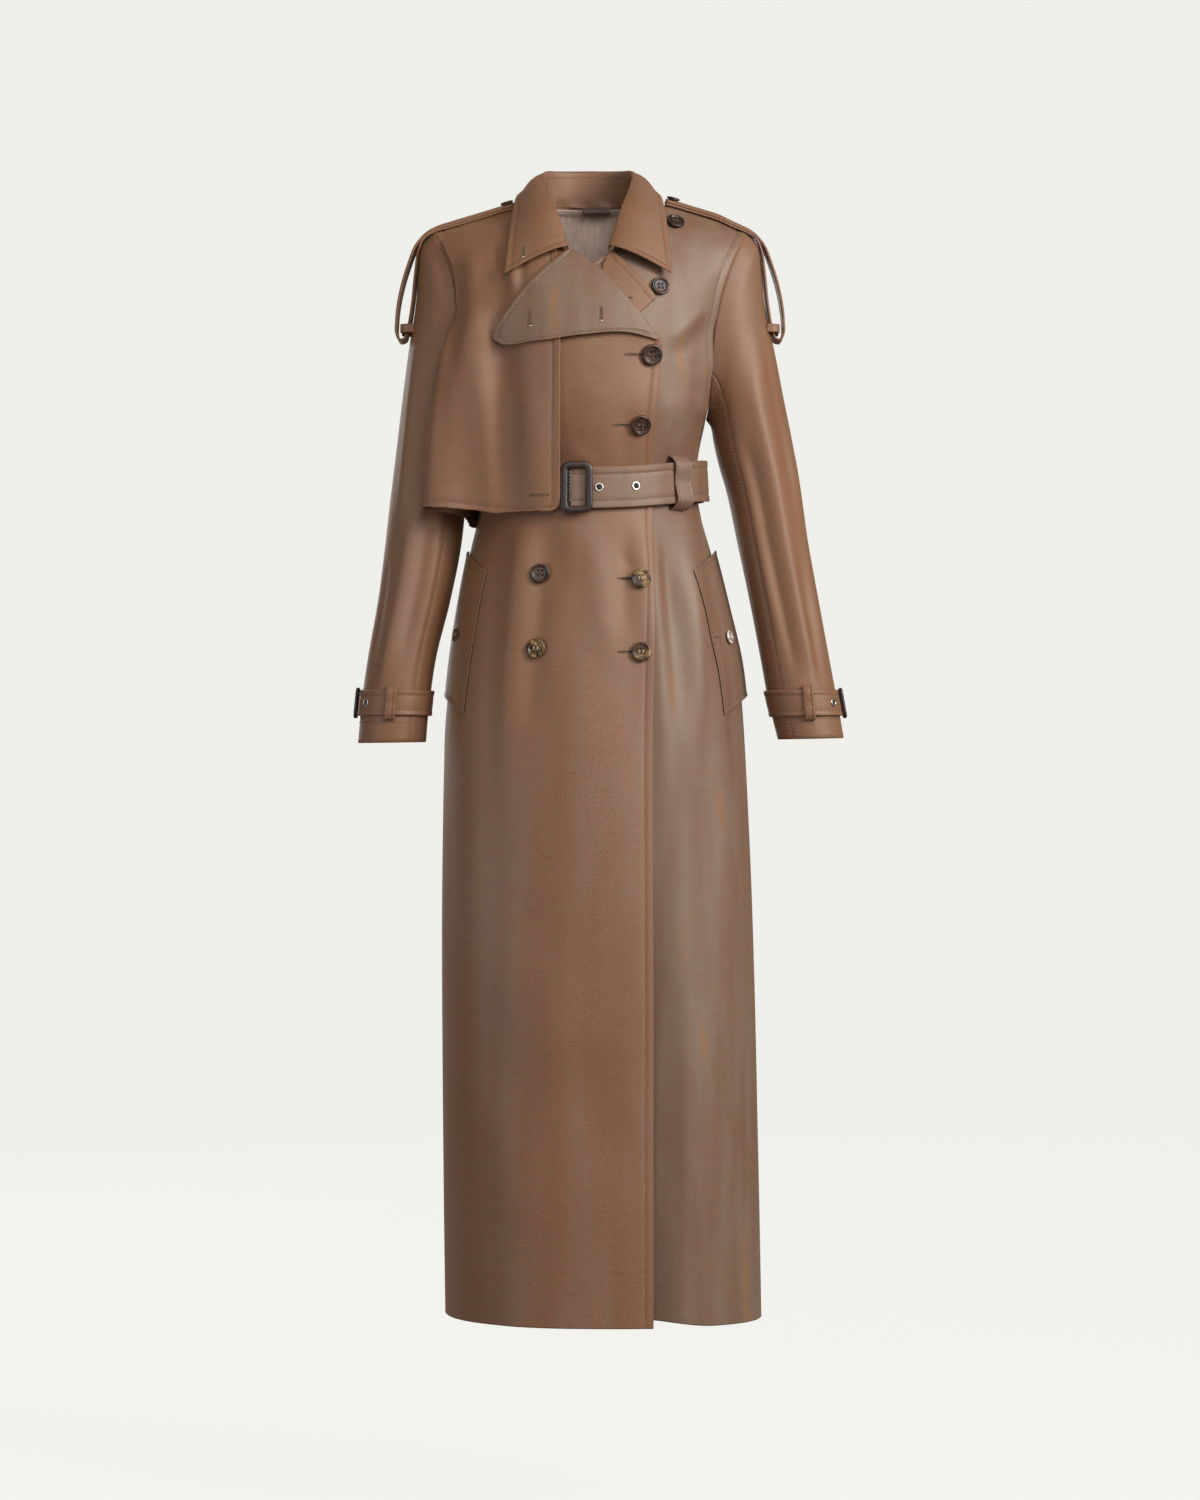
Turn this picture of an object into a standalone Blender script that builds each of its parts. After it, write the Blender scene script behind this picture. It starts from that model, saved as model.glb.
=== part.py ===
"""Double-breasted maxi trench coat with a half cape, hollow as worn.

Sizes are millimetres in the coat's own frame: the origin lies between the shoulders, +Z is up, the
front faces -Y and the wearer's right arm is at -X. Meshes are written in metres.
"""

import math
from collections import namedtuple

import bmesh
import bpy
import numpy as np
from mathutils import Vector
from mathutils.bvhtree import BVHTree

MM = 0.001

# Cloth
CLOTH = 1.5
FACED = 2.2
LINING = 1.0
SEAM = 0.3

# Small steps for slopes and lengths of the rays that seat small pieces
NEAR = np.array([-2.0, 0.0, 2.0])
RAY_START = 30.0
FAR = 400.0
FINE_POINTS = 400
STEEP = 0.8
TINY = 1e-9

# Body heights
HEM = -1314.0
ARMPIT = -245.0
NECK_Z = 16.0
NECK_X = 62.0
NECK_BACK = 54.0
TIP_X = 186.0
TIP_Z = -21.5
LEFT_RISE = 5.0
RISE_OUT = (NECK_X, 100.0)
RISE_IN = (TIP_X, 148.0)
RIDGE_Y = 8.0
SIDE_Y = 10.0

# Armhole and chest form
ARMHOLE_FRONT = 60.0
ARMHOLE_BACK = 58.0
CROSS_FRONT = 14.0
CROSS_BACK = 8.0
ARMHOLE_ROUND = 0.4
CHEST_TURN = 1.05
TURN_BY = 0.35
FRONT_RISE = 2.6
FRONT_EASE = 1.7
BACK_RISE = 3.0
BACK_EASE = 1.65
NECK_EASE = 6

FRONT = -1
BACK = 1
RIGHT = -1
LEFT = 1

# Half widths to the wearer's right and left, and depth front and back, at each height
Level = namedtuple("Level", "z right left front back")
BODY = (
    Level(HEM, 174, 206, 146, 146),
    Level(-1160, 176, 203, 143, 144),
    Level(-870, 178, 196, 135, 139),
    Level(-635, 175, 186, 127, 134),
    Level(-550, 168, 179, 122, 130),
    Level(-462, 155, 160, 115, 117),
    Level(-404, 144, 145, 110, 104),
    Level(-361, 134, 133, 106, 92),
    Level(-318, 127, 127, 104, 86),
    Level(-285, 131, 131, 112, 92),
    Level(ARMPIT, 143, 143, 122, 104),
)

# Folds of the skirt below the belt: angle from the middle front at top and foot, heights, width, depth
Fold = namedtuple("Fold", "top_angle foot_angle top foot width depth")
FOLDS = (
    Fold(-40, -44, -352, -760, 17, 6.0),
    Fold(-27, -31, -352, -640, 13, -4.0),
    Fold(-62, -62, -380, -1150, 30, 5.0),
    Fold(30, 40, -352, -700, 16, 5.0),
    Fold(45, 52, -352, -640, 14, -4.0),
    Fold(66, 66, -420, -1200, 30, 5.0),
    Fold(112, 112, -350, -900, 22, 6.0),
    Fold(140, 138, -350, -1150, 24, -5.0),
    Fold(160, 158, -350, -1000, 22, 6.0),
    Fold(-115, -114, -350, -950, 22, 6.0),
    Fold(-142, -140, -350, -1200, 24, -5.0),
    Fold(-163, -160, -350, -900, 22, 5.0),
)
FOLD_START = 70.0
FOLD_FADE = 0.6

# Heights of the rows of the body panels
HEM_ROW = -1170.0
SIDE_DROP = (3.0, 6.0)
SIDE_DROP_X = 190.0
UNDERLAP_RISE = 7.0
HIP_SEAM = -605.0
WAIST_SEAM = -318.0
SKIRT_ROWS = (HEM, HEM_ROW, -1030, -900, -785, -685, HIP_SEAM, -545, -495, -450, -410, -378, -348, WAIST_SEAM,
              -285, -262)
CHEST_ROWS = (ARMPIT, -236, -222, -200, -168, -137, -97, -52, -18, NECK_Z)
FRONT_COLUMNS = 14
BACK_COLUMNS = 11

# Front edge of a front panel: neck seam, roll line of the lapel, then the straight overlap edge
EdgeRow = namedtuple("EdgeRow", "height x")
FRONT_EDGE = (
    EdgeRow(HEM, 72),
    EdgeRow(-300, 73),
    EdgeRow(-255, 75),
    EdgeRow(-215, 78),
    EdgeRow(-168, 79),
    EdgeRow(-137, 59),
    EdgeRow(-97, 30),
    EdgeRow(-76, 8),
    EdgeRow(-52, -27),
    EdgeRow(-12, -49),
    EdgeRow(NECK_Z, -NECK_X),
)
OVERLAP = 2.8
OVERLAP_X = (-120.0, -80.0)
OVERLAP_TOP = (0.0, -50.0)
ROLL_LIFT = 6.0
ROLL_REACH = 34.0
ROLL_FOOT = (-195.0, -150.0)
ROLL_TOP = (-52.0, -85.0)
UNDERLAP_FLAT = (60.0, 90.0)
UNDERLAP_RECESS = 17.0
RECESS_TOP = -640.0
RECESS_X = (125.0, 70.0)
UNDERLAP_GAP = 2.5
UNDERLAP_X = (90.0, 66.0)
UNDERLAP_TOP = (-335.0, -400.0)
RISE_X = (150.0, 70.0)
SLOPE_STEP = 0.2
SLOPE_TURN = 0.002

# Sleeve sections: outer and inner edge seen from the front, then front and back of the tube
Ring = namedtuple("Ring", "outer_x outer_z inner_x inner_z front back")
SHOULDER_RINGS = (
    Ring(TIP_X, TIP_Z, 143, ARMPIT, -50, 67),
    Ring(201, -36, 144.5, -248, -50, 68),
    Ring(206, -64, 145, -250, -49, 68),
    Ring(210, -109, 146, -253, -48, 68),
)
RIGHT_RINGS = SHOULDER_RINGS + (
    Ring(218, -160, 147, -258, -47, 68),
    Ring(225, -215, 148, -270, -46, 68),
    Ring(232, -275, 149, -300, -46, 67),
    Ring(238, -325, 149.5, -340, -46, 65),
    Ring(246, -395, 155, -398, -47, 60),
    Ring(254.5, -462, 168, -463, -48, 52),
    Ring(266.5, -534, 185, -535, -50, 44),
    Ring(272.5, -577, 191, -578, -51, 40),
    Ring(278, -633, 196.5, -632, -50, 38),
)
LEFT_RINGS = SHOULDER_RINGS + (
    Ring(221, -160, 146.5, -257, -47, 68),
    Ring(231.5, -213, 149, -272, -46, 68),
    Ring(243, -268, 155, -298, -46, 67),
    Ring(252, -320, 163.5, -328, -46, 65),
    Ring(262, -392, 177, -395, -47, 60),
    Ring(274, -462, 191, -464, -48, 52),
    Ring(287, -534, 205, -536, -50, 44),
    Ring(295, -577, 213, -578, -51, 40),
    Ring(304, -627, 225, -629, -50, 38),
)
ARMHOLE_FADE = (1.0, 0.75, 0.45, 0.2)
ARMHOLE_GAP = 0.6
SLEEVE_WALL = 1.7
FRONT_SEAM = math.radians(125)
BACK_SEAM = math.radians(235)
SLEEVE_TOP_COLUMNS = 15
SLEEVE_UNDER_COLUMNS = 8

# Half cape: the front flap from its inner edge over the chest to a tip before the sleeve, then round
# under the arm, and the back shield that goes on from there
FlapRow = namedtuple("FlapRow", "height inner_x tip_x tip_y wrap")
FLAP = (
    FlapRow(-362, -35, -197, -65, 1.0),
    FlapRow(-328, -35, -194, -66, 1.0),
    FlapRow(-298, -35, -192, -67, 0.8),
    FlapRow(-268, -35, -189, -68, 0.36),
    FlapRow(-235, -35, -186, -69, 0.13),
    FlapRow(-200, -35, -182, -69, 0.08),
    FlapRow(-168, -35, -178, -68, 0.06),
    FlapRow(-137, -35, -171, -66, 0.04),
    FlapRow(-97, -36, -160, -60, 0.0),
    FlapRow(-52, -40, -162, -54, 0.0),
    FlapRow(-18, -58, -173, -41, 0.0),
    FlapRow(NECK_Z, -70, -183, RIDGE_Y, 0.0),
)
FLAP_COLUMNS = 17
FLAP_INSET = ((1.0, 0.0), (0.55, -52.0), (0.3, -96.0))
FLAP_FREE = -298.0
CAPE_LIFT = 7.0
SHOULDER_LIFT = 3.0
SHOULDER_EASE = 4
HANG_TOP = -215.0
HANG_DRIFT = 9.0
TIP_LEAD = (16.0, -13.0)
TIP_TRAIL = (11.0, 15.0)
UNDERARM = (-150.0, -30.0)
CAPE_JOIN = (-144.2, 6.0)
HEM_LIFT = 7.0
HEM_LIFT_X = (-90.0, -197.0)
HEM_DROP = 11.0
HEM_DROP_Y = (-66.0, 0.0)
ShieldRow = namedtuple("ShieldRow", "height left_x right_x wrap")
SHIELD = (
    ShieldRow(-373, 104, -112, 1.0),
    ShieldRow(-330, 105, -112, 1.0),
    ShieldRow(-298, 107, -114, 0.8),
    ShieldRow(-268, 110, -118, 0.25),
    ShieldRow(-235, 118, -122, 0.0),
    ShieldRow(-190, 128, -130, 0.0),
    ShieldRow(-137, 138, -140, 0.0),
    ShieldRow(-90, 147, -148, 0.0),
    ShieldRow(-45, 160, -160, 0.0),
    ShieldRow(-12, 173, -173, 0.0),
    ShieldRow(NECK_Z - 1.5, 182, -182, 0.0),
)
SHIELD_COLUMNS = 17
SHIELD_SPAN = 9
SHIELD_HANG_TOP = -240.0
SHIELD_DRIFT = -10.0
BEHIND_ARM = (-138.0, 44.0)

# Collar: seam, fold and outer edge on one side, from the front end round to the middle back
CollarRow = namedtuple("CollarRow", "seam_x seam_y seam_z fold_x fold_y fold_z edge_x edge_y edge_z")
COLLAR = (
    CollarRow(25, -91, -53, 25.5, -93, -50, 98, -94, -82),
    CollarRow(43, -67, -20, 39, -66, -3, 95, -79, -50),
    CollarRow(55, -32, 9, 48, -28, 24, 90, -44, -6),
    CollarRow(60.5, 4, 17.2, 54, 8, 47, 84.5, 4, 22),
    CollarRow(54, 34, 16.6, 49, 34, 55, 77, 46, 25),
    CollarRow(33, 54, 16.6, 30, 51, 57, 46, 80, 16),
    CollarRow(0, 61.6, 16.6, 0, 58, 58, 0, 91, 12),
)
COLLAR_SHIFT = -1.5
COLLAR_COLUMNS = 25
FALL_ROWS = 5
STAND_ROWS = 4
FOLD_ROUND = 2.6
FALL_BULGE = 6.0
BULGE_EASE = 0.7

# Lapels: roll line and outer edge seen from the front, with their stand-off from the chest
LapelRow = namedtuple("LapelRow", "roll_x roll_z edge_x edge_z")
RIGHT_LAPEL = (
    LapelRow(-20, -58, -29, -61),
    LapelRow(-10, -64, -62, -92),
    LapelRow(8, -77, -92, -128),
    LapelRow(22, -90, -107, -147),
    LapelRow(36, -105, -106, -158),
    LapelRow(48, -121, -92, -165),
    LapelRow(58, -135, -50, -164),
    LapelRow(66, -147, 10, -159),
    LapelRow(75, -159, 69, -163),
)
LEFT_LAPEL = (
    LapelRow(23, -56, 29, -57),
    LapelRow(15, -78, 46, -74),
    LapelRow(25, -104, 63, -92),
    LapelRow(48, -138, 77, -111),
)
LAPEL_ROLL = 11.6
LAPEL_EDGE = 11.0
LAPEL_ROWS = 7
UNDER_LAPEL = 3.1

# Belt
BELT_FRONT_Z = -335.0
BELT_SIDE_Z = -320.0
BELT_WIDTH = 47.0
BELT_STAND = 7.0
BELT_SIDE_STAND = 0.6
BELT_COLUMNS = 44
TAIL_STAND = 10.0
TAIL_ANGLES = (-17.0, 78.0)
TAIL_COLUMNS = 15
LOOP_ANGLE = 51.0
LOOP_WIDTH = 16.0
LoopPoint = namedtuple("LoopPoint", "drop stand")
LOOP = (
    LoopPoint(32.0, 1.6),
    LoopPoint(30.5, 7.9),
    LoopPoint(27.0, 13.2),
    LoopPoint(0.0, 14.4),
    LoopPoint(-27.0, 13.2),
    LoopPoint(-30.5, 7.9),
    LoopPoint(-32.0, 1.6),
)
LOOP_FOOT = 1.35
BUCKLE_ANGLE = -6.2
BUCKLE = (38.0, 61.0)
BUCKLE_BAR = 8.5
BUCKLE_DEPTH = 5.0
BUCKLE_STAND = 13.2
BAR = (2.4, 2.0)
BAR_INSET = 2.2
BAR_CLEAR = 1.0
FRAME_ROUND = 0.8
EYELET_ANGLES = (4.5, 23.0)
EYELET_RADIUS = 4.2
EYELET_WIRE = 1.0
EYELET_FLAT = 0.6
EYELET_POINTS = 12

# Epaulette: the path of its strip in the shoulder plane, out along the arm, round the keeper and back
Path = namedtuple("Path", "x z")
EPAULETTE = (
    Path(90.5, 12.7),
    Path(125, 2.4),
    Path(168, -10.6),
    Path(185, -15.9),
    Path(197.5, -24.4),
    Path(204.8, -41),
    Path(209, -68),
    Path(213.4, -110),
    Path(219.4, -141),
    Path(222.3, -149),
    Path(227.8, -150.5),
    Path(231.5, -144),
    Path(232, -128),
    Path(230, -108),
    Path(225, -84),
    Path(217, -58),
    Path(207, -34),
    Path(195, -19),
    Path(183, -12.4),
    Path(168, -7.6),
    Path(125, 5.4),
    Path(91.5, 15.7),
)
EPAULETTE_WIDTH = 42.0
EPAULETTE_Y = 13.0
EPAULETTE_ROWS = 38
LEFT_STRAP_FADE = (-60.0, -20.0)
KEEPER_Z = -137.0
Bend = namedtuple("Bend", "x y")
KEEPER = (
    Bend(222.0, -26.5),
    Bend(224.0, -25.0),
    Bend(224.0, 0.0),
    Bend(224.0, 25.0),
    Bend(222.0, 26.5),
)
KEEPER_HALF = 28.0
KEEPER_WIDTH = 9.0
KEEPER_FOOT = 1.9

# Cuffs
CUFF_TOP = -571.0
CUFF_FOOT = -600.0
CUFF_STAND = 1.4
CUFF_COLUMNS = 28
CUFF_LOOP_TURN = math.radians(85)
CUFF_LOOP_WIDTH = 11.0
CUFF_LOOP = (
    LoopPoint(20.0, 1.6),
    LoopPoint(19.0, 3.6),
    LoopPoint(16.5, 5.2),
    LoopPoint(0.0, 5.8),
    LoopPoint(-16.5, 5.2),
    LoopPoint(-19.0, 3.6),
    LoopPoint(-20.0, 1.6),
)
CUFF_SLANT = 0.09
CUFF_FAR = 200.0
CUFF_EYELET_TURN = math.radians(40)
CUFF_BUCKLE = (27.0, 37.0)
CUFF_BUCKLE_BAR = 5.5
CUFF_BUCKLE_DEPTH = 4.0

# Pocket welts: angle from the middle front and height of the four corners
Corner = namedtuple("Corner", "angle z")
WELT_FRONT_TOP = Corner(52, -430)
WELT_FRONT_FOOT = Corner(57, -600)
WELT_BACK_TOP = Corner(101, -404)
WELT_BACK_FOOT = Corner(97, -577)
WELT_STAND = 3.0
WELT_PROUD = (2.5, 6.0)
WELT_ROWS = 9
WELT_COLUMNS = 7

# Buttons
Button = namedtuple("Button", "name x z diameter")
FRONT_BUTTONS = (
    Button("front_button_1", 72, -179, 25),
    Button("front_button_2", 59, -261, 24),
    Button("front_button_3", 60, -441, 23),
    Button("front_button_4", 60, -527, 23),
    Button("front_button_5", -58, -435, 23),
    Button("front_button_6", -62, -523, 23),
    Button("front_button_7", 82, -97, 22),
    Button("front_button_8", 101, -16, 22),
)
POCKET_BUTTONS = (
    Button("right_pocket_button", -158, -505, 16),
    Button("left_pocket_button", 164, -508, 16),
)
SHOULDER_BUTTON_X = 99.5
SHOULDER_BUTTON_Y = 3.0
SHOULDER_BUTTON = 16.0
BUTTON_SIDES = 12
BUTTON_THICK = 0.17
BUTTON_SHANK = 1.5
BUTTON_GAP = 0.35
SEAT_REACH = 1 / 6
OVERLAP_EDGE = 80.0
Step = namedtuple("Step", "reach rise")
BUTTON_TOP = (
    Step(0.88, 0.0),
    Step(1.0, 0.55),
    Step(0.92, 1.0),
    Step(0.68, 0.72),
)
SHANK_RADIUS = 0.24

# Lining and hanger
LINING_ROWS = CHEST_ROWS[2:]
LINING_REACH = 8
LINING_GAP = 1.0
HANGER_X = (-9.0, 24.0)
HANGER_Z = 6.0
HANGER_WIDTH = 6.0
HANGER_STAND = 1.6
HANGER_BOW = 1.2
HANGER_POINTS = 5

# Finishes: colour, roughness, metallic
CLOTH_FINISH = ((0.075, 0.042, 0.026), 0.5, 0.0)
LINING_FINISH = ((0.055, 0.033, 0.026), 0.4, 0.0)
HORN_FINISH = ((0.035, 0.018, 0.010), 0.3, 0.0)
LEATHER_FINISH = ((0.028, 0.014, 0.010), 0.45, 0.0)
METAL_FINISH = ((0.62, 0.60, 0.57), 0.3, 1.0)

built = {}


def smooth(low, high, value):
    """Ease from 0 at low to 1 at high."""
    part = np.clip((value - low) / (high - low), 0.0, 1.0)
    return part * part * (3.0 - 2.0 * part)


def through(knots, values):
    """A smooth curve through knots in rising order that does not overshoot, as a function."""
    knots = np.asarray(knots, float)
    values = np.asarray(values, float)
    step = np.diff(knots)
    slope = np.diff(values) / step
    tangent = np.concatenate(([slope[0]], np.zeros(len(knots) - 2), [slope[-1]]))
    for i in range(1, len(knots) - 1):
        if slope[i - 1] * slope[i] > 0:
            tangent[i] = 2.0 * slope[i - 1] * slope[i] / (slope[i - 1] + slope[i])

    def at(position):
        position = np.asarray(position, float)
        i = np.clip(np.searchsorted(knots, position) - 1, 0, len(knots) - 2)
        t = np.clip((position - knots[i]) / step[i], 0.0, 1.0)
        rise = t * t * (3.0 - 2.0 * t)
        lean = t * (1.0 - t) ** 2 * tangent[i] - t * t * (1.0 - t) * tangent[i + 1]
        return values[i] * (1.0 - rise) + values[i + 1] * rise + step[i] * lean

    return at


def columns_of(table, key):
    """Curves through every other column of a table, by the column named key."""
    rows = sorted(table, key=lambda row: getattr(row, key))
    knots = [getattr(row, key) for row in rows]
    names = [name for name in table[0]._fields if name != key]
    return {name: through(knots, [getattr(row, name) for row in rows]) for name in names}


def spline(points, count, end=1.0):
    """Evenly spaced points on a smooth curve through the points given, as far as its part end."""
    points = np.asarray(points, float)
    chord = np.linalg.norm(np.diff(points, axis=0), axis=1)
    knots = np.concatenate(([0.0], np.cumsum(chord)))
    tangent = np.gradient(points, knots, axis=0)
    fine = np.linspace(0.0, knots[-1], FINE_POINTS)
    i = np.clip(np.searchsorted(knots, fine) - 1, 0, len(knots) - 2)
    step = (knots[i + 1] - knots[i])[:, None]
    t = (fine - knots[i])[:, None] / step
    rise = t * t * (3.0 - 2.0 * t)
    lean = t * (1.0 - t) ** 2 * tangent[i] - t * t * (1.0 - t) * tangent[i + 1]
    curve = points[i] * (1.0 - rise) + points[i + 1] * rise + step * lean
    run = np.concatenate(([0.0], np.cumsum(np.linalg.norm(np.diff(curve, axis=0), axis=1))))
    wanted = np.linspace(0.0, run[-1] * end, count)
    return np.stack([np.interp(wanted, run, curve[:, k]) for k in range(points.shape[1])], axis=1)


BODY_AT = columns_of(BODY, "z")
EDGE_AT = columns_of(FRONT_EDGE, "height")["x"]


def left_rise(x):
    """How much higher the left shoulder lies than the right one."""
    return LEFT_RISE * smooth(*RISE_OUT, x) * smooth(*RISE_IN, x)


def shoulder_z(x):
    """Height of the shoulder line at a distance from the middle."""
    slope = (TIP_Z - NECK_Z) * np.maximum(np.abs(x) - NECK_X, 0.0) / (TIP_X - NECK_X)
    return NECK_Z + slope + left_rise(x)


def share(height):
    """How far a height lies between the armpit and the shoulder line."""
    return np.clip((height - ARMPIT) / (NECK_Z - ARMPIT), 0.0, 1.0)


def panel_end(face, side, height):
    """Where a row of the body ends: the side seam, or the armhole above the armpit."""
    v = share(height)
    low = np.minimum(height, ARMPIT)
    width = np.where(np.asarray(side) < 0, BODY_AT["right"](low), BODY_AT["left"](low))
    hollow = (4.0 * v * (1.0 - v)) ** ARMHOLE_ROUND
    cross = CROSS_FRONT if face == FRONT else CROSS_BACK
    half = ARMHOLE_FRONT if face == FRONT else ARMHOLE_BACK
    x = width + (TIP_X - width) * v - cross * np.sin(np.pi * v)
    y = SIDE_Y + (RIDGE_Y - SIDE_Y) * v + face * half * hollow
    return x, y


def middle_y(face, height):
    """Depth of the body on its middle line."""
    v = share(height)
    low = np.minimum(height, ARMPIT)
    if face == FRONT:
        return RIDGE_Y - (BODY_AT["front"](low) + RIDGE_Y) * (1.0 - v ** FRONT_RISE) ** (1.0 / FRONT_EASE)
    return RIDGE_Y + (BODY_AT["back"](low) - RIDGE_Y) * (1.0 - v ** BACK_RISE) ** (1.0 / BACK_EASE)


def turn_of(height):
    """How far round a row turns between the middle and its end."""
    return math.pi / 2 + (CHEST_TURN - math.pi / 2) * smooth(0.0, TURN_BY, share(height))


def fold_depth(x, y, z):
    """How far the folds of the skirt stand out at a point."""
    angle = np.degrees(np.arctan2(x, -y))
    reach = np.hypot(x, y)
    depth = np.zeros(np.shape(z))
    for fold in FOLDS:
        along = np.clip((fold.top - z) / (fold.top - fold.foot), 0.0, 1.0)
        middle = fold.top_angle + (fold.foot_angle - fold.top_angle) * along
        off = np.radians((angle - middle + 180.0) % 360.0 - 180.0) * reach
        start = smooth(fold.top, fold.top - FOLD_START, z)
        fade = smooth(fold.foot, fold.foot + FOLD_FADE * (fold.top - fold.foot), z)
        depth = depth + fold.depth * np.exp(-((off / fold.width) ** 2)) * start * fade
    return depth


def body(face, t, height, fold_share=1.0):
    """A point of the body's outer face: t runs from -1 at the right end to 1 at the left end."""
    t, height = np.broadcast_arrays(np.asarray(t, float), np.asarray(height, float))
    end_x, end_y = panel_end(face, t, height)
    turn = turn_of(height)
    v = share(height)
    x = end_x * np.sin(t * turn) / np.sin(turn)
    part = (np.cos(t * turn) - np.cos(turn)) / (1.0 - np.cos(turn))
    y = end_y + (middle_y(face, height) - end_y) * part
    z = np.where(height < ARMPIT, height, ARMPIT + (shoulder_z(x) - ARMPIT) * v)
    drop = np.where(x < 0, *SIDE_DROP) * (x / SIDE_DROP_X) ** 2
    z = z - drop * smooth(HEM_ROW, HEM, height)
    if face == BACK:
        y = y + NECK_BACK * np.sqrt(np.maximum(0.0, 1.0 - (x / NECK_X) ** 2)) * v ** NECK_EASE
    depth = fold_depth(x, y, z) * fold_share
    away = np.hypot(x, y - SIDE_Y)
    return np.stack([x + depth * x / away, y + depth * (y - SIDE_Y) / away, z], axis=-1)


def body_normal(face, t, height):
    """The outward direction of the body's outer face."""
    t, height = np.broadcast_arrays(np.asarray(t, float), np.asarray(height, float))
    across = body(face, t + SLOPE_TURN, height) - body(face, t - SLOPE_TURN, height)
    top = np.minimum(height + SLOPE_STEP, NECK_Z)
    rise = body(face, t, top) - body(face, t, height - SLOPE_STEP)
    normal = np.cross(across, rise) * -face
    return normal / np.linalg.norm(normal, axis=-1, keepdims=True)


def t_at(face, x, height):
    """The place along a row where the body reaches a given x."""
    end_x, _ = panel_end(face, np.asarray(x), height)
    turn = turn_of(height)
    return np.arcsin(np.clip(x / end_x * np.sin(turn), -1.0, 1.0)) / turn


def around(angle, z):
    """A point of the body below the armpit at an angle from the middle front, in degrees."""
    angle = np.asarray(angle, float)
    front = body(FRONT, angle / 90.0, z)
    back = body(BACK, np.sign(angle) * (180.0 - np.abs(angle)) / 90.0, z)
    return np.where((np.abs(angle) <= 90.0)[..., None], front, back)


def chest(x, z):
    """The point of the front above the armpit seen at x and z."""
    height = ARMPIT + (z - ARMPIT) / (shoulder_z(x) - ARMPIT) * (NECK_Z - ARMPIT)
    return body(FRONT, t_at(FRONT, x, height), height)


def normals(grid, ring=False):
    """Unit normals of a grid of points, pointing away from the body's axis."""
    across = np.gradient(grid, axis=1)
    if ring:
        across = (np.roll(grid, -1, axis=1) - np.roll(grid, 1, axis=1)) / 2.0
    up = np.gradient(grid, axis=0)
    normal = np.cross(across, up)
    normal = normal / np.maximum(np.linalg.norm(normal, axis=2, keepdims=True), TINY)
    outward = grid - np.array([0.0, SIDE_Y, 0.0])
    outward[..., 2] = 0.0
    return normal if np.sum(normal * outward) > 0 else -normal


def lifted(grid, by, ring=False):
    """The grid moved out along its normals."""
    by = np.asarray(by, float)
    return grid + normals(grid, ring) * (by[..., None] if by.ndim else by)


def trimmed(grid, rows=(0.0, 0.0), columns=(0.0, 0.0)):
    """The grid with its border rows and columns drawn in by small lengths."""
    grid = grid.copy()
    for cut, edge, inner in ((rows[0], grid[0], grid[1]), (rows[1], grid[-1], grid[-2])):
        step = inner - edge
        edge += cut * step / np.maximum(np.linalg.norm(step, axis=-1, keepdims=True), TINY)
    for cut, edge, inner in ((columns[0], grid[:, 0], grid[:, 1]), (columns[1], grid[:, -1], grid[:, -2])):
        step = inner - edge
        edge += cut * step / np.maximum(np.linalg.norm(step, axis=-1, keepdims=True), TINY)
    return grid


def finish_mesh(name, vertices, faces, finish):
    """Make one named solid with its own material."""
    mesh = bpy.data.meshes.new(name)
    mesh.from_pydata([tuple(v) for v in np.asarray(vertices) * MM], [], faces)
    work = bmesh.new()
    work.from_mesh(mesh)
    bmesh.ops.recalc_face_normals(work, faces=work.faces)
    work.to_mesh(mesh)
    work.free()
    mesh.shade_smooth()
    colour, roughness, metallic = finish
    material = bpy.data.materials.new(name)
    material.use_nodes = True
    shader = material.node_tree.nodes["Principled BSDF"]
    shader.inputs["Base Color"].default_value = (*colour, 1.0)
    shader.inputs["Roughness"].default_value = roughness
    shader.inputs["Metallic"].default_value = metallic
    mesh.materials.append(material)
    item = bpy.data.objects.new(name, mesh)
    bpy.context.scene.collection.objects.link(item)
    built[name] = BVHTree.FromPolygons([Vector(v) for v in vertices], faces)
    return item


def wall(name, outer, inner, finish, ring=False):
    """A closed wall between two grids of points; ring joins the last column to the first."""
    rows, columns = outer.shape[:2]
    count = rows * columns
    faces = []
    for i in range(rows - 1):
        for j in range(columns if ring else columns - 1):
            a = i * columns + j
            b = i * columns + (j + 1) % columns
            c = b + columns
            d = a + columns
            faces.append((a, b, c))
            faces.append((a, c, d))
            faces.append((count + a, count + c, count + b))
            faces.append((count + a, count + d, count + c))
    border = [(j, (j + 1) % columns) for j in range(columns if ring else columns - 1)]
    last = (rows - 1) * columns
    for a, b in border:
        faces.append((a, count + a, count + b, b))
        faces.append((last + a, last + b, count + last + b, count + last + a))
    if not ring:
        for i in range(rows - 1):
            a = i * columns
            b = a + columns
            faces.append((a, b, count + b, count + a))
            a += columns - 1
            b += columns - 1
            faces.append((a, count + a, count + b, b))
    vertices = np.concatenate([outer.reshape(-1, 3), inner.reshape(-1, 3)])
    return finish_mesh(name, vertices, faces, finish)


def sheet(name, grid, thickness, finish, ring=False):
    """A wall whose outer face is the grid."""
    return wall(name, grid, lifted(grid, -thickness, ring), finish, ring)


def panel_at(name, z):
    """The solid of a body panel at a height: its chest, hip or skirt part."""
    if z < HIP_SEAM:
        return f"{name}_skirt"
    return f"{name}_hip" if z < WAIST_SEAM else name


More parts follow.
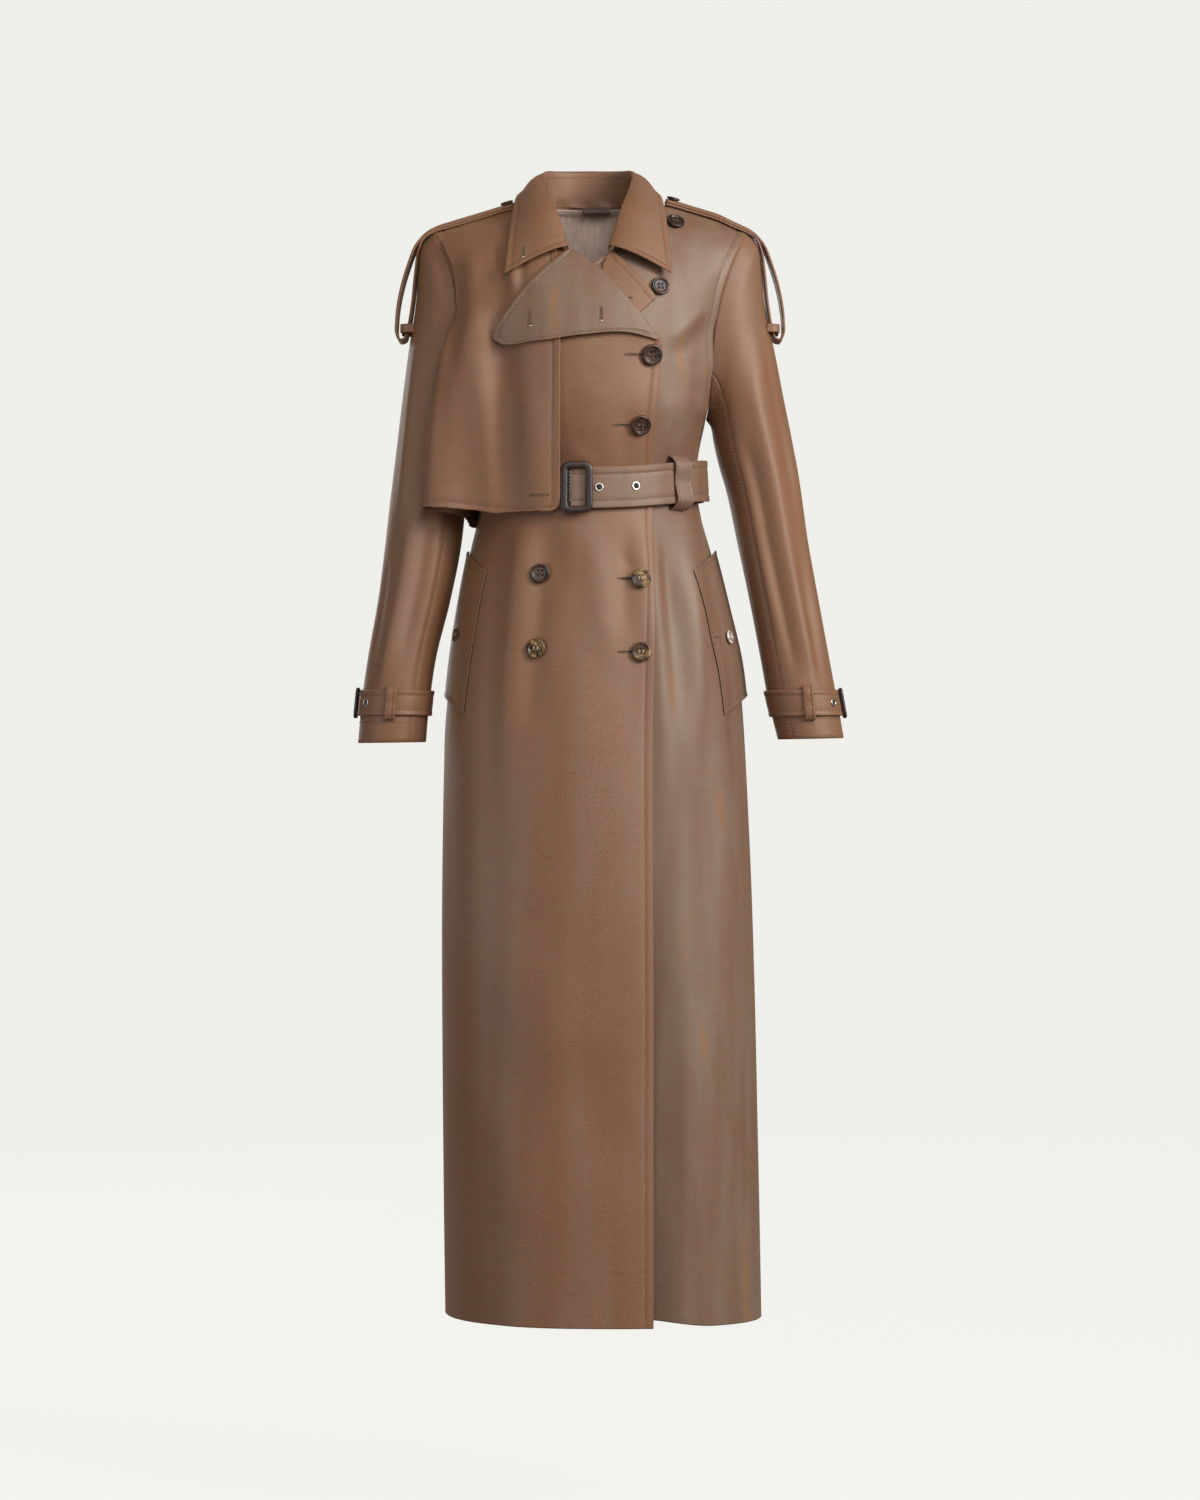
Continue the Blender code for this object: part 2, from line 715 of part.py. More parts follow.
def body_sheet(name, grid, normal, trims):
    """One layer of cloth under a grid of the body, in three parts, drawn in at all its seams."""
    grid = trimmed(grid, (0.0, SEAM / 2), trims)
    hip = SKIRT_ROWS.index(HIP_SEAM)
    waist = SKIRT_ROWS.index(WAIST_SEAM)
    for part, rows, seams in ((f"{name}_skirt", slice(0, hip + 1), (0.0, SEAM / 2)),
                              (f"{name}_hip", slice(hip, waist + 1), (SEAM / 2, SEAM / 2)),
                              (name, slice(waist, None), (SEAM / 2, 0.0))):
        outer = trimmed(grid[rows], seams)
        wall(part, outer, outer - normal[rows] * CLOTH, CLOTH_FINISH)


def strap(name, line, across, width, thickness, finish):
    """A flat strip along a line, with its width in the direction across."""
    half = np.asarray(across) * width / 2.0
    along = np.gradient(line, axis=0)
    up = np.cross(along, np.broadcast_to(half, line.shape))
    up = up / np.linalg.norm(up, axis=1, keepdims=True) * thickness / 2.0
    outer = np.stack([line - half + up, line + half + up], axis=1)
    inner = np.stack([line - half - up, line + half - up], axis=1)
    return wall(name, outer, inner, finish)


def hoop(name, line, axis, half_width, half_depth, finish, sides=6):
    """A closed bar along a closed flat line: half_width in its plane, half_depth along the axis."""
    axis = np.asarray(axis, float)
    along = np.roll(line, -1, axis=0) - np.roll(line, 1, axis=0)
    outward = np.cross(along, axis)
    outward = outward / np.linalg.norm(outward, axis=1, keepdims=True)
    count = len(line)
    rings = []
    for k in range(sides):
        turn = 2.0 * math.pi * (k + 0.5) / sides
        rings.append(line + outward * half_width * math.cos(turn) + axis * half_depth * math.sin(turn))
    faces = []
    for k in range(sides):
        below = k * count
        above = (k + 1) % sides * count
        for j in range(count):
            right = (j + 1) % count
            faces.append((below + j, below + right, above + right, above + j))
    return finish_mesh(name, np.concatenate(rings), faces, finish)


def rounded_frame(centre, right, up, size, bar, corner_points=4):
    """The middle line of a rectangular frame with rounded corners."""
    half_width = size[0] / 2.0 - bar / 2.0
    half_height = size[1] / 2.0 - bar / 2.0
    radius = bar * FRAME_ROUND
    line = []
    for k, (sx, sy) in enumerate(((1, 1), (-1, 1), (-1, -1), (1, -1))):
        for turn in np.linspace(k * math.pi / 2, (k + 1) * math.pi / 2, corner_points):
            x = sx * (half_width - radius) + radius * math.cos(turn)
            y = sy * (half_height - radius) + radius * math.sin(turn)
            line.append(centre + right * x + up * y)
    return np.array(line)


def seat(name, origin, direction):
    """The point of a solid that a ray from the origin meets, with the normal there."""
    point, normal, _, _ = built[name].ray_cast(Vector(origin), Vector(direction))
    point = np.array(point)
    normal = np.array(normal)
    return point, normal if normal @ np.asarray(direction) < 0 else -normal


def flat_seat(name, origin, direction, reach):
    """A seat level with the highest cloth within a small reach of the point met."""
    point, normal = seat(name, origin, direction)
    right, up = upright(normal)
    near = [seat(name, np.asarray(origin) + side * reach, direction) for side in (right, -right, up, -up)]
    normal = normal + sum(other for _, other in near)
    normal = normal / np.linalg.norm(normal)
    rise = max([0.0] + [(spot - point) @ normal for spot, _ in near])
    return point + normal * rise, normal


def upright(normal):
    """Two directions across a normal: to its right seen from outside, and up."""
    aside = (0.0, 1.0, 0.0) if abs(normal[2]) > STEEP else (0.0, 0.0, -1.0)
    right = np.cross(normal, aside)
    right = right / np.linalg.norm(right)
    return right, np.cross(normal, right)


def button(name, point, normal, diameter):
    """A dished button on a short thread shank, standing on a point of the cloth."""
    right, up = upright(normal)
    radius = diameter / 2.0
    thick = BUTTON_THICK * diameter
    base = BUTTON_GAP + BUTTON_SHANK
    profile = [(SHANK_RADIUS * radius, BUTTON_GAP), (SHANK_RADIUS * radius, base)]
    profile += [(step.reach * radius, base + step.rise * thick) for step in BUTTON_TOP]
    vertices = []
    for reach, height in profile:
        for k in range(BUTTON_SIDES):
            turn = 2.0 * math.pi * k / BUTTON_SIDES
            side = right * math.cos(turn) + up * math.sin(turn)
            vertices.append(point + normal * height + side * reach)
    faces = [tuple(range(BUTTON_SIDES))]
    for i in range(len(profile) - 1):
        for k in range(BUTTON_SIDES):
            a = i * BUTTON_SIDES + k
            b = i * BUTTON_SIDES + (k + 1) % BUTTON_SIDES
            faces.append((a, b, b + BUTTON_SIDES, a + BUTTON_SIDES))
    top = (len(profile) - 1) * BUTTON_SIDES
    faces.append(tuple(range(top, top + BUTTON_SIDES)))
    return finish_mesh(name, vertices, faces, HORN_FINISH)


def front_places(side):
    """Places of the points of one front, from its front edge to the side seam and armhole."""
    heights = np.array(SKIRT_ROWS + CHEST_ROWS, float)[:, None]
    edge = -side * EDGE_AT(heights)
    start = t_at(FRONT, edge, heights)
    part = np.linspace(0.0, 1.0, FRONT_COLUMNS)[None, :]
    return start + (side - start) * part, heights


def build_fronts():
    """The two fronts: the right laps over the left and rolls out at its lapel."""
    t, heights = front_places(RIGHT)
    grid = body(FRONT, t, heights)
    normal = body_normal(FRONT, t, heights)
    x = grid[..., 0]
    over = OVERLAP * smooth(*OVERLAP_X, x) * smooth(*OVERLAP_TOP, heights)
    on_roll = smooth(*ROLL_FOOT, heights) * smooth(*ROLL_TOP, heights)
    roll = ROLL_LIFT * np.exp(-(((x - EDGE_AT(heights)) / ROLL_REACH) ** 2)) * on_roll
    body_sheet("right_front", grid + normal * (over + roll)[..., None], normal, (0.0, SEAM / 2))
    t, heights = front_places(LEFT)
    x = body(FRONT, t, heights, 0.0)[..., 0]
    grid = body(FRONT, t, heights, smooth(*UNDERLAP_FLAT, x))
    normal = body_normal(FRONT, t, heights)
    recess = UNDERLAP_RECESS * smooth(RECESS_TOP, HEM, heights) * smooth(*RECESS_X, x)
    recess = recess + UNDERLAP_GAP * smooth(*UNDERLAP_X, x) * smooth(*UNDERLAP_TOP, heights)
    grid = grid - normal * recess[..., None]
    grid[..., 2] += UNDERLAP_RISE * smooth(HEM_ROW, HEM, heights) * smooth(*RISE_X, x)
    body_sheet("left_front", grid, normal, (0.0, SEAM / 2))


def build_backs():
    """The two backs, joined by the middle back seam."""
    heights = np.array(SKIRT_ROWS + CHEST_ROWS, float)[:, None]
    for name, side in (("back_right", RIGHT), ("back_left", LEFT)):
        t = np.linspace(min(side, 0.0), max(side, 0.0), BACK_COLUMNS)[None, :]
        body_sheet(name, body(BACK, t, heights), body_normal(BACK, t, heights), (SEAM / 2, SEAM / 2))


def sleeve_loop(side, turns):
    """The armhole loop, drawn at +X: turn 0 at the shoulder tip, a quarter turn at the front."""
    v = (1.0 + np.cos(turns)) / 2.0
    height = ARMPIT + v * (NECK_Z - ARMPIT)
    front_x, front_y = panel_end(FRONT, side, height)
    back_x, back_y = panel_end(BACK, side, height)
    ahead = np.sin(turns) >= 0
    x = np.where(ahead, front_x, back_x)
    y = np.where(ahead, front_y, back_y)
    return np.stack([x, y, ARMPIT + (shoulder_z(side * x) - ARMPIT) * v], axis=-1)


def section(ring, turns, grow=0.0):
    """An oval of the sleeve, drawn at +X, grown by a small length."""
    centre = np.array([(ring.outer_x + ring.inner_x) / 2, (ring.front + ring.back) / 2,
                       (ring.outer_z + ring.inner_z) / 2])
    out = np.array([(ring.outer_x - ring.inner_x) / 2, 0.0, (ring.outer_z - ring.inner_z) / 2])
    out = out * (1.0 + grow / np.linalg.norm(out))
    ahead = np.array([0.0, -(ring.back - ring.front) / 2 - grow, 0.0])
    return centre + np.cos(turns)[:, None] * out + np.sin(turns)[:, None] * ahead


def sleeve_grid(side, rings, turns, grow=0.0):
    """Rings of a sleeve, the first ones drawn to the armhole of its side."""
    loop = sleeve_loop(side, turns) - section(rings[0], turns)
    rows = []
    for i, ring in enumerate(rings):
        row = section(ring, turns, grow)
        if i < len(ARMHOLE_FADE):
            row = row + ARMHOLE_FADE[i] * loop
        rows.append(row)
    grid = np.array(rows)
    grid[0, :, 0] += ARMHOLE_GAP
    return grid * np.array([side, 1.0, 1.0])


def build_sleeves():
    """Two-piece sleeves: a top sleeve over the outside and an under sleeve toward the body."""
    for name, side, rings in (("right", RIGHT, RIGHT_RINGS), ("left", LEFT, LEFT_RINGS)):
        over = np.linspace(BACK_SEAM - 2.0 * math.pi, FRONT_SEAM, SLEEVE_TOP_COLUMNS)
        under = np.linspace(FRONT_SEAM, BACK_SEAM, SLEEVE_UNDER_COLUMNS)
        for piece, turns in (("top", over), ("under", under)):
            trims = (SEAM / 2, SEAM / 2)
            outer = trimmed(sleeve_grid(side, rings, turns), columns=trims)
            inner = trimmed(sleeve_grid(side, rings, turns, -SLEEVE_WALL), columns=trims)
            wall(f"{name}_sleeve_{piece}", outer, inner, CLOTH_FINISH)


def hang_y(x, height):
    """Depth of the flap: it lies on the chest and hangs straight below it."""
    top = max(height, HANG_TOP)
    depth = body(FRONT, t_at(FRONT, np.asarray(x, float), top), top)[..., 1]
    drift = HANG_DRIFT * smooth(HANG_TOP, FLAP[0].height, height)
    return depth - CAPE_LIFT + drift


def build_flap():
    """The front flap of the half cape, free below the chest and passing under the arm."""
    rows = []
    for row in FLAP:
        v = share(row.height)
        tip = np.array([row.tip_x, row.tip_y])
        chest_x = np.array([row.inner_x * part + shift for part, shift in FLAP_INSET])
        points = [np.array([x, y]) for x, y in zip(chest_x, hang_y(chest_x, row.height))]
        if row.wrap > 0:
            points += [tip + TIP_LEAD, tip, tip + TIP_TRAIL, np.array(UNDERARM), np.array(CAPE_JOIN)]
            line = np.array(points)
            run = np.cumsum(np.linalg.norm(np.diff(line, axis=0), axis=1))
            end = (run[3] + row.wrap * (run[-1] - run[3])) / run[-1]
        else:
            between = (chest_x[2] + tip[0]) / 2
            points += [np.array([between, hang_y(between, row.height)]), tip]
            line = np.array(points)
            end = 1.0
        plan = spline(line, FLAP_COLUMNS, end)
        z = np.full(FLAP_COLUMNS, row.height)
        if v > 0:
            z = ARMPIT + (shoulder_z(plan[:, 0]) - ARMPIT) * v + SHOULDER_LIFT * v ** SHOULDER_EASE
        at_hem = smooth(FLAP_FREE, FLAP[0].height, row.height)
        z = z + HEM_LIFT * at_hem * smooth(*HEM_LIFT_X, plan[:, 0])
        z = z - HEM_DROP * at_hem * smooth(*HEM_DROP_Y, plan[:, 1])
        rows.append(np.column_stack([plan, z]))
    grid = trimmed(np.array(rows), (0.0, SEAM / 2), (0.0, SEAM / 2))
    sheet("storm_flap", grid, CLOTH, CLOTH_FINISH)


def shield_y(x, height):
    """Depth of the shield: it lies on the shoulder blades and hangs below them."""
    top = max(height, SHIELD_HANG_TOP)
    depth = body(BACK, t_at(BACK, np.asarray(x, float), top), top)[..., 1]
    return depth + CAPE_LIFT + SHIELD_DRIFT * smooth(SHIELD_HANG_TOP, SHIELD[0].height, height)


def build_shield():
    """The back of the half cape, from the left back armhole to the join under the right arm."""
    rows = []
    for row in SHIELD:
        v = share(row.height)
        back_x = np.linspace(row.left_x, row.right_x, SHIELD_SPAN)
        points = [np.array([x, y]) for x, y in zip(back_x, shield_y(back_x, row.height))]
        end = 1.0
        if row.wrap > 0:
            points += [np.array(BEHIND_ARM), np.array(CAPE_JOIN)]
            run = np.cumsum(np.linalg.norm(np.diff(np.array(points), axis=0), axis=1))
            end = (run[SHIELD_SPAN - 2] + row.wrap * (run[-1] - run[SHIELD_SPAN - 2])) / run[-1]
        plan = spline(points, SHIELD_COLUMNS, end)
        z = np.full(SHIELD_COLUMNS, row.height)
        if v > 0:
            z = ARMPIT + (shoulder_z(plan[:, 0]) - ARMPIT) * v + SHOULDER_LIFT * v ** SHOULDER_EASE
        rows.append(np.column_stack([plan, z]))
    grid = trimmed(np.array(rows), (0.0, SEAM / 2), (0.0, SEAM / 2))
    sheet("back_shield", grid, CLOTH, CLOTH_FINISH)


def collar_line(prefix, count):
    """A line of the collar from its right front end round the back to its left front end."""
    half = [[getattr(row, f"{prefix}_{axis}") for axis in "xyz"] for row in COLLAR]
    right = [[-x, y, z] for x, y, z in half]
    return spline(right + half[-2::-1], count) + np.array([COLLAR_SHIFT, 0.0, 0.0])


def build_collar():
    """A stand rising from the neck seam and a fall turned down over it."""
    seam = collar_line("seam", COLLAR_COLUMNS)
    fold = collar_line("fold", COLLAR_COLUMNS)
    edge = collar_line("edge", COLLAR_COLUMNS)
    part = np.linspace(0.0, 1.0, STAND_ROWS)[:, None, None]
    sheet("collar_stand", seam + (fold - seam) * part, FACED, CLOTH_FINISH)
    part = np.linspace(0.0, 1.0, FALL_ROWS)[:, None, None]
    fall = fold + (edge - fold) * part
    lift = FOLD_ROUND + FALL_BULGE * np.sin(np.pi * part[..., 0] ** BULGE_EASE)
    sheet("collar_fall", lifted(fall, lift * np.ones(fall.shape[:2])), FACED, CLOTH_FINISH)


def build_lapels():
    """The right lapel turned out over the flap, and the left one under the right front."""
    for name, table, roll_out, edge_out in (("right_lapel", RIGHT_LAPEL, LAPEL_ROLL, LAPEL_EDGE),
                                            ("left_lapel", LEFT_LAPEL, UNDER_LAPEL, UNDER_LAPEL)):
        count = 2 * len(table) - 1
        roll = spline([(row.roll_x, row.roll_z) for row in table], count)
        edge = spline([(row.edge_x, row.edge_z) for row in table], count)
        part = np.linspace(0.0, 1.0, LAPEL_ROWS)[:, None]
        x = roll[:, 0] + (edge[:, 0] - roll[:, 0]) * part
        z = roll[:, 1] + (edge[:, 1] - roll[:, 1]) * part
        out = roll_out + (edge_out - roll_out) * part
        sheet(name, lifted(chest(x, z), out * np.ones(x.shape)), FACED, CLOTH_FINISH)


def belt_z(angle):
    """Height of the belt's middle line: it dips at the middle front."""
    front = np.cos(np.radians(np.clip(angle, -90.0, 90.0))) ** 2
    return BELT_SIDE_Z + (BELT_FRONT_Z - BELT_SIDE_Z) * front


def belt_grid(angles, stand, ring=False):
    """Outer face of a band round the waist, over the fronts."""
    rows = []
    for drop in (-0.5, 0.5):
        rows.append(around(angles, belt_z(angles) + drop * BELT_WIDTH))
    side = BELT_SIDE_STAND * np.sin(np.radians(angles)) ** 2
    grid = np.array(rows)
    return lifted(grid, (stand + side) * np.ones(grid.shape[:2]), ring)


def build_belt():
    """The belt, its free end, loop, buckle and eyelets."""
    angles = np.linspace(-180.0, 180.0, BELT_COLUMNS, endpoint=False)
    sheet("belt", belt_grid(angles, BELT_STAND, True), FACED, CLOTH_FINISH, True)
    tail = np.linspace(*TAIL_ANGLES, TAIL_COLUMNS)
    sheet("belt_tail", belt_grid(tail, TAIL_STAND), FACED, CLOTH_FINISH)
    place_loop("belt_loop_left", LOOP_ANGLE)
    point, normal = belt_point(BUCKLE_ANGLE, BUCKLE_STAND)
    right, up = upright(normal)
    line = rounded_frame(point, right, up, BUCKLE, BUCKLE_BAR)
    hoop("belt_buckle", line, normal, BUCKLE_BAR / 2, BUCKLE_DEPTH / 2, LEATHER_FINISH, 8)
    reach = np.array([-0.5, 0.0, 0.5])[:, None] * (BUCKLE[1] - 2.0 * BUCKLE_BAR - BAR_CLEAR)
    bar = point - right * (BUCKLE[0] / 2 - BUCKLE_BAR - BAR_INSET) + up * reach
    strap("buckle_bar", bar, right, *BAR, METAL_FINISH)
    for k, angle in enumerate(EYELET_ANGLES):
        guess, normal = belt_point(angle, TAIL_STAND + RAY_START)
        point, normal = flat_seat("belt_tail", guess, -normal, EYELET_RADIUS)
        place_eyelet(f"belt_eyelet_{k + 1}", point, normal)


def belt_point(angle, stand):
    """A point standing off the belt's middle line, with the normal there."""
    near = belt_grid(angle + NEAR, stand)
    return near[:, 1].mean(axis=0), normals(near)[0, 1]


def place_eyelet(name, point, normal):
    """A metal ring lying on a strap."""
    right, up = upright(normal)
    turns = np.linspace(0.0, 2.0 * math.pi, EYELET_POINTS, endpoint=False)[:, None]
    centre = point + normal * (EYELET_WIRE * EYELET_FLAT + BUTTON_GAP)
    line = centre + EYELET_RADIUS * (np.cos(turns) * right + np.sin(turns) * up)
    hoop(name, line, normal, EYELET_WIRE, EYELET_WIRE * EYELET_FLAT, METAL_FINISH)


def place_loop(name, angle):
    """A belt loop sewn to the front above and below the belt."""
    middle = belt_z(angle)
    turned = BELT_SIDE_STAND * math.sin(math.radians(angle)) ** 2
    line = []
    for place in LOOP:
        near = np.array([around(angle + NEAR, middle + place.drop + step) for step in NEAR])
        line.append(near[1, 1] + normals(near)[1, 1] * (place.stand + turned))
    line = np.array(line)
    line[0] = loop_foot(line[0])
    line[-1] = loop_foot(line[-1])
    across = np.array([math.cos(math.radians(angle)), math.sin(math.radians(angle)), 0.0])
    strap(name, line, across, LOOP_WIDTH, CLOTH, CLOTH_FINISH)


def loop_foot(point):
    """The end of a loop moved to stand on the left front."""
    inward = np.array([-point[0], SIDE_Y - point[1], 0.0])
    inward = inward / np.linalg.norm(inward)
    spot, _ = seat(panel_at("left_front", point[2]), point - inward * RAY_START, inward)
    return spot - inward * LOOP_FOOT


def keeper_foot(name, side, y):
    """The end of a keeper, standing on the sleeve."""
    spot, _ = seat(f"{name}_sleeve_top", (side * FAR, EPAULETTE_Y + y, KEEPER_Z), (-side, 0.0, 0.0))
    return spot + np.array([side * KEEPER_FOOT, 0.0, 0.0])


def build_epaulettes():
    """Shoulder straps: one strip along the shoulder, round the keeper on the arm and back."""
    path = spline([(row.x, row.z) for row in EPAULETTE], EPAULETTE_ROWS)
    for name, side in (("right", RIGHT), ("left", LEFT)):
        x = side * path[:, 0]
        z = path[:, 1] + left_rise(x) * smooth(*LEFT_STRAP_FADE, path[:, 1])
        line = np.column_stack([x, np.full(EPAULETTE_ROWS, EPAULETTE_Y), z])
        strap(f"{name}_epaulette", line, (0.0, 1.0, 0.0), EPAULETTE_WIDTH, FACED, CLOTH_FINISH)
        feet = [keeper_foot(name, side, y) for y in (-KEEPER_HALF, KEEPER_HALF)]
        line = np.array([(side * bend.x, EPAULETTE_Y + bend.y, KEEPER_Z) for bend in KEEPER])
        line = np.vstack([feet[:1], line, feet[1:]])
        strap(f"{name}_epaulette_keeper", line, (0.0, 0.0, 1.0), KEEPER_WIDTH, CLOTH, CLOTH_FINISH)
        origin = (side * SHOULDER_BUTTON_X, SHOULDER_BUTTON_Y, FAR)
        point, normal = flat_seat(f"{name}_epaulette", origin, (0.0, 0.0, -1.0), SHOULDER_BUTTON * SEAT_REACH)
        button(f"{name}_epaulette_button", point, normal, SHOULDER_BUTTON)


def ring_at(rings, z):
    """The sleeve section at a height near the cuff."""
    rows = sorted(rings[len(SHOULDER_RINGS):], key=lambda ring: ring.outer_z)
    heights = [ring.outer_z for ring in rows]
    values = [np.interp(z, heights, [getattr(ring, name) for ring in rows]) for name in Ring._fields]
    return Ring(*values)


def build_cuffs():
    """Cuff straps with their loops, eyelets and buckles."""
    turns = np.linspace(0.0, 2.0 * math.pi, CUFF_COLUMNS, endpoint=False)
    for name, side, rings in (("right", RIGHT, RIGHT_RINGS), ("left", LEFT, LEFT_RINGS)):
        flip = np.array([side, 1.0, 1.0])
        bands = [ring_at(rings, z) for z in (CUFF_FOOT, CUFF_TOP)]
        outer = np.array([section(ring, turns, CUFF_STAND + FACED) for ring in bands]) * flip
        inner = np.array([section(ring, turns, CUFF_STAND) for ring in bands]) * flip
        wall(f"{name}_cuff_strap", outer, inner, CLOTH_FINISH, True)
        middle = ring_at(rings, (CUFF_TOP + CUFF_FOOT) / 2)
        place_cuff_loop(f"{name}_cuff_loop", middle, flip)
        centre = section(middle, np.array([0.0, math.pi])).mean(axis=0) * flip
        turn = np.array([CUFF_EYELET_TURN])
        out = section(middle, turn)[0] * flip - centre
        out = out / np.linalg.norm(out)
        point, normal = flat_seat(f"{name}_cuff_strap", centre + out * CUFF_FAR, -out, EYELET_RADIUS)
        place_eyelet(f"{name}_cuff_eyelet", point, normal)
        out = np.array([side, 0.0, 0.0])
        point, normal = seat(f"{name}_cuff_strap", centre + out * CUFF_FAR, -out)
        right, up = upright(normal)
        point = point + normal * (CUFF_BUCKLE_DEPTH / 2 + BUTTON_GAP)
        line = rounded_frame(point, right, up, CUFF_BUCKLE, CUFF_BUCKLE_BAR, 3)
        hoop(f"{name}_cuff_buckle", line, normal, CUFF_BUCKLE_BAR / 2, CUFF_BUCKLE_DEPTH / 2, LEATHER_FINISH)


def place_cuff_loop(name, ring, flip):
    """A loop over the cuff strap, sewn to the sleeve above and below it."""
    line = []
    for place in CUFF_LOOP:
        slant = place.drop * CUFF_SLANT
        level = ring._replace(outer_x=ring.outer_x - slant, inner_x=ring.inner_x - slant)
        point = section(level, np.array([CUFF_LOOP_TURN]), place.stand)[0]
        line.append(point * flip + np.array([0.0, 0.0, place.drop]))
    strap(name, np.array(line), (1.0, 0.0, 0.0), CUFF_LOOP_WIDTH, CLOTH, CLOTH_FINISH)


def build_pockets():
    """Slanted pocket welts that stand proud along their open edge."""
    across = np.linspace(0.0, 1.0, WELT_COLUMNS)[None, :]
    down = np.linspace(0.0, 1.0, WELT_ROWS)[:, None]
    for name, side, proud in (("right", RIGHT, WELT_PROUD[0]), ("left", LEFT, WELT_PROUD[1])):
        front_angle = WELT_FRONT_TOP.angle + (WELT_FRONT_FOOT.angle - WELT_FRONT_TOP.angle) * down
        back_angle = WELT_BACK_TOP.angle + (WELT_BACK_FOOT.angle - WELT_BACK_TOP.angle) * down
        front_z = WELT_FRONT_TOP.z + (WELT_FRONT_FOOT.z - WELT_FRONT_TOP.z) * down
        back_z = WELT_BACK_TOP.z + (WELT_BACK_FOOT.z - WELT_BACK_TOP.z) * down
        angle = side * (front_angle + (back_angle - front_angle) * across)
        z = front_z + (back_z - front_z) * across
        stand = WELT_STAND + proud * across ** 2 * np.ones(z.shape)
        sheet(f"{name}_pocket_welt", lifted(around(angle, z), stand), FACED, CLOTH_FINISH)


def build_buttons():
    """Two columns of horn buttons down the front, and one on each pocket."""
    for item in FRONT_BUTTONS:
        cloth = panel_at("left_front" if item.x > OVERLAP_EDGE else "right_front", item.z)
        point, normal = flat_seat(cloth, (item.x, -FAR, item.z), (0.0, 1.0, 0.0), item.diameter * SEAT_REACH)
        button(item.name, point, normal, item.diameter)
    for item in POCKET_BUTTONS:
        cloth = "right_pocket_welt" if item.x < 0 else "left_pocket_welt"
        point, normal = flat_seat(cloth, (item.x, -FAR, item.z), (0.0, 1.0, 0.0), item.diameter * SEAT_REACH)
        button(item.name, point, normal, item.diameter)


def build_lining():
    """The half lining of the back, seen through the neck, and the hanger loop on it."""
    heights = np.array(LINING_ROWS, float)[:, None]
    t = np.arange(-LINING_REACH, LINING_REACH + 1)[None, :] / (BACK_COLUMNS - 1)
    normal = body_normal(BACK, t, heights)
    grid = body(BACK, t, heights) - normal * (CLOTH + LINING_GAP)
    wall("back_lining", grid, grid - normal * LINING, LINING_FINISH)
    line = []
    for part in np.linspace(0.0, 1.0, HANGER_POINTS):
        place = HANGER_X[0] + (HANGER_X[1] - HANGER_X[0]) * part
        point, _ = seat("back_lining", (place, 0.0, HANGER_Z), (0.0, 1.0, 0.0))
        line.append(point - np.array([0.0, HANGER_STAND + HANGER_BOW * math.sin(math.pi * part), 0.0]))
    middle = sum(HANGER_X) / 2
    low, _ = seat("back_lining", (middle, 0.0, HANGER_Z - HANGER_WIDTH / 2), (0.0, 1.0, 0.0))
    high, _ = seat("back_lining", (middle, 0.0, HANGER_Z + HANGER_WIDTH / 2), (0.0, 1.0, 0.0))
    across = (high - low) / np.linalg.norm(high - low)
    strap("hanger_loop", np.array(line), across, HANGER_WIDTH, LINING, LINING_FINISH)


def main():
    """Build every piece of the coat."""
    for item in list(bpy.data.objects):
        bpy.data.objects.remove(item, do_unlink=True)
    build_fronts()
    build_backs()
    build_sleeves()
    build_flap()
    build_shield()
    build_collar()
    build_lapels()
    build_belt()
    build_epaulettes()
    build_cuffs()
    build_pockets()
    build_buttons()
    build_lining()


main()
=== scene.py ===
"""Double-breasted trench coat with a half cape, dressed in its cloth, trimmings and sewing.

Sizes are millimetres in the coat's own frame: +Z is up, the front faces -Y and the right sleeve is
at -X. Meshes are written in metres.
"""

import logging
import math
from dataclasses import dataclass, field
from enum import Enum
from typing import Callable, NamedTuple, Sequence

import bmesh
import bpy
import numpy as np
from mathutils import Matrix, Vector
from mathutils.bvhtree import BVHTree


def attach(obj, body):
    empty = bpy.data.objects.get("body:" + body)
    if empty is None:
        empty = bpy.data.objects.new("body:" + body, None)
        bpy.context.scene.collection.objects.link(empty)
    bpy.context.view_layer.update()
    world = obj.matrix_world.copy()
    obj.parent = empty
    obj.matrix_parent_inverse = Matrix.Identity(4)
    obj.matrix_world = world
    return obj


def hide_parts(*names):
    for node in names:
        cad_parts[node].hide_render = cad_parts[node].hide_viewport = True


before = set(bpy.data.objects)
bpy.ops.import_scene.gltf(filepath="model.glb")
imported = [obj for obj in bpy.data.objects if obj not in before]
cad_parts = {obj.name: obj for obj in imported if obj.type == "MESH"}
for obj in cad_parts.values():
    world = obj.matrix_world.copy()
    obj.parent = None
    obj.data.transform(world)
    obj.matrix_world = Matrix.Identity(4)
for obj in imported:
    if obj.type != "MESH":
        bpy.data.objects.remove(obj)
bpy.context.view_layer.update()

Array = np.ndarray
Pair = tuple[float, float]
Curve = Callable[[Array], Array]
Nodes = bpy.types.NodeTree
Socket = bpy.types.NodeSocket
log = logging.getLogger("coat")

MM = 0.001
BODY = "root"
CLOTH = 1.5
FACED = 2.2
SLEEVE_WALL = 1.7
SPACING = 5.5
FAR = 400.0
EDGE_STEPS = (0.8, 2.2)
FINE_STEPS = (0.8, 2.0)
STRAP_STEPS = (0.6, 1.6)
TINY = 1e-9


class Side(Enum):
    """Side of the coat as worn, with its sign along X."""

    RIGHT = -1
    LEFT = 1

    @property
    def word(self) -> str:
        """The side's name in lower case."""
        return self.name.lower()


class Face(Enum):
    """Front or back of the body, with its sign along Y."""

    FRONT = -1
    BACK = 1


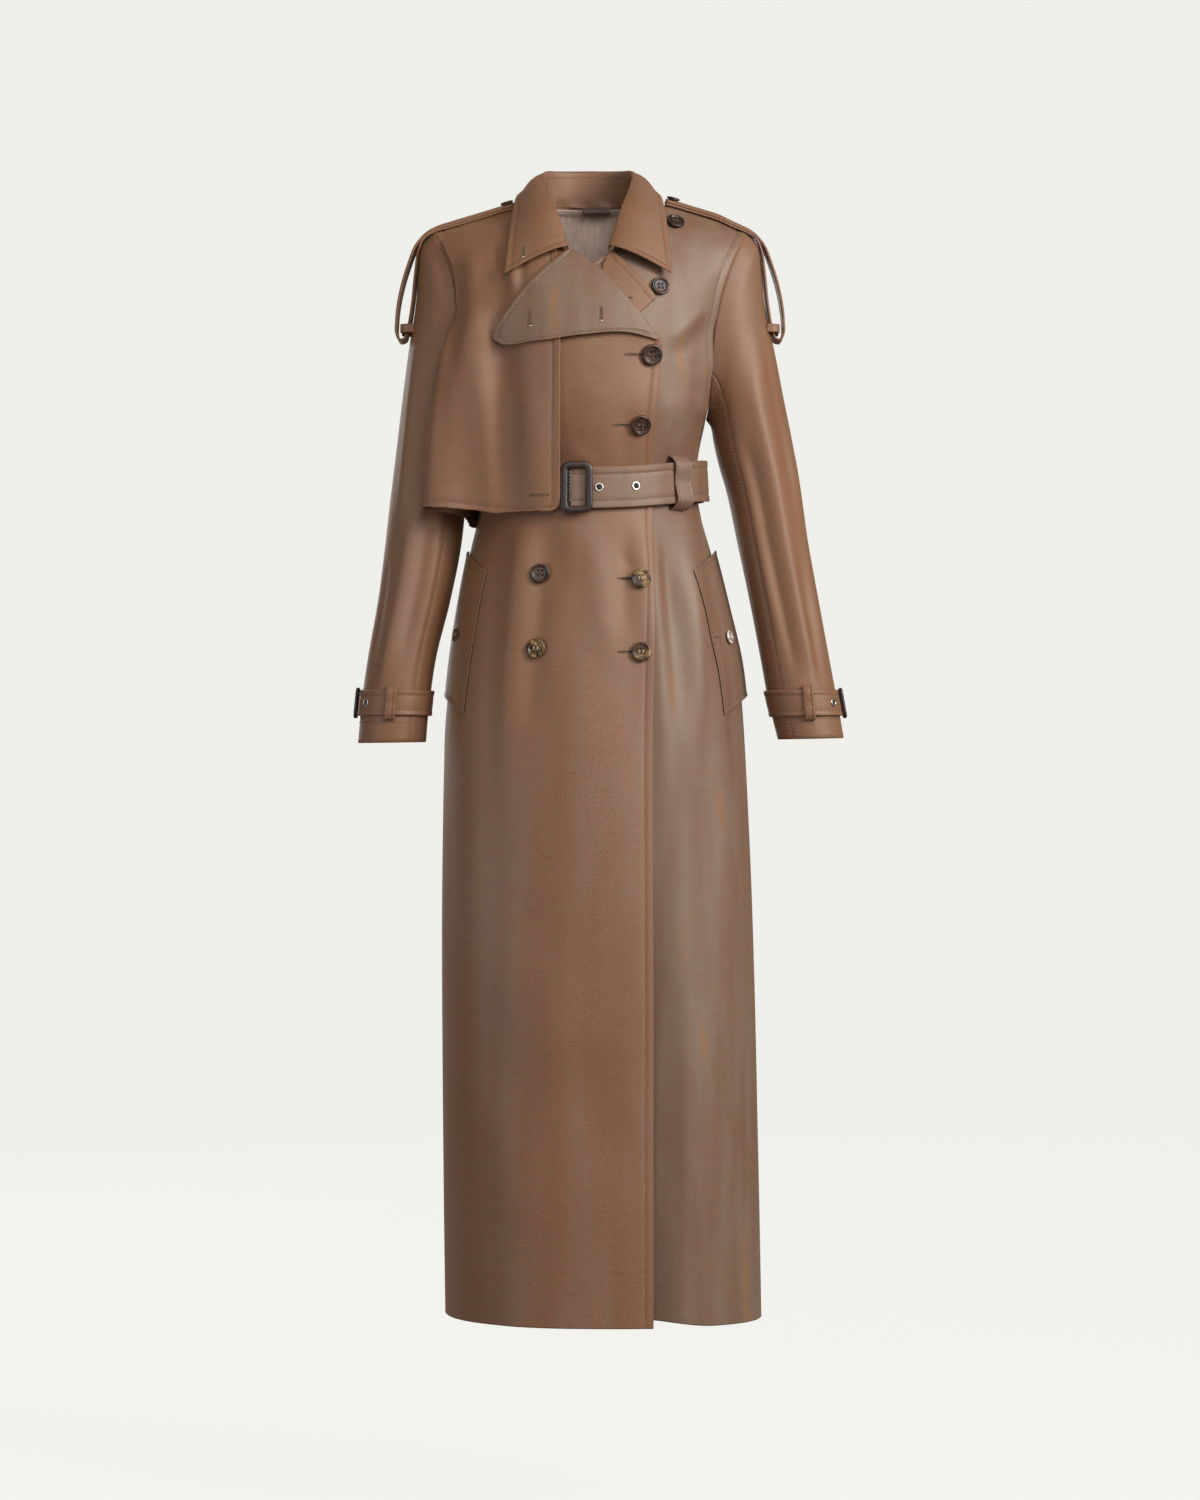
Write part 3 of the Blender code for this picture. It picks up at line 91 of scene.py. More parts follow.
class Held(Enum):
    """How a sheet of cloth is held."""

    DRAPED = "draped"
    HUNG = "hung"
    LAID = "laid"
    FOLDED = "folded"
    STRETCHED = "stretched"


class Slot(Enum):
    """Material slots of the record."""

    GABARDINE = "gabardine"
    LINING = "lining"
    HORN = "horn"
    LEATHER = "leather"
    METAL = "metal"


class Cut(NamedTuple):
    """Flat size of a cut piece in metres, and its area in square metres."""

    width: float
    length: float
    area: float


class Level(NamedTuple):
    """Half widths to the right and left, and depth front and back, at one height of the body."""

    z: float
    right: float
    left: float
    front: float
    back: float


class Fold(NamedTuple):
    """A long fold of the skirt: angle from the middle front at its top and foot, heights and size."""

    top_angle: float
    foot_angle: float
    top: float
    foot: float
    width: float
    depth: float


class Crease(NamedTuple):
    """A soft ridge (or trough, if its depth is below zero) between two points seen from the front."""

    x0: float
    z0: float
    x1: float
    z1: float
    width: float
    depth: float


class SleeveFold(NamedTuple):
    """A fold of a sleeve: turn round it at the fold's ends in degrees, shares of the length, and size."""

    turn0: float
    turn1: float
    share0: float
    share1: float
    width: float
    depth: float


class EdgeRow(NamedTuple):
    """Where a front's edge lies at a height."""

    height: float
    x: float


class Ring(NamedTuple):
    """A sleeve section: outer and inner edge seen from the front, then front and back of the tube."""

    outer_x: float
    outer_z: float
    inner_x: float
    inner_z: float
    front: float
    back: float


class FlapRow(NamedTuple):
    """A level of the half cape's front: inner edge, tip before the sleeve, and how far it wraps."""

    height: float
    inner_x: float
    tip_x: float
    tip_y: float
    wrap: float


class ShieldRow(NamedTuple):
    """A level of the half cape's back: its two ends and how far it wraps under the sleeve."""

    height: float
    left_x: float
    right_x: float
    wrap: float


class CollarRow(NamedTuple):
    """Seam, fold and outer edge of the collar at one place between its front end and the back."""

    seam_x: float
    seam_y: float
    seam_z: float
    fold_x: float
    fold_y: float
    fold_z: float
    edge_x: float
    edge_y: float
    edge_z: float


class LapelRow(NamedTuple):
    """Roll line and outer edge of a lapel, seen from the front."""

    roll_x: float
    roll_z: float
    edge_x: float
    edge_z: float


class Place(NamedTuple):
    """A point of a flat path: distance along and stand-off, or x and z."""

    a: float
    b: float


class ButtonSpot(NamedTuple):
    """A button seen from the front, with the cloth that carries it."""

    name: str
    x: float
    z: float
    diameter: float
    cloth: str


def table_of(kind: Callable, *rows: tuple) -> tuple:
    """Rows of one kind, from plain tuples."""
    return tuple(kind(*row) for row in rows)


BUTTON_SPOTS = table_of(
    ButtonSpot,
    ("front_button_1", 72, -179, 25, "right_front"), ("front_button_2", 59, -261, 24, "right_front"),
    ("front_button_3", 60, -441, 23, "right_front"), ("front_button_4", 60, -527, 23, "right_front"),
    ("front_button_5", -58, -435, 23, "right_front"), ("front_button_6", -62, -523, 23, "right_front"),
    ("front_button_7", 82, -97, 22, "left_front"), ("front_button_8", 101, -16, 22, "left_front"),
    ("right_pocket_button", -158, -505, 16, "right_pocket_welt"),
    ("left_pocket_button", 164, -508, 16, "left_pocket_welt"),
)
BUTTONHOLES = (
    ("front_buttonhole_1", "right_front", 54, -179, 26.0),
    ("front_buttonhole_2", "right_front", 40, -261, 26.0),
    ("front_buttonhole_3", "right_front", 46, -441, 26.0),
    ("front_buttonhole_4", "right_front", 46, -527, 26.0),
    ("flap_buttonhole", "storm_flap", -59, -343, 24.0),
    ("pocket_buttonhole", "left_pocket_welt", 152, -508, 16.0),
    ("lapel_buttonhole_1", "right_lapel", -69, -136, 20.0, True, True),
    ("lapel_buttonhole_2", "right_lapel", 14, -132, 18.0, True, True),
    ("collar_buttonhole", "collar", -77, -56, 15.0, True, True),
    ("under_lapel_buttonhole", "left_lapel", 44, -112, 13.0),
)
BODY_LEVELS = table_of(
    Level,
    (-1314, 174, 206, 146, 146), (-1160, 176, 203, 143, 144), (-870, 178, 196, 135, 139),
    (-635, 175, 186, 127, 134), (-550, 168, 179, 122, 130), (-462, 155, 160, 115, 117),
    (-404, 144, 145, 110, 104), (-361, 134, 133, 106, 92), (-318, 127, 127, 104, 86),
    (-285, 131, 131, 112, 92), (-245, 143, 143, 122, 104),
)
FOLDS = table_of(
    Fold,
    (-40, -44, -352, -760, 17, 6.0), (-27, -31, -352, -640, 13, -4.0), (-62, -62, -380, -1150, 30, 5.0),
    (30, 40, -352, -700, 16, 5.0), (45, 52, -352, -640, 14, -4.0), (66, 66, -420, -1200, 30, 5.0),
    (112, 112, -350, -900, 22, 6.0), (140, 138, -350, -1150, 24, -5.0), (160, 158, -350, -1000, 22, 6.0),
    (-115, -114, -350, -950, 22, 6.0), (-142, -140, -350, -1200, 24, -5.0),
    (-163, -160, -350, -900, 22, 5.0),
)
FRONT_CREASES = table_of(
    Crease,
    (2, -372, 22, -560, 16, 3.1), (-40, -372, -34, -470, 12, -2.3), (45, -380, 40, -520, 10, -2.1),
    (34, -412, 57, -434, 5, -1.3), (-75, -500, -62, -640, 20, -2.1), (-100, -860, -10, -1060, 45, 3.9),
    (-20, -960, 40, -1180, 40, -3.2), (-130, -1000, -60, -1250, 35, 2.6), (92, -385, 106, -640, 9, -3.4),
    (117, -380, 130, -650, 10, 3.9), (138, -385, 150, -560, 9, -3.1), (150, -700, 160, -1100, 26, 3.2),
    (104, -860, 106, -1290, 18, -3.2), (86, -168, 150, -106, 9, 2.9), (92, -186, 160, -128, 10, -2.3),
    (118, -218, 158, -160, 11, 2.6), (140, -60, 128, -130, 12, 2.3), (90, -300, 104, -212, 11, 2.6),
    (108, -308, 134, -232, 9, -2.3), (10, -200, -8, -298, 16, 1.6), (35, -304, 46, -236, 9, -1.6),
    (-22, -288, 6, -308, 7, 1.3),
)
BACK_CREASES = table_of(
    Crease,
    (-60, -362, -70, -560, 12, -3.6), (-20, -358, -15, -500, 10, 2.9), (35, -362, 45, -600, 14, -3.8),
    (80, -366, 95, -640, 13, 3.6), (-100, -370, -115, -700, 16, 3.6), (-40, -700, 20, -900, 30, 3.0),
    (60, -800, -10, -1100, 36, -3.0), (90, -900, 110, -1250, 25, 3.0), (-90, -950, -100, -1280, 25, 3.0),
)
FRONT_EDGE = table_of(
    EdgeRow,
    (-1314, 72), (-300, 73), (-255, 75), (-215, 79), (-168, 82), (-137, 59), (-97, 30), (-76, 8),
    (-52, -27), (-12, -49), (16, -62),
)
SHOULDER_RINGS = table_of(
    Ring,
    (186, -21.5, 143, -245, -50, 67), (201, -36, 144.5, -248, -50, 68), (206, -64, 145, -250, -49, 68),
    (210, -109, 146, -253, -48, 68),
)
RIGHT_RINGS = SHOULDER_RINGS + table_of(
    Ring,
    (218, -160, 147, -258, -47, 68), (225, -215, 148, -270, -46, 68), (232, -275, 149, -300, -46, 67),
    (238, -325, 149.5, -340, -46, 65), (246, -395, 155, -398, -47, 60), (254.5, -462, 168, -463, -48, 52),
    (266.5, -534, 185, -535, -50, 44), (272.5, -577, 191, -578, -51, 40), (278, -633, 196.5, -632, -50, 38),
)
LEFT_RINGS = SHOULDER_RINGS + table_of(
    Ring,
    (221, -160, 146.5, -257, -47, 68), (231.5, -213, 149, -272, -46, 68), (243, -268, 155, -298, -46, 67),
    (252, -320, 163.5, -328, -46, 65), (262, -392, 177, -395, -47, 60), (274, -462, 191, -464, -48, 52),
    (287, -534, 205, -536, -50, 44), (295, -577, 213, -578, -51, 40), (304, -627, 225, -629, -50, 38),
)
ARMHOLE_FADE = (1.0, 0.75, 0.45, 0.2)
RIGHT_SLEEVE_FOLDS = table_of(
    SleeveFold,
    (72, 66, 0.45, 0.92, 9, 3.5), (98, 92, 0.40, 0.86, 8, -3.8), (122, 118, 0.52, 0.90, 9, 2.7),
    (45, 52, 0.12, 0.56, 10, 3.2), (66, 78, 0.16, 0.50, 8, -3.2), (30, 38, 0.55, 0.90, 9, -2.4),
    (105, 70, 0.50, 0.60, 7, 2.2), (-40, -35, 0.30, 0.85, 12, 3.8), (-75, -70, 0.20, 0.70, 11, -3.5),
    (-100, -95, 0.45, 0.92, 12, 3.2),
)
LEFT_SLEEVE_FOLDS = table_of(
    SleeveFold,
    (78, 66, 0.16, 0.92, 10, 4.1), (104, 96, 0.28, 0.90, 8, -4.1), (124, 118, 0.36, 0.82, 9, 3.0),
    (40, 46, 0.10, 0.52, 9, -3.0), (24, 34, 0.30, 0.88, 9, 2.7), (52, 54, 0.58, 0.93, 8, -2.7),
    (110, 74, 0.50, 0.61, 7, 2.2), (-42, -36, 0.26, 0.80, 12, -3.5), (-78, -70, 0.22, 0.75, 11, 3.8),
    (-104, -98, 0.40, 0.92, 12, -3.2),
)
FLAP = table_of(
    FlapRow,
    (-362, -35, -197, -65, 1.0), (-328, -35, -194, -66, 1.0), (-298, -35, -192, -67, 0.8),
    (-268, -35, -189, -68, 0.36), (-235, -35, -186, -69, 0.13), (-200, -35, -182, -69, 0.08),
    (-168, -35, -178, -68, 0.06), (-137, -35, -171, -66, 0.04), (-97, -36, -160, -60, 0.0),
    (-52, -40, -162, -54, 0.0), (-18, -58, -173, -41, 0.0), (16, -70, -183, 8, 0.0),
)
FLAP_CREASES = table_of(
    Crease,
    (-142, -40, -134, -175, 15, 5.5), (-139, -110, -98, -500, 21, 9.5), (-158, -80, -166, -215, 10, -3.6),
    (-106, -60, -98, -230, 13, -3.8), (-96, -40, -88, -118, 7, 2.6), (-112, -36, -106, -92, 6, -2.2),
    (-80, -52, -80, -108, 6, -2.0), (-70, -190, -44, -520, 17, 3.6), (-186, -200, -184, -460, 11, 4.0),
)
SHIELD = table_of(
    ShieldRow,
    (-373, 104, -112, 1.0), (-330, 105, -112, 1.0), (-298, 107, -114, 0.8), (-268, 110, -118, 0.25),
    (-235, 118, -122, 0.0), (-190, 128, -130, 0.0), (-137, 138, -140, 0.0), (-90, 147, -148, 0.0),
    (-45, 160, -160, 0.0), (-12, 173, -173, 0.0), (14.5, 182, -182, 0.0),
)
SHIELD_CREASES = table_of(
    Crease,
    (-60, -110, -72, -370, 22, 3.2), (-20, -150, -24, -372, 18, -2.6), (30, -120, 36, -372, 22, 3.0),
    (70, -180, 76, -372, 16, -2.6), (-100, -150, -104, -330, 14, -2.2), (-120, -60, -70, -90, 12, 1.6),
    (120, -60, 76, -92, 12, 1.6),
)
NECK_CREASES = table_of(
    Crease,
    (-38, 26, -27, 4, 5, -1.8), (-20, 22, -12, 0, 5, 1.4), (-6, 28, -2, 2, 4, -1.5),
    (10, 26, 12, 4, 5, 1.2), (23, 30, 33, 4, 6, -2.0), (44, 24, 40, 2, 4, 1.2),
)
COLLAR = table_of(
    CollarRow,
    (25, -91, -53, 25.5, -93, -50, 98, -94, -82), (43, -67, -20, 39, -66, -3, 95, -79, -50),
    (55, -32, 9, 48, -28, 24, 90, -44, -6), (60.5, 4, 17.2, 54, 8, 47, 84.5, 4, 22),
    (54, 34, 16.6, 49, 34, 55, 77, 46, 25), (33, 54, 16.6, 30, 51, 57, 46, 80, 16),
    (0, 61.6, 16.6, 0, 58, 58, 0, 91, 12),
)
RIGHT_LAPEL = table_of(
    LapelRow,
    (-20, -58, -29, -61), (-10, -64, -62, -90), (8, -77, -93, -129), (22, -90, -106, -149),
    (34, -103, -109, -157), (42, -113, -102, -163), (51, -124, -58, -164), (60, -136, -6, -158),
    (68, -147, 44, -155), (77, -160, 75, -162),
)
LEFT_LAPEL = table_of(
    LapelRow,
    (23, -56, 29, -57), (15, -78, 46, -74), (25, -104, 63, -92), (48, -138, 77, -111),
)
EPAULETTE = table_of(
    Place,
    (90.5, 12.7), (125, 2.4), (168, -10.6), (185, -15.9), (197.5, -24.4), (204.8, -41), (209, -68),
    (213.4, -110), (219.4, -141), (222.3, -149), (227.8, -150.5), (231.5, -144), (232, -128), (230, -108),
    (225, -84), (217, -58), (207, -34), (195, -19), (183, -12.4), (168, -7.6), (125, 5.4), (91.5, 15.7),
)
BELT_LOOP = table_of(
    Place,
    (32.0, 1.6), (30.5, 7.9), (27.0, 13.2), (0.0, 14.4), (-27.0, 13.2), (-30.5, 7.9), (-32.0, 1.6),
)
CUFF_LOOP = table_of(
    Place,
    (20.0, 1.6), (19.0, 3.6), (16.5, 5.2), (0.0, 5.8), (-16.5, 5.2), (-19.0, 3.6), (-20.0, 1.6),
)
KEEPER = table_of(
    Place,
    (222.0, -26.5), (224.0, -25.0), (224.0, 0.0), (224.0, 25.0), (222.0, 26.5),
)


def smooth(low: float, high: float, value: Array) -> Array:
    """Ease from 0 at low to 1 at high, which may be below low."""
    part = np.clip((np.asarray(value, float) - low) / (high - low), 0.0, 1.0)
    return part * part * (3.0 - 2.0 * part)


def through(knots: Sequence[float], values: Sequence[float]) -> Curve:
    """A smooth curve through knots in rising order that does not overshoot.

    Args:
        knots: Places in rising order.
        values: Value at each place.

    Returns:
        A function from place to value.
    """
    spots = np.asarray(knots, float)
    heights = np.asarray(values, float)
    step = np.diff(spots)
    slope = np.diff(heights) / step
    tangent = np.concatenate(([slope[0]], np.zeros(len(spots) - 2), [slope[-1]]))
    for i in range(1, len(spots) - 1):
        if slope[i - 1] * slope[i] > 0:
            tangent[i] = 2.0 * slope[i - 1] * slope[i] / (slope[i - 1] + slope[i])

    def at(position: Array) -> Array:
        """The curve's value at a place.

        Args:
            position: Places to read the curve at.

        Returns:
            Its values there.
        """
        position = np.asarray(position, float)
        i = np.clip(np.searchsorted(spots, position) - 1, 0, len(spots) - 2)
        t = np.clip((position - spots[i]) / step[i], 0.0, 1.0)
        rise = t * t * (3.0 - 2.0 * t)
        lean = t * (1.0 - t) ** 2 * tangent[i] - t * t * (1.0 - t) * tangent[i + 1]
        return heights[i] * (1.0 - rise) + heights[i + 1] * rise + step[i] * lean

    return at


def columns_of(table: Sequence[NamedTuple], key: str) -> dict[str, Curve]:
    """Curves through every other column of a table.

    Args:
        table: Rows of one kind.
        key: Name of the column that the curves run along.

    Returns:
        A curve for each other column, by its name.
    """
    rows = sorted(table, key=lambda row: getattr(row, key))
    knots = [getattr(row, key) for row in rows]
    names = [name for name in table[0]._fields if name != key]
    return {name: through(knots, [getattr(row, name) for row in rows]) for name in names}


def hermite(points: Array, knots: Array, wanted: Array) -> Array:
    """Points of a smooth curve through rows of points.

    Args:
        points: Rows of points, any shape behind the first axis.
        knots: Place of each row, rising.
        wanted: Places to read.

    Returns:
        The rows at the wanted places.
    """
    tangent = np.gradient(points, knots, axis=0)
    i = np.clip(np.searchsorted(knots, wanted) - 1, 0, len(knots) - 2)
    shape = (-1,) + (1,) * (points.ndim - 1)
    step = (knots[i + 1] - knots[i]).reshape(shape)
    t = (wanted - knots[i]).reshape(shape) / step
    rise = t * t * (3.0 - 2.0 * t)
    lean = t * (1.0 - t) ** 2 * tangent[i] - t * t * (1.0 - t) * tangent[i + 1]
    return points[i] * (1.0 - rise) + points[i + 1] * rise + step * lean


def circle(count: int) -> Array:
    """Even turns once round."""
    return np.linspace(0.0, 2.0 * math.pi, count, endpoint=False)


def unit(vectors: Array) -> Array:
    """The vectors at length 1."""
    return vectors / np.maximum(np.linalg.norm(vectors, axis=-1, keepdims=True), TINY)


def run_of(line: Array) -> Array:
    """Distances along a line of points, from its start."""
    return np.concatenate(([0.0], np.cumsum(np.linalg.norm(np.diff(line, axis=0), axis=1))))


def read_at(wanted: Array, run: Array, line: Array) -> Array:
    """Points of a line at the distances wanted, from the distances of its own points."""
    return np.stack([np.interp(wanted, run, line[:, k]) for k in range(line.shape[1])], axis=1)


def spline(points: Sequence, count: int, end: float = 1.0) -> Array:
    """Evenly spaced points on a smooth curve through the points given.

    Args:
        points: Points to pass through.
        count: How many points to give.
        end: Share of the curve to cover.

    Returns:
        The points.
    """
    line = np.asarray(points, float)
    knots = run_of(line)
    curve = hermite(line, knots, np.linspace(0.0, knots[-1], 6 * count))
    run = run_of(curve)
    wanted = np.linspace(0.0, run[-1] * end, count)
    return read_at(wanted, run, curve)


def spread(length: float, count: int, near: Sequence[float], far: Sequence[float]) -> Array:
    """Distances along a length: set ones near both ends, even ones between.

    Args:
        length: Whole length.
        count: Number of even steps.
        near: Distances from the start, rising.
        far: Distances from the end, rising.

    Returns:
        The distances, from 0 to the length.
    """
    most = max([*near, *far, TINY])
    fit = min(1.0, 0.42 * length / most)
    start = [0.0] + [d * fit for d in near]
    end = [length] + [length - d * fit for d in far]
    even = np.linspace(start[-1], end[-1], count + 1)
    return np.concatenate([start[:-1], even, end[-2::-1]])


def beside(seam: float, *steps: float) -> tuple[float, ...]:
    """Distances before a seam, at it and past it, rising, from steps that shrink."""
    return (*(seam - step for step in steps), seam, *(seam + step for step in reversed(steps)))


def respaced(grid: Array, near: Sequence[float] = (1.4,), far: Sequence[float] = (1.4,),
             spacing: float = SPACING) -> Array:
    """Space the points along every row of a dense grid anew.

    Args:
        grid: Dense grid of points.
        near: Distances from the start of a row that get a point.
        far: Distances from the end of a row that get a point.
        spacing: Distance between the points in between.

    Returns:
        The grid with new columns.
    """
    run, _ = run_across(grid)
    count = max(3, int(round(float(run[:, -1].max()) / spacing)))
    rows = []
    for row, places in zip(grid, run):
        wanted = spread(places[-1], count, near, far)
        rows.append(read_at(wanted, places, row))
    return np.array(rows)


def turned(grid: Array) -> Array:
    """The grid with rows and columns exchanged."""
    return np.swapaxes(grid, 0, 1)


def fine_rows(grid: Array, spacing: float = SPACING) -> Array:
    """More rows on the smooth surface through the rows of a grid.

    Args:
        grid: Grid of points.
        spacing: Distance between the new rows, at most.

    Returns:
        The finer grid.
    """
    chord = np.linalg.norm(np.diff(grid, axis=0), axis=2).mean(axis=1)
    knots = np.concatenate(([0.0], np.cumsum(chord)))
    return hermite(grid, knots, np.linspace(0.0, knots[-1], int(knots[-1] / spacing) + 2))


def normals(grid: Array, ring: bool = False) -> Array:
    """Unit normals of a grid, pointing away from the body's axis.

    Args:
        grid: Grid of points.
        ring: Whether the last column joins the first.

    Returns:
        A normal for each point.
    """
    across = np.gradient(grid, axis=1)
    if ring:
        across = (np.roll(grid, -1, axis=1) - np.roll(grid, 1, axis=1)) / 2.0
    normal = np.cross(across, np.gradient(grid, axis=0))
    normal = unit(normal)
    outward = grid - np.array([0.0, 10.0, 0.0])
    outward[..., 2] = 0.0
    return normal if np.sum(normal * outward) > 0 else -normal


def lifted(grid: Array, by: Array | float, ring: bool = False) -> Array:
    """The grid moved out along its normals, by one distance or by one for each point."""
    distance = np.asarray(by, float)
    return grid + normals(grid, ring) * (distance[..., None] if distance.ndim else distance)


def run_across(grid: Array) -> tuple[Array, Array]:
    """Distances along the rows of a grid, from the first column and from the last one.

    Args:
        grid: Grid of points.

    Returns:
        Both distances of each point.
    """
    steps = np.linalg.norm(np.diff(grid, axis=1), axis=2)
    run = np.concatenate([np.zeros((len(grid), 1)), np.cumsum(steps, axis=1)], axis=1)
    return run, run[:, -1:] - run


def groove(distance: Array, at: float, width: float = 1.8, depth: float = 0.75, lip: float = 0.45) -> Array:
    """Dent that a row of sewing pulls into the cloth, with the turned edge standing up beside it."""
    return lip * smooth(at, at - width, distance) - depth * np.exp(-(((distance - at) / width) ** 2))


def crease_depth(table: Sequence[Crease], x: Array, z: Array) -> Array:
    """How far creases stand out at points seen from the front.

    Args:
        table: The creases.
        x: Places across.
        z: Heights.

    Returns:
        The stand-off at each point.
    """
    depth = np.zeros(np.broadcast(x, z).shape)
    for c in table:
        dx, dz = c.x1 - c.x0, c.z1 - c.z0
        along = np.clip(((x - c.x0) * dx + (z - c.z0) * dz) / (dx * dx + dz * dz), 0.0, 1.0)
        off = np.hypot(x - c.x0 - along * dx, z - c.z0 - along * dz)
        taper = smooth(0.0, 0.3, along) * smooth(1.0, 0.6, along)
        depth = depth + c.depth * np.exp(-((off / c.width) ** 2)) * taper
    return depth


def slack(grid: Array, size: float) -> Array:
    """A gentle unevenness of hanging cloth over a grid of points, up to about the size given.

    Args:
        grid: Grid of points.
        size: About how far it stands out at most.

    Returns:
        The stand-off of each point.
    """
    x, y, z = grid[..., 0], grid[..., 1], grid[..., 2]
    wave = np.sin(x / 23.0 + 0.7 * np.sin(z / 71.0)) * np.sin(z / 57.0 + y / 31.0)
    return size * (0.6 * wave + 0.4 * np.sin(x / 47.0 - z / 83.0 + y / 39.0 + 1.3))


LEVEL_AT = columns_of(BODY_LEVELS, "z")
EDGE_AT = columns_of(FRONT_EDGE, "height")["x"]


@dataclass(frozen=True)
class Figure:
    """The worn form of the coat's body, from its width and depth at each height."""

    hem: float = -1314.0
    hem_row: float = -1170.0
    armpit: float = -245.0
    neck_z: float = 16.0
    neck_x: float = 62.0
    neck_back: float = 54.0
    tip_x: float = 186.0
    tip_z: float = -21.5
    rise_left: float = 5.0
    ridge_y: float = 8.0
    side_y: float = 10.0
    armhole_front: float = 60.0
    armhole_back: float = 58.0
    cross_front: float = 14.0
    cross_back: float = 8.0
    chest_turn: float = 1.05
    turn_by: float = 0.35
    drop_right: float = 3.0
    drop_left: float = 6.0
    ease: float = 18.0
    swell_foot: float = -312.0
    swell_share: float = 0.42
    swell_hold: float = 6.0
    fold_start: float = 70.0
    fold_fade: float = 0.6
    front_curve: Pair = (2.6, 1.7)
    back_curve: Pair = (3.0, 1.65)
    drop_reach: float = 190.0
    rise_from: float = 100.0
    rise_to: float = 148.0
    row_count: int = 240

    def rows(self) -> Array:
        """Heights of a body panel's rows, from the hem to the shoulder line."""
        return (spread(self.neck_z - self.hem, self.row_count, (1.4, 4.0), (1.4,)) + self.hem)[:, None]

    def left_rise(self, x: Array) -> Array:
        """How much higher the left shoulder lies than the right one."""
        return self.rise_left * smooth(self.neck_x, self.rise_from, x) * smooth(self.tip_x, self.rise_to, x)

    def shoulder_z(self, x: Array) -> Array:
        """Height of the shoulder line at a distance from the middle."""
        slope = (self.tip_z - self.neck_z) / (self.tip_x - self.neck_x)
        return self.neck_z + slope * np.maximum(np.abs(x) - self.neck_x, 0.0) + self.left_rise(x)

    def share(self, height: Array) -> Array:
        """How far a height lies between the armpit and the shoulder line."""
        return np.clip((np.asarray(height, float) - self.armpit) / (self.neck_z - self.armpit), 0.0, 1.0)

    def below(self, height: Array) -> Array:
        """Heights held below the armpit, easing softly into it."""
        over = (self.armpit - np.asarray(height, float)) / self.ease
        return self.armpit - self.ease * np.logaddexp(0.0, over)

    def panel_end(self, face: Face, side: Array, height: Array) -> tuple[Array, Array]:
        """Where a row of the body ends: the side seam, or the armhole above the armpit.

        Args:
            face: Front or back.
            side: Below zero on the right, above it on the left.
            height: Nominal heights.

        Returns:
            Distance from the middle, and depth.
        """
        v = self.share(height)
        low = self.below(height)
        width = np.where(np.asarray(side) < 0, LEVEL_AT["right"](low), LEVEL_AT["left"](low))
        cross = self.cross_front if face is Face.FRONT else self.cross_back
        x = width + (self.tip_x - width) * v - cross * np.sin(np.pi * v)
        y = self.side_y + (self.ridge_y - self.side_y) * v + face.value * self.armhole(face) * self.hollow(v)
        return x, y

    def armhole(self, face: Face) -> float:
        """Half the depth of an armhole, to the front or the back."""
        return self.armhole_front if face is Face.FRONT else self.armhole_back

    @staticmethod
    def hollow(v: Array) -> Array:
        """How far an armhole opens at a share of its height: round at the armpit and the shoulder."""
        return (4.0 * v * (1.0 - v)) ** 0.4

    def soft_hollow(self, height: Array) -> Array:
        """The same away from the armhole, where the chest swells softly from below the armpit.

        Args:
            height: Nominal heights.

        Returns:
            The shares that it opens.
        """
        full = self.armpit + self.swell_share * (self.neck_z - self.armpit)
        low = smooth(self.swell_foot, full, height) * self.hollow(self.swell_share)
        return np.where(np.asarray(height) < full, low, self.hollow(self.share(height)))

    def middle_y(self, face: Face, height: Array) -> Array:
        """Depth of the body on its middle line.

        Args:
            face: Front or back.
            height: Nominal heights.

        Returns:
            Depths.
        """
        v = self.share(height)
        low = self.below(height)
        if face is Face.FRONT:
            deep = LEVEL_AT["front"](low) + self.ridge_y
            high, full = self.front_curve
            return self.ridge_y - deep * (1.0 - v ** high) ** (1.0 / full)
        high, full = self.back_curve
        return self.ridge_y + (LEVEL_AT["back"](low) - self.ridge_y) * (1.0 - v ** high) ** (1.0 / full)

    def turn_of(self, height: Array) -> Array:
        """How far round a row turns between the middle and its end."""
        quarter = math.pi / 2
        return quarter + (self.chest_turn - quarter) * smooth(0.0, self.turn_by, self.share(height))

    def fold_depth(self, x: Array, y: Array, z: Array) -> Array:
        """How far the long folds of the skirt stand out at points.

        Args:
            x: Places across.
            y: Depths.
            z: Heights.

        Returns:
            The stand-off at each point.
        """
        angle = np.degrees(np.arctan2(x, -y))
        reach = np.hypot(x, y)
        depth = np.zeros(np.shape(z))
        for fold in FOLDS:
            along = np.clip((fold.top - z) / (fold.top - fold.foot), 0.0, 1.0)
            middle = fold.top_angle + (fold.foot_angle - fold.top_angle) * along
            off = np.radians((angle - middle + 180.0) % 360.0 - 180.0) * reach
            start = smooth(fold.top, fold.top - self.fold_start, z)
            fade = smooth(fold.foot, fold.foot + self.fold_fade * (fold.top - fold.foot), z)
            depth = depth + fold.depth * np.exp(-((off / fold.width) ** 2)) * start * fade
        return depth

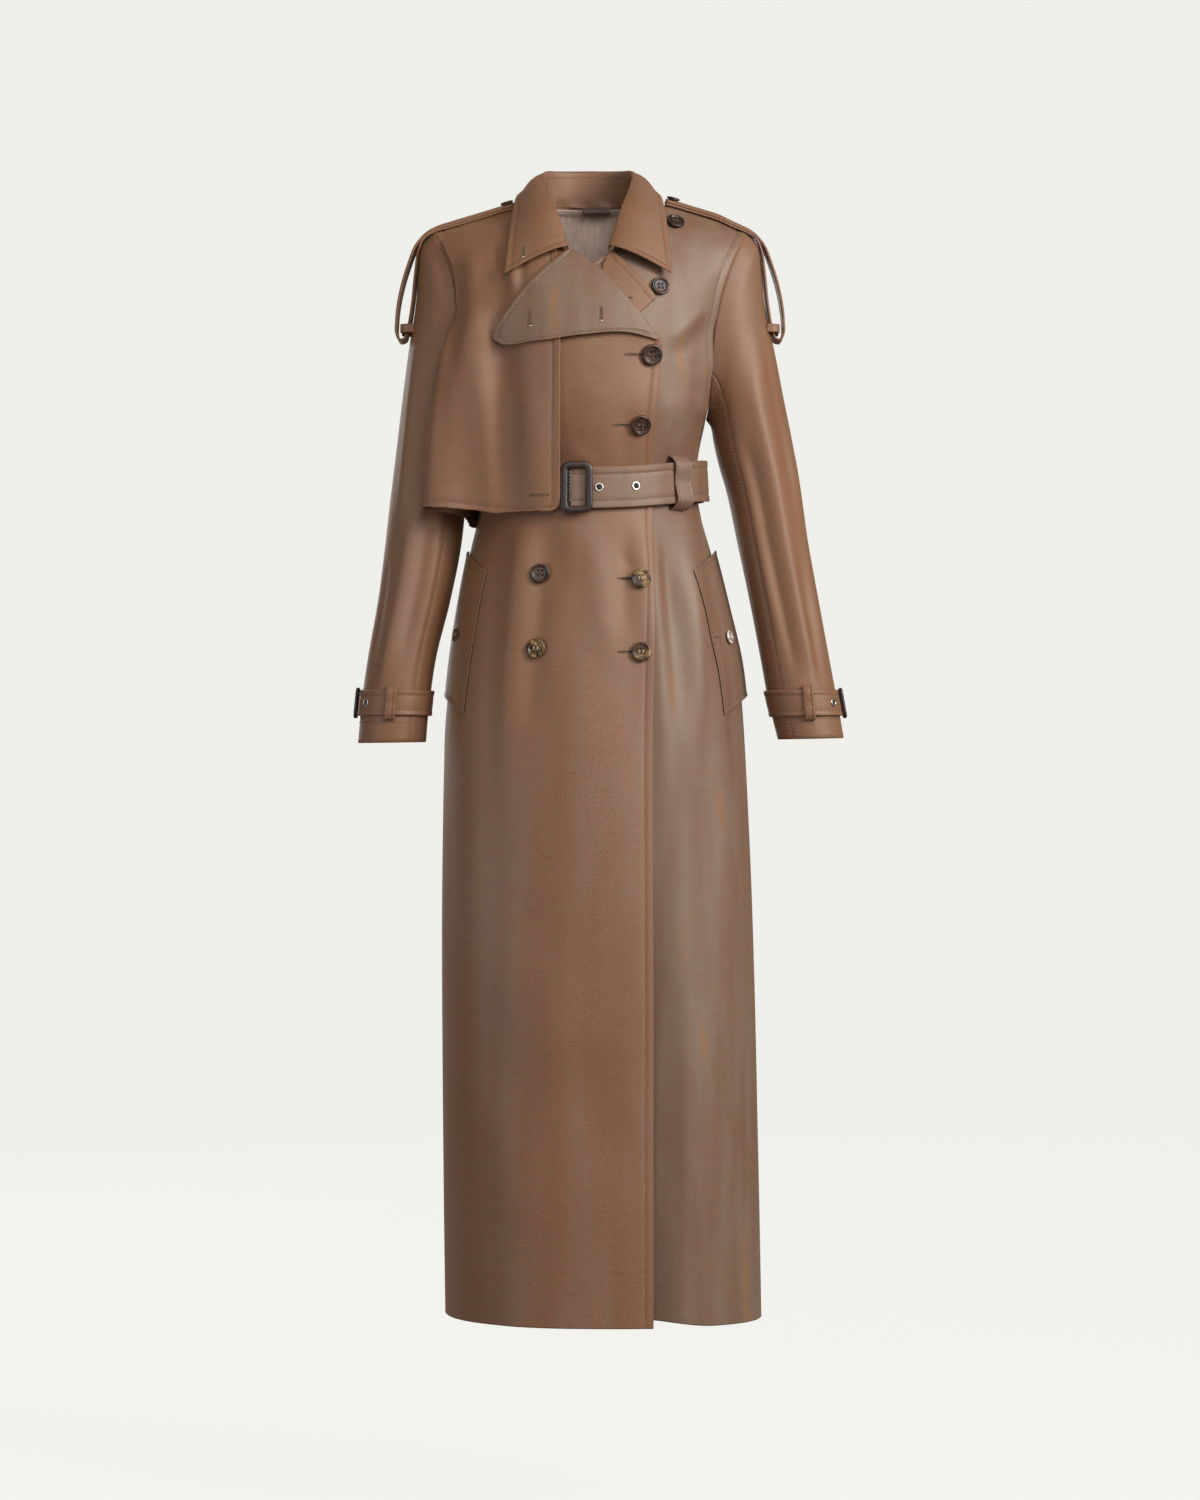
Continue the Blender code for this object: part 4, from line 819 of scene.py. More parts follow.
    def body(self, face: Face, t: Array, height: Array, folds: Array | float = 1.0) -> Array:
        """Points of the body's outer face.

        Args:
            face: Front or back.
            t: Place across, from -1 at the right end to 1 at the left end.
            height: Nominal heights.
            folds: Share of the folds and creases to show.

        Returns:
            The points.
        """
        t, height = np.broadcast_arrays(np.asarray(t, float), np.asarray(height, float))
        end_x, end_y = self.panel_end(face, t, height)
        turn = self.turn_of(height)
        v = self.share(height)
        swell = (self.soft_hollow(height) - self.hollow(v)) * (1.0 - np.abs(t) ** self.swell_hold)
        end_y = end_y + face.value * self.armhole(face) * swell
        x = end_x * np.sin(t * turn) / np.sin(turn)
        part = (np.cos(t * turn) - np.cos(turn)) / (1.0 - np.cos(turn))
        y = end_y + (self.middle_y(face, height) - end_y) * part
        z = np.where(height < self.armpit, height, self.armpit + (self.shoulder_z(x) - self.armpit) * v)
        drop = np.where(x < 0, self.drop_right, self.drop_left) * (x / self.drop_reach) ** 2
        z = z - drop * smooth(self.hem_row, self.hem, height)
        if face is Face.BACK:
            y = y + self.neck_back * np.sqrt(np.maximum(0.0, 1.0 - (x / self.neck_x) ** 2)) * v ** 6
        table = FRONT_CREASES if face is Face.FRONT else BACK_CREASES
        depth = (self.fold_depth(x, y, z) + crease_depth(table, x, z)) * folds
        away = np.hypot(x, y - self.side_y)
        return np.stack([x + depth * x / away, y + depth * (y - self.side_y) / away, z], axis=-1)

    def t_at(self, face: Face, x: Array, height: Array) -> Array:
        """The place along a row where the body reaches a given x.

        Args:
            face: Front or back.
            x: Places across.
            height: Nominal heights.

        Returns:
            Places along the row, from -1 to 1.
        """
        end_x, _ = self.panel_end(face, np.asarray(x), height)
        turn = self.turn_of(height)
        return np.arcsin(np.clip(x / end_x * np.sin(turn), -1.0, 1.0)) / turn

    def around(self, angle: Array, z: Array, folds: float = 1.0) -> Array:
        """Points of the body below the armpit at angles from the middle front, in degrees.

        Args:
            angle: Angles.
            z: Heights.
            folds: Share of the folds and creases to show.

        Returns:
            The points.
        """
        angle = np.asarray(angle, float)
        front = self.body(Face.FRONT, angle / 90.0, z, folds)
        back = self.body(Face.BACK, np.sign(angle) * (180.0 - np.abs(angle)) / 90.0, z, folds)
        return np.where((np.abs(angle) <= 90.0)[..., None], front, back)

    def chest(self, x: Array, z: Array) -> Array:
        """The points of the front above the armpit seen at x and z.

        Args:
            x: Places across.
            z: Heights.

        Returns:
            The points.
        """
        rise = (z - self.armpit) / (self.shoulder_z(x) - self.armpit)
        height = self.armpit + rise * (self.neck_z - self.armpit)
        return self.body(Face.FRONT, self.t_at(Face.FRONT, x, height), height, 0.0)


def to_linear(code: str) -> tuple[float, float, float, float]:
    """Turn an sRGB hex colour into linear light.

    Args:
        code: Colour such as "7a5a44".

    Returns:
        Red, green, blue and alpha.
    """
    parts = [int(code[k:k + 2], 16) / 255.0 for k in (0, 2, 4)]
    linear = [c / 12.92 if c <= 0.04045 else ((c + 0.055) / 1.055) ** 2.4 for c in parts]
    return (linear[0], linear[1], linear[2], 1.0)


def add_node(tree: Nodes, kind: str, settings: dict | None = None,
             inputs: dict | None = None, **options: object) -> bpy.types.Node:
    """Add a shader node with its settings and links.

    Args:
        tree: Node tree to add to.
        kind: Blender's name of the node.
        settings: Input values by socket name or number.
        inputs: Sockets to link from, by socket name or number.
        **options: Properties of the node itself.

    Returns:
        The node.
    """
    node = tree.nodes.new(kind)
    for name, value in options.items():
        setattr(node, name, value)
    for name, value in (settings or {}).items():
        node.inputs[name].default_value = value
    for name, source in (inputs or {}).items():
        tree.links.new(source, node.inputs[name])
    return node


def place_in(tree: Nodes) -> Socket:
    """Places in the object's own frame."""
    return add_node(tree, "ShaderNodeTexCoord").outputs["Object"]


def drawn_out(tree: Nodes, place: Socket, scale: float) -> Socket:
    """Places scaled along the height, so that a texture over them is drawn out or pressed flat."""
    return add_node(tree, "ShaderNodeMapping", {"Scale": (1.0, 1.0, scale)}, {"Vector": place}).outputs[0]


def noise(tree: Nodes, place: Socket, scale: float, detail: float = 3.0, **more: float) -> bpy.types.Node:
    """Noise over the places given, with more settings by their socket's name."""
    return add_node(tree, "ShaderNodeTexNoise", {"Scale": scale, "Detail": detail, **more}, {"Vector": place})


def mixed(tree: Nodes, share: float, first: Socket, second: Socket, blend: str = "MIX") -> Socket:
    """Two colours mixed by a share of the second."""
    links = {"Color1": first, "Color2": second}
    return add_node(tree, "ShaderNodeMixRGB", {"Fac": share}, links, blend_type=blend).outputs[0]


def raised(tree: Nodes, shader: bpy.types.Node, height: Socket, strength: float,
           distance: float) -> bpy.types.Node:
    """Raise the shader's surface by a texture.

    Args:
        tree: The material's nodes.
        shader: Its shader.
        height: The texture.
        strength: Share of the effect.
        distance: How far white stands above black, in metres.

    Returns:
        The bump node.
    """
    node = add_node(tree, "ShaderNodeBump", {"Strength": strength, "Distance": distance}, {"Height": height})
    tree.links.new(node.outputs[0], shader.inputs["Normal"])
    return node


def ramp(tree: Nodes, source: Socket,
         stops: Sequence[tuple[float, str]]) -> Socket:
    """Colours along a value.

    Args:
        tree: Node tree to add to.
        source: Value between 0 and 1.
        stops: Places and sRGB hex colours, rising.

    Returns:
        The colour socket.
    """
    node = add_node(tree, "ShaderNodeValToRGB", inputs={"Fac": source})
    elements = node.color_ramp.elements
    while len(elements) < len(stops):
        elements.new(0.5)
    for element, (place, code) in zip(elements, stops):
        element.position = place
        element.color = to_linear(code)
    return node.outputs["Color"]


@dataclass(frozen=True)
class Finish:
    """A finish: its material is made once and shared."""

    name: str
    slot: Slot | None = None

    def material(self) -> bpy.types.Material:
        """The finish's material, made on first use.

        Returns:
            The material.
        """
        known = bpy.data.materials.get(self.name)
        if known is not None:
            return known
        made = bpy.data.materials.new(self.name)
        made.use_nodes = True
        self.shade(made.node_tree, made.node_tree.nodes["Principled BSDF"])
        return made

    def shade(self, tree: Nodes, shader: bpy.types.Node) -> None:
        """Fill in the material's nodes; each finish has its own."""
        raise NotImplementedError

    @staticmethod
    def settings(shader: bpy.types.Node, **values: object) -> None:
        """Set the shader's own sockets, named with underscores for spaces."""
        for name, value in values.items():
            shader.inputs[name.replace("_", " ")].default_value = value


@dataclass(frozen=True)
class Gabardine(Finish):
    """Shot cotton gabardine, woven as a steep twill of brown and grey yarns and calendered.

    The pressed face gives broad grey highlights, warm orange brown next to them, and fine diagonal ribs.
    """

    dark: str = "754f38"
    middle: str = "7b543b"
    warm: str = "855738"
    grey: str = "7b5a46"
    roughness: float = 0.5
    twill_mm: float = 3.2
    streak_mm: float = 60.0

    def shade(self, tree: Nodes, shader: bpy.types.Node) -> None:
        """Twill ribs, fibre grain and long tone streaks.

        Args:
            tree: The material's nodes.
            shader: Its shader.
        """
        place = place_in(tree)
        # Warp and weft tones run in long streaks down the cloth.
        streak = noise(tree, drawn_out(tree, place, 0.16), 1000.0 / self.streak_mm, Roughness=0.55)
        tone = ramp(tree, streak.outputs["Fac"], ((0.25, self.dark), (0.48, self.middle), (0.62, self.grey),
                                                  (0.8, self.warm)))
        # Real ribs lie 0.5 mm apart; they are drawn coarser so that they show.
        ribs = add_node(tree, "ShaderNodeTexWave", {"Scale": 200.0 * math.pi / self.twill_mm,
                                                    "Distortion": 1.2, "Detail": 1.0}, {"Vector": place},
                        wave_type="BANDS", bands_direction="DIAGONAL")
        grain = noise(tree, place, 300.0)
        rough = add_node(tree, "ShaderNodeMapRange", {"To Min": self.roughness - 0.06,
                                                      "To Max": self.roughness + 0.08},
                         {"Value": grain.outputs["Fac"]})
        # Thicker weft yarns run level across the cloth.
        slub = noise(tree, drawn_out(tree, place, 14.0), 34.0, 4.0, Roughness=0.65)
        weave = mixed(tree, 0.5, ribs.outputs["Color"], grain.outputs["Color"])
        fine = mixed(tree, 0.45, weave, slub.outputs["Color"])
        shadow = mixed(tree, 0.5, tone, fine, "OVERLAY")
        raised(tree, shader, fine, 0.5, 0.0008)
        tree.links.new(shadow, shader.inputs["Base Color"])
        tree.links.new(rough.outputs[0], shader.inputs["Roughness"])
        self.settings(shader, IOR=1.5, Specular_IOR_Level=0.6, Sheen_Weight=0.25, Sheen_Roughness=0.4,
                      Sheen_Tint=to_linear("dda66e"), Specular_Tint=to_linear("f2f0e6"))


@dataclass(frozen=True)
class Cupro(Finish):
    """Cupro lining, woven smooth from fine bright yarn: a soft silky gloss and hardly any texture."""

    # The lining's own pale tones, made paler still: painted light for the little light that reaches inside
    # the neck.
    thread: str = "dcc3b2"
    shade_tone: str = "c6ac9b"

    def shade(self, tree: Nodes, shader: bpy.types.Node) -> None:
        """Fine yarn streaks under a silky gloss.

        Args:
            tree: The material's nodes.
            shader: Its shader.
        """
        place = place_in(tree)
        yarn = noise(tree, drawn_out(tree, place, 0.1), 260.0)
        tone = ramp(tree, yarn.outputs["Fac"], ((0.3, self.shade_tone), (0.7, self.thread)))
        raised(tree, shader, yarn.outputs["Fac"], 0.1, 0.0004)
        tree.links.new(tone, shader.inputs["Base Color"])
        self.settings(shader, Roughness=0.42, IOR=1.5, Sheen_Weight=0.15)


@dataclass(frozen=True)
class Horn(Finish):
    """Buffalo horn, turned and polished: dark, with paler streaks in its layers and a wet gloss."""

    dark: str = "1c110c"
    middle: str = "3a2417"
    pale: str = "4d3423"
    amount: float = 0.72

    def shade(self, tree: Nodes, shader: bpy.types.Node) -> None:
        """Layered streaks under polish.

        Args:
            tree: The material's nodes.
            shader: Its shader.
        """
        place = place_in(tree)
        layer = noise(tree, place, 70.0, Distortion=1.2)
        tone = ramp(tree, layer.outputs["Fac"], ((0.36, self.dark), (0.52, self.middle),
                                                 (self.amount, self.pale)))
        tree.links.new(tone, shader.inputs["Base Color"])
        scratch = noise(tree, place, 900.0, 2.0)
        raised(tree, shader, scratch.outputs["Fac"], 0.06, 0.0003)
        self.settings(shader, Roughness=0.32, IOR=1.54, Specular_IOR_Level=0.35, Coat_Weight=0.1,
                      Coat_Roughness=0.15)


@dataclass(frozen=True)
class CalfLeather(Finish):
    """Calf leather, dyed through and wrapped over a core: a fine pebbled grain with a satin shine."""

    dark: str = "1d120e"
    worn: str = "3a241b"
    pebble_mm: float = 1.6

    def shade(self, tree: Nodes, shader: bpy.types.Node) -> None:
        """Pebbled grain, a little paler on its high spots.

        Args:
            tree: The material's nodes.
            shader: Its shader.
        """
        place = place_in(tree)
        pebble = add_node(tree, "ShaderNodeTexVoronoi", {"Scale": 1000.0 / self.pebble_mm},
                          {"Vector": place}, feature="SMOOTH_F1")
        tone = ramp(tree, pebble.outputs["Distance"], ((0.1, self.worn), (0.6, self.dark)))
        raised(tree, shader, pebble.outputs["Distance"], 0.35, 0.0005).invert = True
        tree.links.new(tone, shader.inputs["Base Color"])
        self.settings(shader, Roughness=0.38, IOR=1.5, Specular_IOR_Level=0.6)


@dataclass(frozen=True)
class NickelPlate(Finish):
    """Nickel-plated brass, stamped and tumbled: bright, with fine scuffs that soften the reflection."""

    colour: str = "c9c4bb"

    def shade(self, tree: Nodes, shader: bpy.types.Node) -> None:
        """Scuffed plating.

        Args:
            tree: The material's nodes.
            shader: Its shader.
        """
        place = place_in(tree)
        scuff = noise(tree, place, 700.0)
        rough = add_node(tree, "ShaderNodeMapRange", {"To Min": 0.16, "To Max": 0.36},
                         {"Value": scuff.outputs["Fac"]})
        tree.links.new(rough.outputs[0], shader.inputs["Roughness"])
        self.settings(shader, Base_Color=to_linear(self.colour), Metallic=1.0)


@dataclass(frozen=True)
class SewingThread(Finish):
    """Spun polyester sewing thread, twisted and matt, a shade off the cloth it is sewn into."""

    colour: str = "5d3f2c"
    tip: str = "7a5a40"

    def shade(self, tree: Nodes, shader: bpy.types.Node) -> None:
        """Twisted strands.

        Args:
            tree: The material's nodes.
            shader: Its shader.
        """
        place = place_in(tree)
        twist = add_node(tree, "ShaderNodeTexWave", {"Scale": 420.0, "Distortion": 0.5}, {"Vector": place},
                         bands_direction="DIAGONAL")
        tone = ramp(tree, twist.outputs["Fac"], ((0.2, self.colour), (0.8, self.tip)))
        tree.links.new(tone, shader.inputs["Base Color"])
        self.settings(shader, Roughness=0.7, IOR=1.5, Sheen_Weight=0.2)


@dataclass(frozen=True)
class StudioPaper(Finish):
    """Seamless studio paper, matt and evenly lit."""

    colour: str = "f1f0eb"
    paper: str = "3c3b39"
    glow: float = 0.97

    def shade(self, tree: Nodes, shader: bpy.types.Node) -> None:
        """Plain pale paper with an even glow."""
        self.settings(shader, Base_Color=to_linear(self.paper), Roughness=0.9, Specular_IOR_Level=0.1,
                      Emission_Color=to_linear(self.colour), Emission_Strength=self.glow)


SHELL_CLOTH = Gabardine("shot_cotton_gabardine", Slot.GABARDINE)
# The same gabardine made greyer: painted highlight for the grey sheen on the pieces that face the key light.
PAINTED_SHEEN_CLOTH = Gabardine("shot_cotton_gabardine_weft_up", Slot.GABARDINE, "6d4d3c", "755845", "8d5e39",
                       "786050", streak_mm=34.0)
LINING_CLOTH = Cupro("cupro_lining", Slot.LINING)
HANGER_TAPE = Cupro("woven_hanger_tape", Slot.LINING, "5a4234", "46332a")
DARK_HORN = Horn("polished_dark_horn", Slot.HORN)
MOTTLED_HORN = Horn("polished_mottled_horn", Slot.HORN, "24170e", "5a4026", "b3935f", 0.7)
PALE_HORN = Horn("polished_pale_horn", Slot.HORN, "54483f", "a79a8c", "e0d8cc", 0.62)
BUCKLE_LEATHER = CalfLeather("wrapped_calf_leather", Slot.LEATHER)
EYELET_METAL = NickelPlate("nickel_plated_brass", Slot.METAL)
BAR_METAL = NickelPlate("blackened_steel", Slot.METAL, "55504c")
TOPSTITCH = SewingThread("topstitching_thread", Slot.GABARDINE)
PALE_THREAD = SewingThread("button_thread", Slot.GABARDINE, "b9a284", "ddc9a8")
# Not thread: a near-black sheet of painted shade, put in buttonhole slits and eyelet holes.
PAINTED_SHADE_GAP = SewingThread("buttonhole_slit", Slot.GABARDINE, "140c08", "1d120c")
PAPER = StudioPaper("seamless_paper")


def make_piece(name: str, vertices: Array, faces: Sequence, finish: Finish) -> bpy.types.Object:
    """Make a smooth mesh piece that rides with the coat.

    Args:
        name: Name of the piece.
        vertices: Points in millimetres.
        faces: Corner numbers of each face.
        finish: Finish it wears.

    Returns:
        The piece.
    """
    mesh = bpy.data.meshes.new(name)
    mesh.from_pydata((np.asarray(vertices) * MM).tolist(), [], [tuple(map(int, f)) for f in faces])
    work = bmesh.new()
    work.from_mesh(mesh)
    bmesh.ops.recalc_face_normals(work, faces=work.faces)
    work.to_mesh(mesh)
    work.free()
    mesh.shade_smooth()
    mesh.materials.append(finish.material())
    piece = bpy.data.objects.new(name, mesh)
    bpy.context.scene.collection.objects.link(piece)
    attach(piece, BODY)
    return piece


def shell_mesh(outer: Array, inner: Array, ring: bool = False) -> tuple[Array, list]:
    """A closed wall between two grids, with a rounded edge.

    Args:
        outer: Grid of its outer face.
        inner: Grid of its inner face.
        ring: Whether the last column joins the first.

    Returns:
        Vertices and faces.
    """
    rows, columns = outer.shape[:2]
    count = rows * columns
    index = np.arange(count).reshape(rows, columns)
    right = np.roll(index, -1, axis=1)
    last = columns if ring else columns - 1
    quads = np.stack([index[:-1, :last], right[:-1, :last], right[1:, :last], index[1:, :last]], axis=-1)
    quads = quads.reshape(-1, 4)
    if ring:
        loops = [index[0], index[-1]]
    else:
        loops = [np.concatenate([index[0, :-1], index[:-1, -1], index[-1, :0:-1], index[:0:-1, 0]])]
    i, j = np.meshgrid(np.clip(np.arange(rows), 1, rows - 2), np.arange(columns), indexing="ij")
    if not ring:
        j = np.clip(j, 1, columns - 2)
    away = outer - outer[i, j]
    away = unit(away)
    thick = np.linalg.norm(outer - inner, axis=2, keepdims=True)
    middle = ((outer + inner) / 2.0 + away * thick * 0.4).reshape(-1, 3)
    vertices = [outer.reshape(-1, 3), inner.reshape(-1, 3)]
    faces = [tuple(q) for q in quads] + [tuple(q[::-1] + count) for q in quads]
    start = 2 * count
    for loop in loops:
        vertices.append(middle[loop])
        size = len(loop)
        for k in range(size):
            a, b = loop[k], loop[(k + 1) % size]
            m, n = start + k, start + (k + 1) % size
            faces.append((a, m, n, b))
            faces.append((m, a + count, b + count, n))
        start += size
    return np.concatenate(vertices), faces


def bar_mesh(line: Array, side: Array, up: Array, half_width: float, half_height: float,
             closed: bool = False, sides: int = 8) -> tuple[Array, list]:
    """A rounded bar along a line.

    Args:
        line: Points along its middle.
        side: Direction of its width at each point.
        up: Direction of its height at each point.
        half_width: Half its width.
        half_height: Half its height.
        closed: Whether the end joins the start.
        sides: Points round the bar.

    Returns:
        Vertices and faces.
    """
    turns = 2.0 * math.pi * (np.arange(sides) + 0.5) / sides
    square = 0.75
    c = np.sign(np.cos(turns)) * np.abs(np.cos(turns)) ** square
    s = np.sign(np.sin(turns)) * np.abs(np.sin(turns)) ** square
    rings = line[:, None] + half_width * c[:, None] * side[:, None] + half_height * s[:, None] * up[:, None]
    count = len(line)
    faces = []
    for i in range(count if closed else count - 1):
        for k in range(sides):
            a, b = i * sides + k, i * sides + (k + 1) % sides
            shift = ((i + 1) % count - i) * sides
            faces.append((a, b, b + shift, a + shift))
    if not closed:
        faces.append(tuple(range(sides)))
        faces.append(tuple(range((count - 1) * sides, count * sides)))
    return rings.reshape(-1, 3), faces


def joined(parts: Sequence[tuple[Array, list]]) -> tuple[Array, list]:
    """Several meshes as one.

    Args:
        parts: Vertices and faces of each.

    Returns:
        Vertices and faces of all.
    """
    vertices, faces, start = [], [], 0
    for points, corners in parts:
        vertices.append(points)
        faces += [tuple(c + start for c in face) for face in corners]
        start += len(points)
    return np.concatenate(vertices), faces


def upright(normal: Array) -> tuple[Array, Array]:
    """Two directions across a normal: to its right seen from outside, and up.

    Args:
        normal: Unit normal.

    Returns:
        The direction to the right and the direction up.
    """
    aside = (0.0, 1.0, 0.0) if abs(normal[2]) > 0.8 else (0.0, 0.0, -1.0)
    right = np.cross(normal, aside)
    right = right / np.linalg.norm(right)
    return right, np.cross(normal, right)


@dataclass
class Tailor:
    """Cuts, sews and seats the pieces of the coat."""

    figure: Figure = field(default_factory=Figure)
    seats: dict[str, BVHTree] = field(default_factory=dict)
    stitch_long: float = 4.4
    stitch_step: float = 6.2
    stitch_half: float = 0.42
    stitch_rise: float = 0.12

    def cut(self, name: str, outer: Array, inner: Array, nodes: Sequence[str], cut: Cut, held: Held,
            finish: Finish = SHELL_CLOTH, ring: bool = False) -> bpy.types.Object:
        """Make one sheet of cloth in place of its solids.

        Args:
            name: Name of the piece.
            outer: Grid of its outer face.
            inner: Grid of its inner face.
            nodes: Solids that it stands for.
            cut: Flat size it was cut to.
            held: How it is held; not used.
            finish: Finish it wears.
            ring: Whether it closes round.

        Returns:
            The piece.
        """
        vertices, faces = shell_mesh(outer, inner, ring)
        piece = make_piece(f"{name}_cloth", vertices, faces, finish)
        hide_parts(*nodes)
        self.seats[name] = BVHTree.FromPolygons([Vector(v) for v in vertices], faces)
        area = sum(p.area for p in piece.data.polygons) / 2.0
        width = np.linalg.norm(np.diff(outer, axis=1), axis=2).sum(axis=1).max() * MM
        length = np.linalg.norm(np.diff(outer, axis=0), axis=2).sum(axis=0).max() * MM
        log.info("%s cut %.3f x %.3f m area %.4f, stated %s", name, width, length, area, tuple(cut))
        return piece

    def seat(self, name: str, origin: Sequence[float], direction: Sequence[float]) -> tuple[Array, Array]:
        """The point of a piece that a ray meets, with the normal towards the ray's origin.

        Args:
            name: Name of the piece.
            origin: Start of the ray.
            direction: Its direction.

        Returns:
            Point and normal.
        """
        point, normal, _, _ = self.seats[name].ray_cast(Vector(origin), Vector(direction))
        spot, out = np.array(point), np.array(normal)
        return spot, out if out @ np.asarray(direction) < 0 else -out

    def level_seat(self, name: str, origin: Sequence[float], direction: Sequence[float],
                   reach: float) -> tuple[Array, Array]:
        """A seat level with the highest cloth within a small reach of the point met.

        Args:
            name: Name of the piece.
            origin: Start of the ray.
            direction: Its direction.
            reach: Distance to feel round the point.

        Returns:
            Point and normal.
        """
        point, normal = self.seat(name, origin, direction)
        right, up = upright(normal)
        start = np.asarray(origin, float)
        near = [self.seat(name, start + side * reach, direction) for side in (right, -right, up, -up)]
        normal = normal + sum(other for _, other in near)
        normal = normal / np.linalg.norm(normal)
        rise = max([0.0] + [(spot - point) @ normal for spot, _ in near])
        return point + normal * rise, normal

    def sew(self, name: str, lines: Sequence[tuple[Array, Array]], finish: Finish = TOPSTITCH) -> None:
        """Lay rows of stitches along lines on the cloth.

        Args:
            name: Name of the piece of sewing.
            lines: Points of each line with their normals.
            finish: Thread.
        """
        parts = []
        half = self.stitch_half
        # Thread is 0.3 mm thick; stitches are drawn about 0.8 mm wide so that they show.
        for points, out in lines:
            run = run_of(points)
            for start in np.arange(0.5 * self.stitch_step, run[-1] - self.stitch_long, self.stitch_step):
                wanted = start + self.stitch_long * np.array([0.0, 0.12, 0.5, 0.88, 1.0])
                line = read_at(wanted, run, points)
                up = read_at(wanted, run, out)
                up = unit(up)
                along = line[-1] - line[0]
                side = np.cross(up, along / max(np.linalg.norm(along), TINY))
                rise = np.array([-0.5, 0.3, 1.0, 0.3, -0.5])[:, None] * half * 0.5 + self.stitch_rise
                parts.append(bar_mesh(line + up * rise, side, up, half, half * 0.7, sides=5))
        if parts:
            make_piece(name, *joined(parts), finish)
            log.info("%s: %d stitches", name, len(parts))

    def strap(self, name: str, line: Array, across: Sequence[float], width: float, thick: float,
              cut: Cut, held: Held, nodes: Sequence[str], seams: Sequence[float] = (),
              finish: Finish = SHELL_CLOTH, crown: Array | float = 0.0) -> bpy.types.Object:
        """A flat strip along a line, with sewing along its edges.

        Args:
            name: Name of the piece.
            line: Points along its middle.
            across: Direction of its width.
            width: Its width.
            thick: Its thickness.
            cut: Flat size it was cut to.
            held: How it is held.
            nodes: Solids that it stands for.
            seams: Distances of its sewing from both edges.
            finish: Finish it wears.
            crown: How far its edges droop, for all points of the line or for each.

        Returns:
            The piece.
        """
        aside = np.asarray(across, float)
        up = np.cross(np.gradient(line, axis=0), np.broadcast_to(aside, line.shape))
        up = unit(up)
        near = STRAP_STEPS + tuple(d for seam in seams for d in beside(seam, 1.2))
        places = spread(width, 4, near, near) - width / 2
        edge = width / 2 - np.abs(places)
        dent = sum((groove(edge, seam, 1.0, 0.35) for seam in seams), np.zeros(len(places)))
        base = line[:, None] + aside * places[None, :, None]
        droop = np.broadcast_to(crown, len(line))[:, None] * (2.0 * places / width) ** 2
        base[..., 2] -= droop
        outer = base + up[:, None] * (thick / 2 + dent)[None, :, None]
        inner = base - up[:, None] * (thick / 2 + dent)[None, :, None]
        piece = self.cut(name, outer, inner, nodes, cut, held, finish)
        lines = []
        for seam in seams:
            for j in (int(np.argmin(np.abs(places - (seam - width / 2)))),
                      int(np.argmin(np.abs(places - (width / 2 - seam))))):
                lines.append((outer[:, j], up))
                lines.append((inner[:, j], -up))
        self.sew(f"{name}_stitching", lines)
        return piece


def panel_nodes(name: str) -> list[str]:
    """The solids of a body panel: its chest, hip and skirt parts."""
    return [name, f"{name}_hip", f"{name}_skirt"]


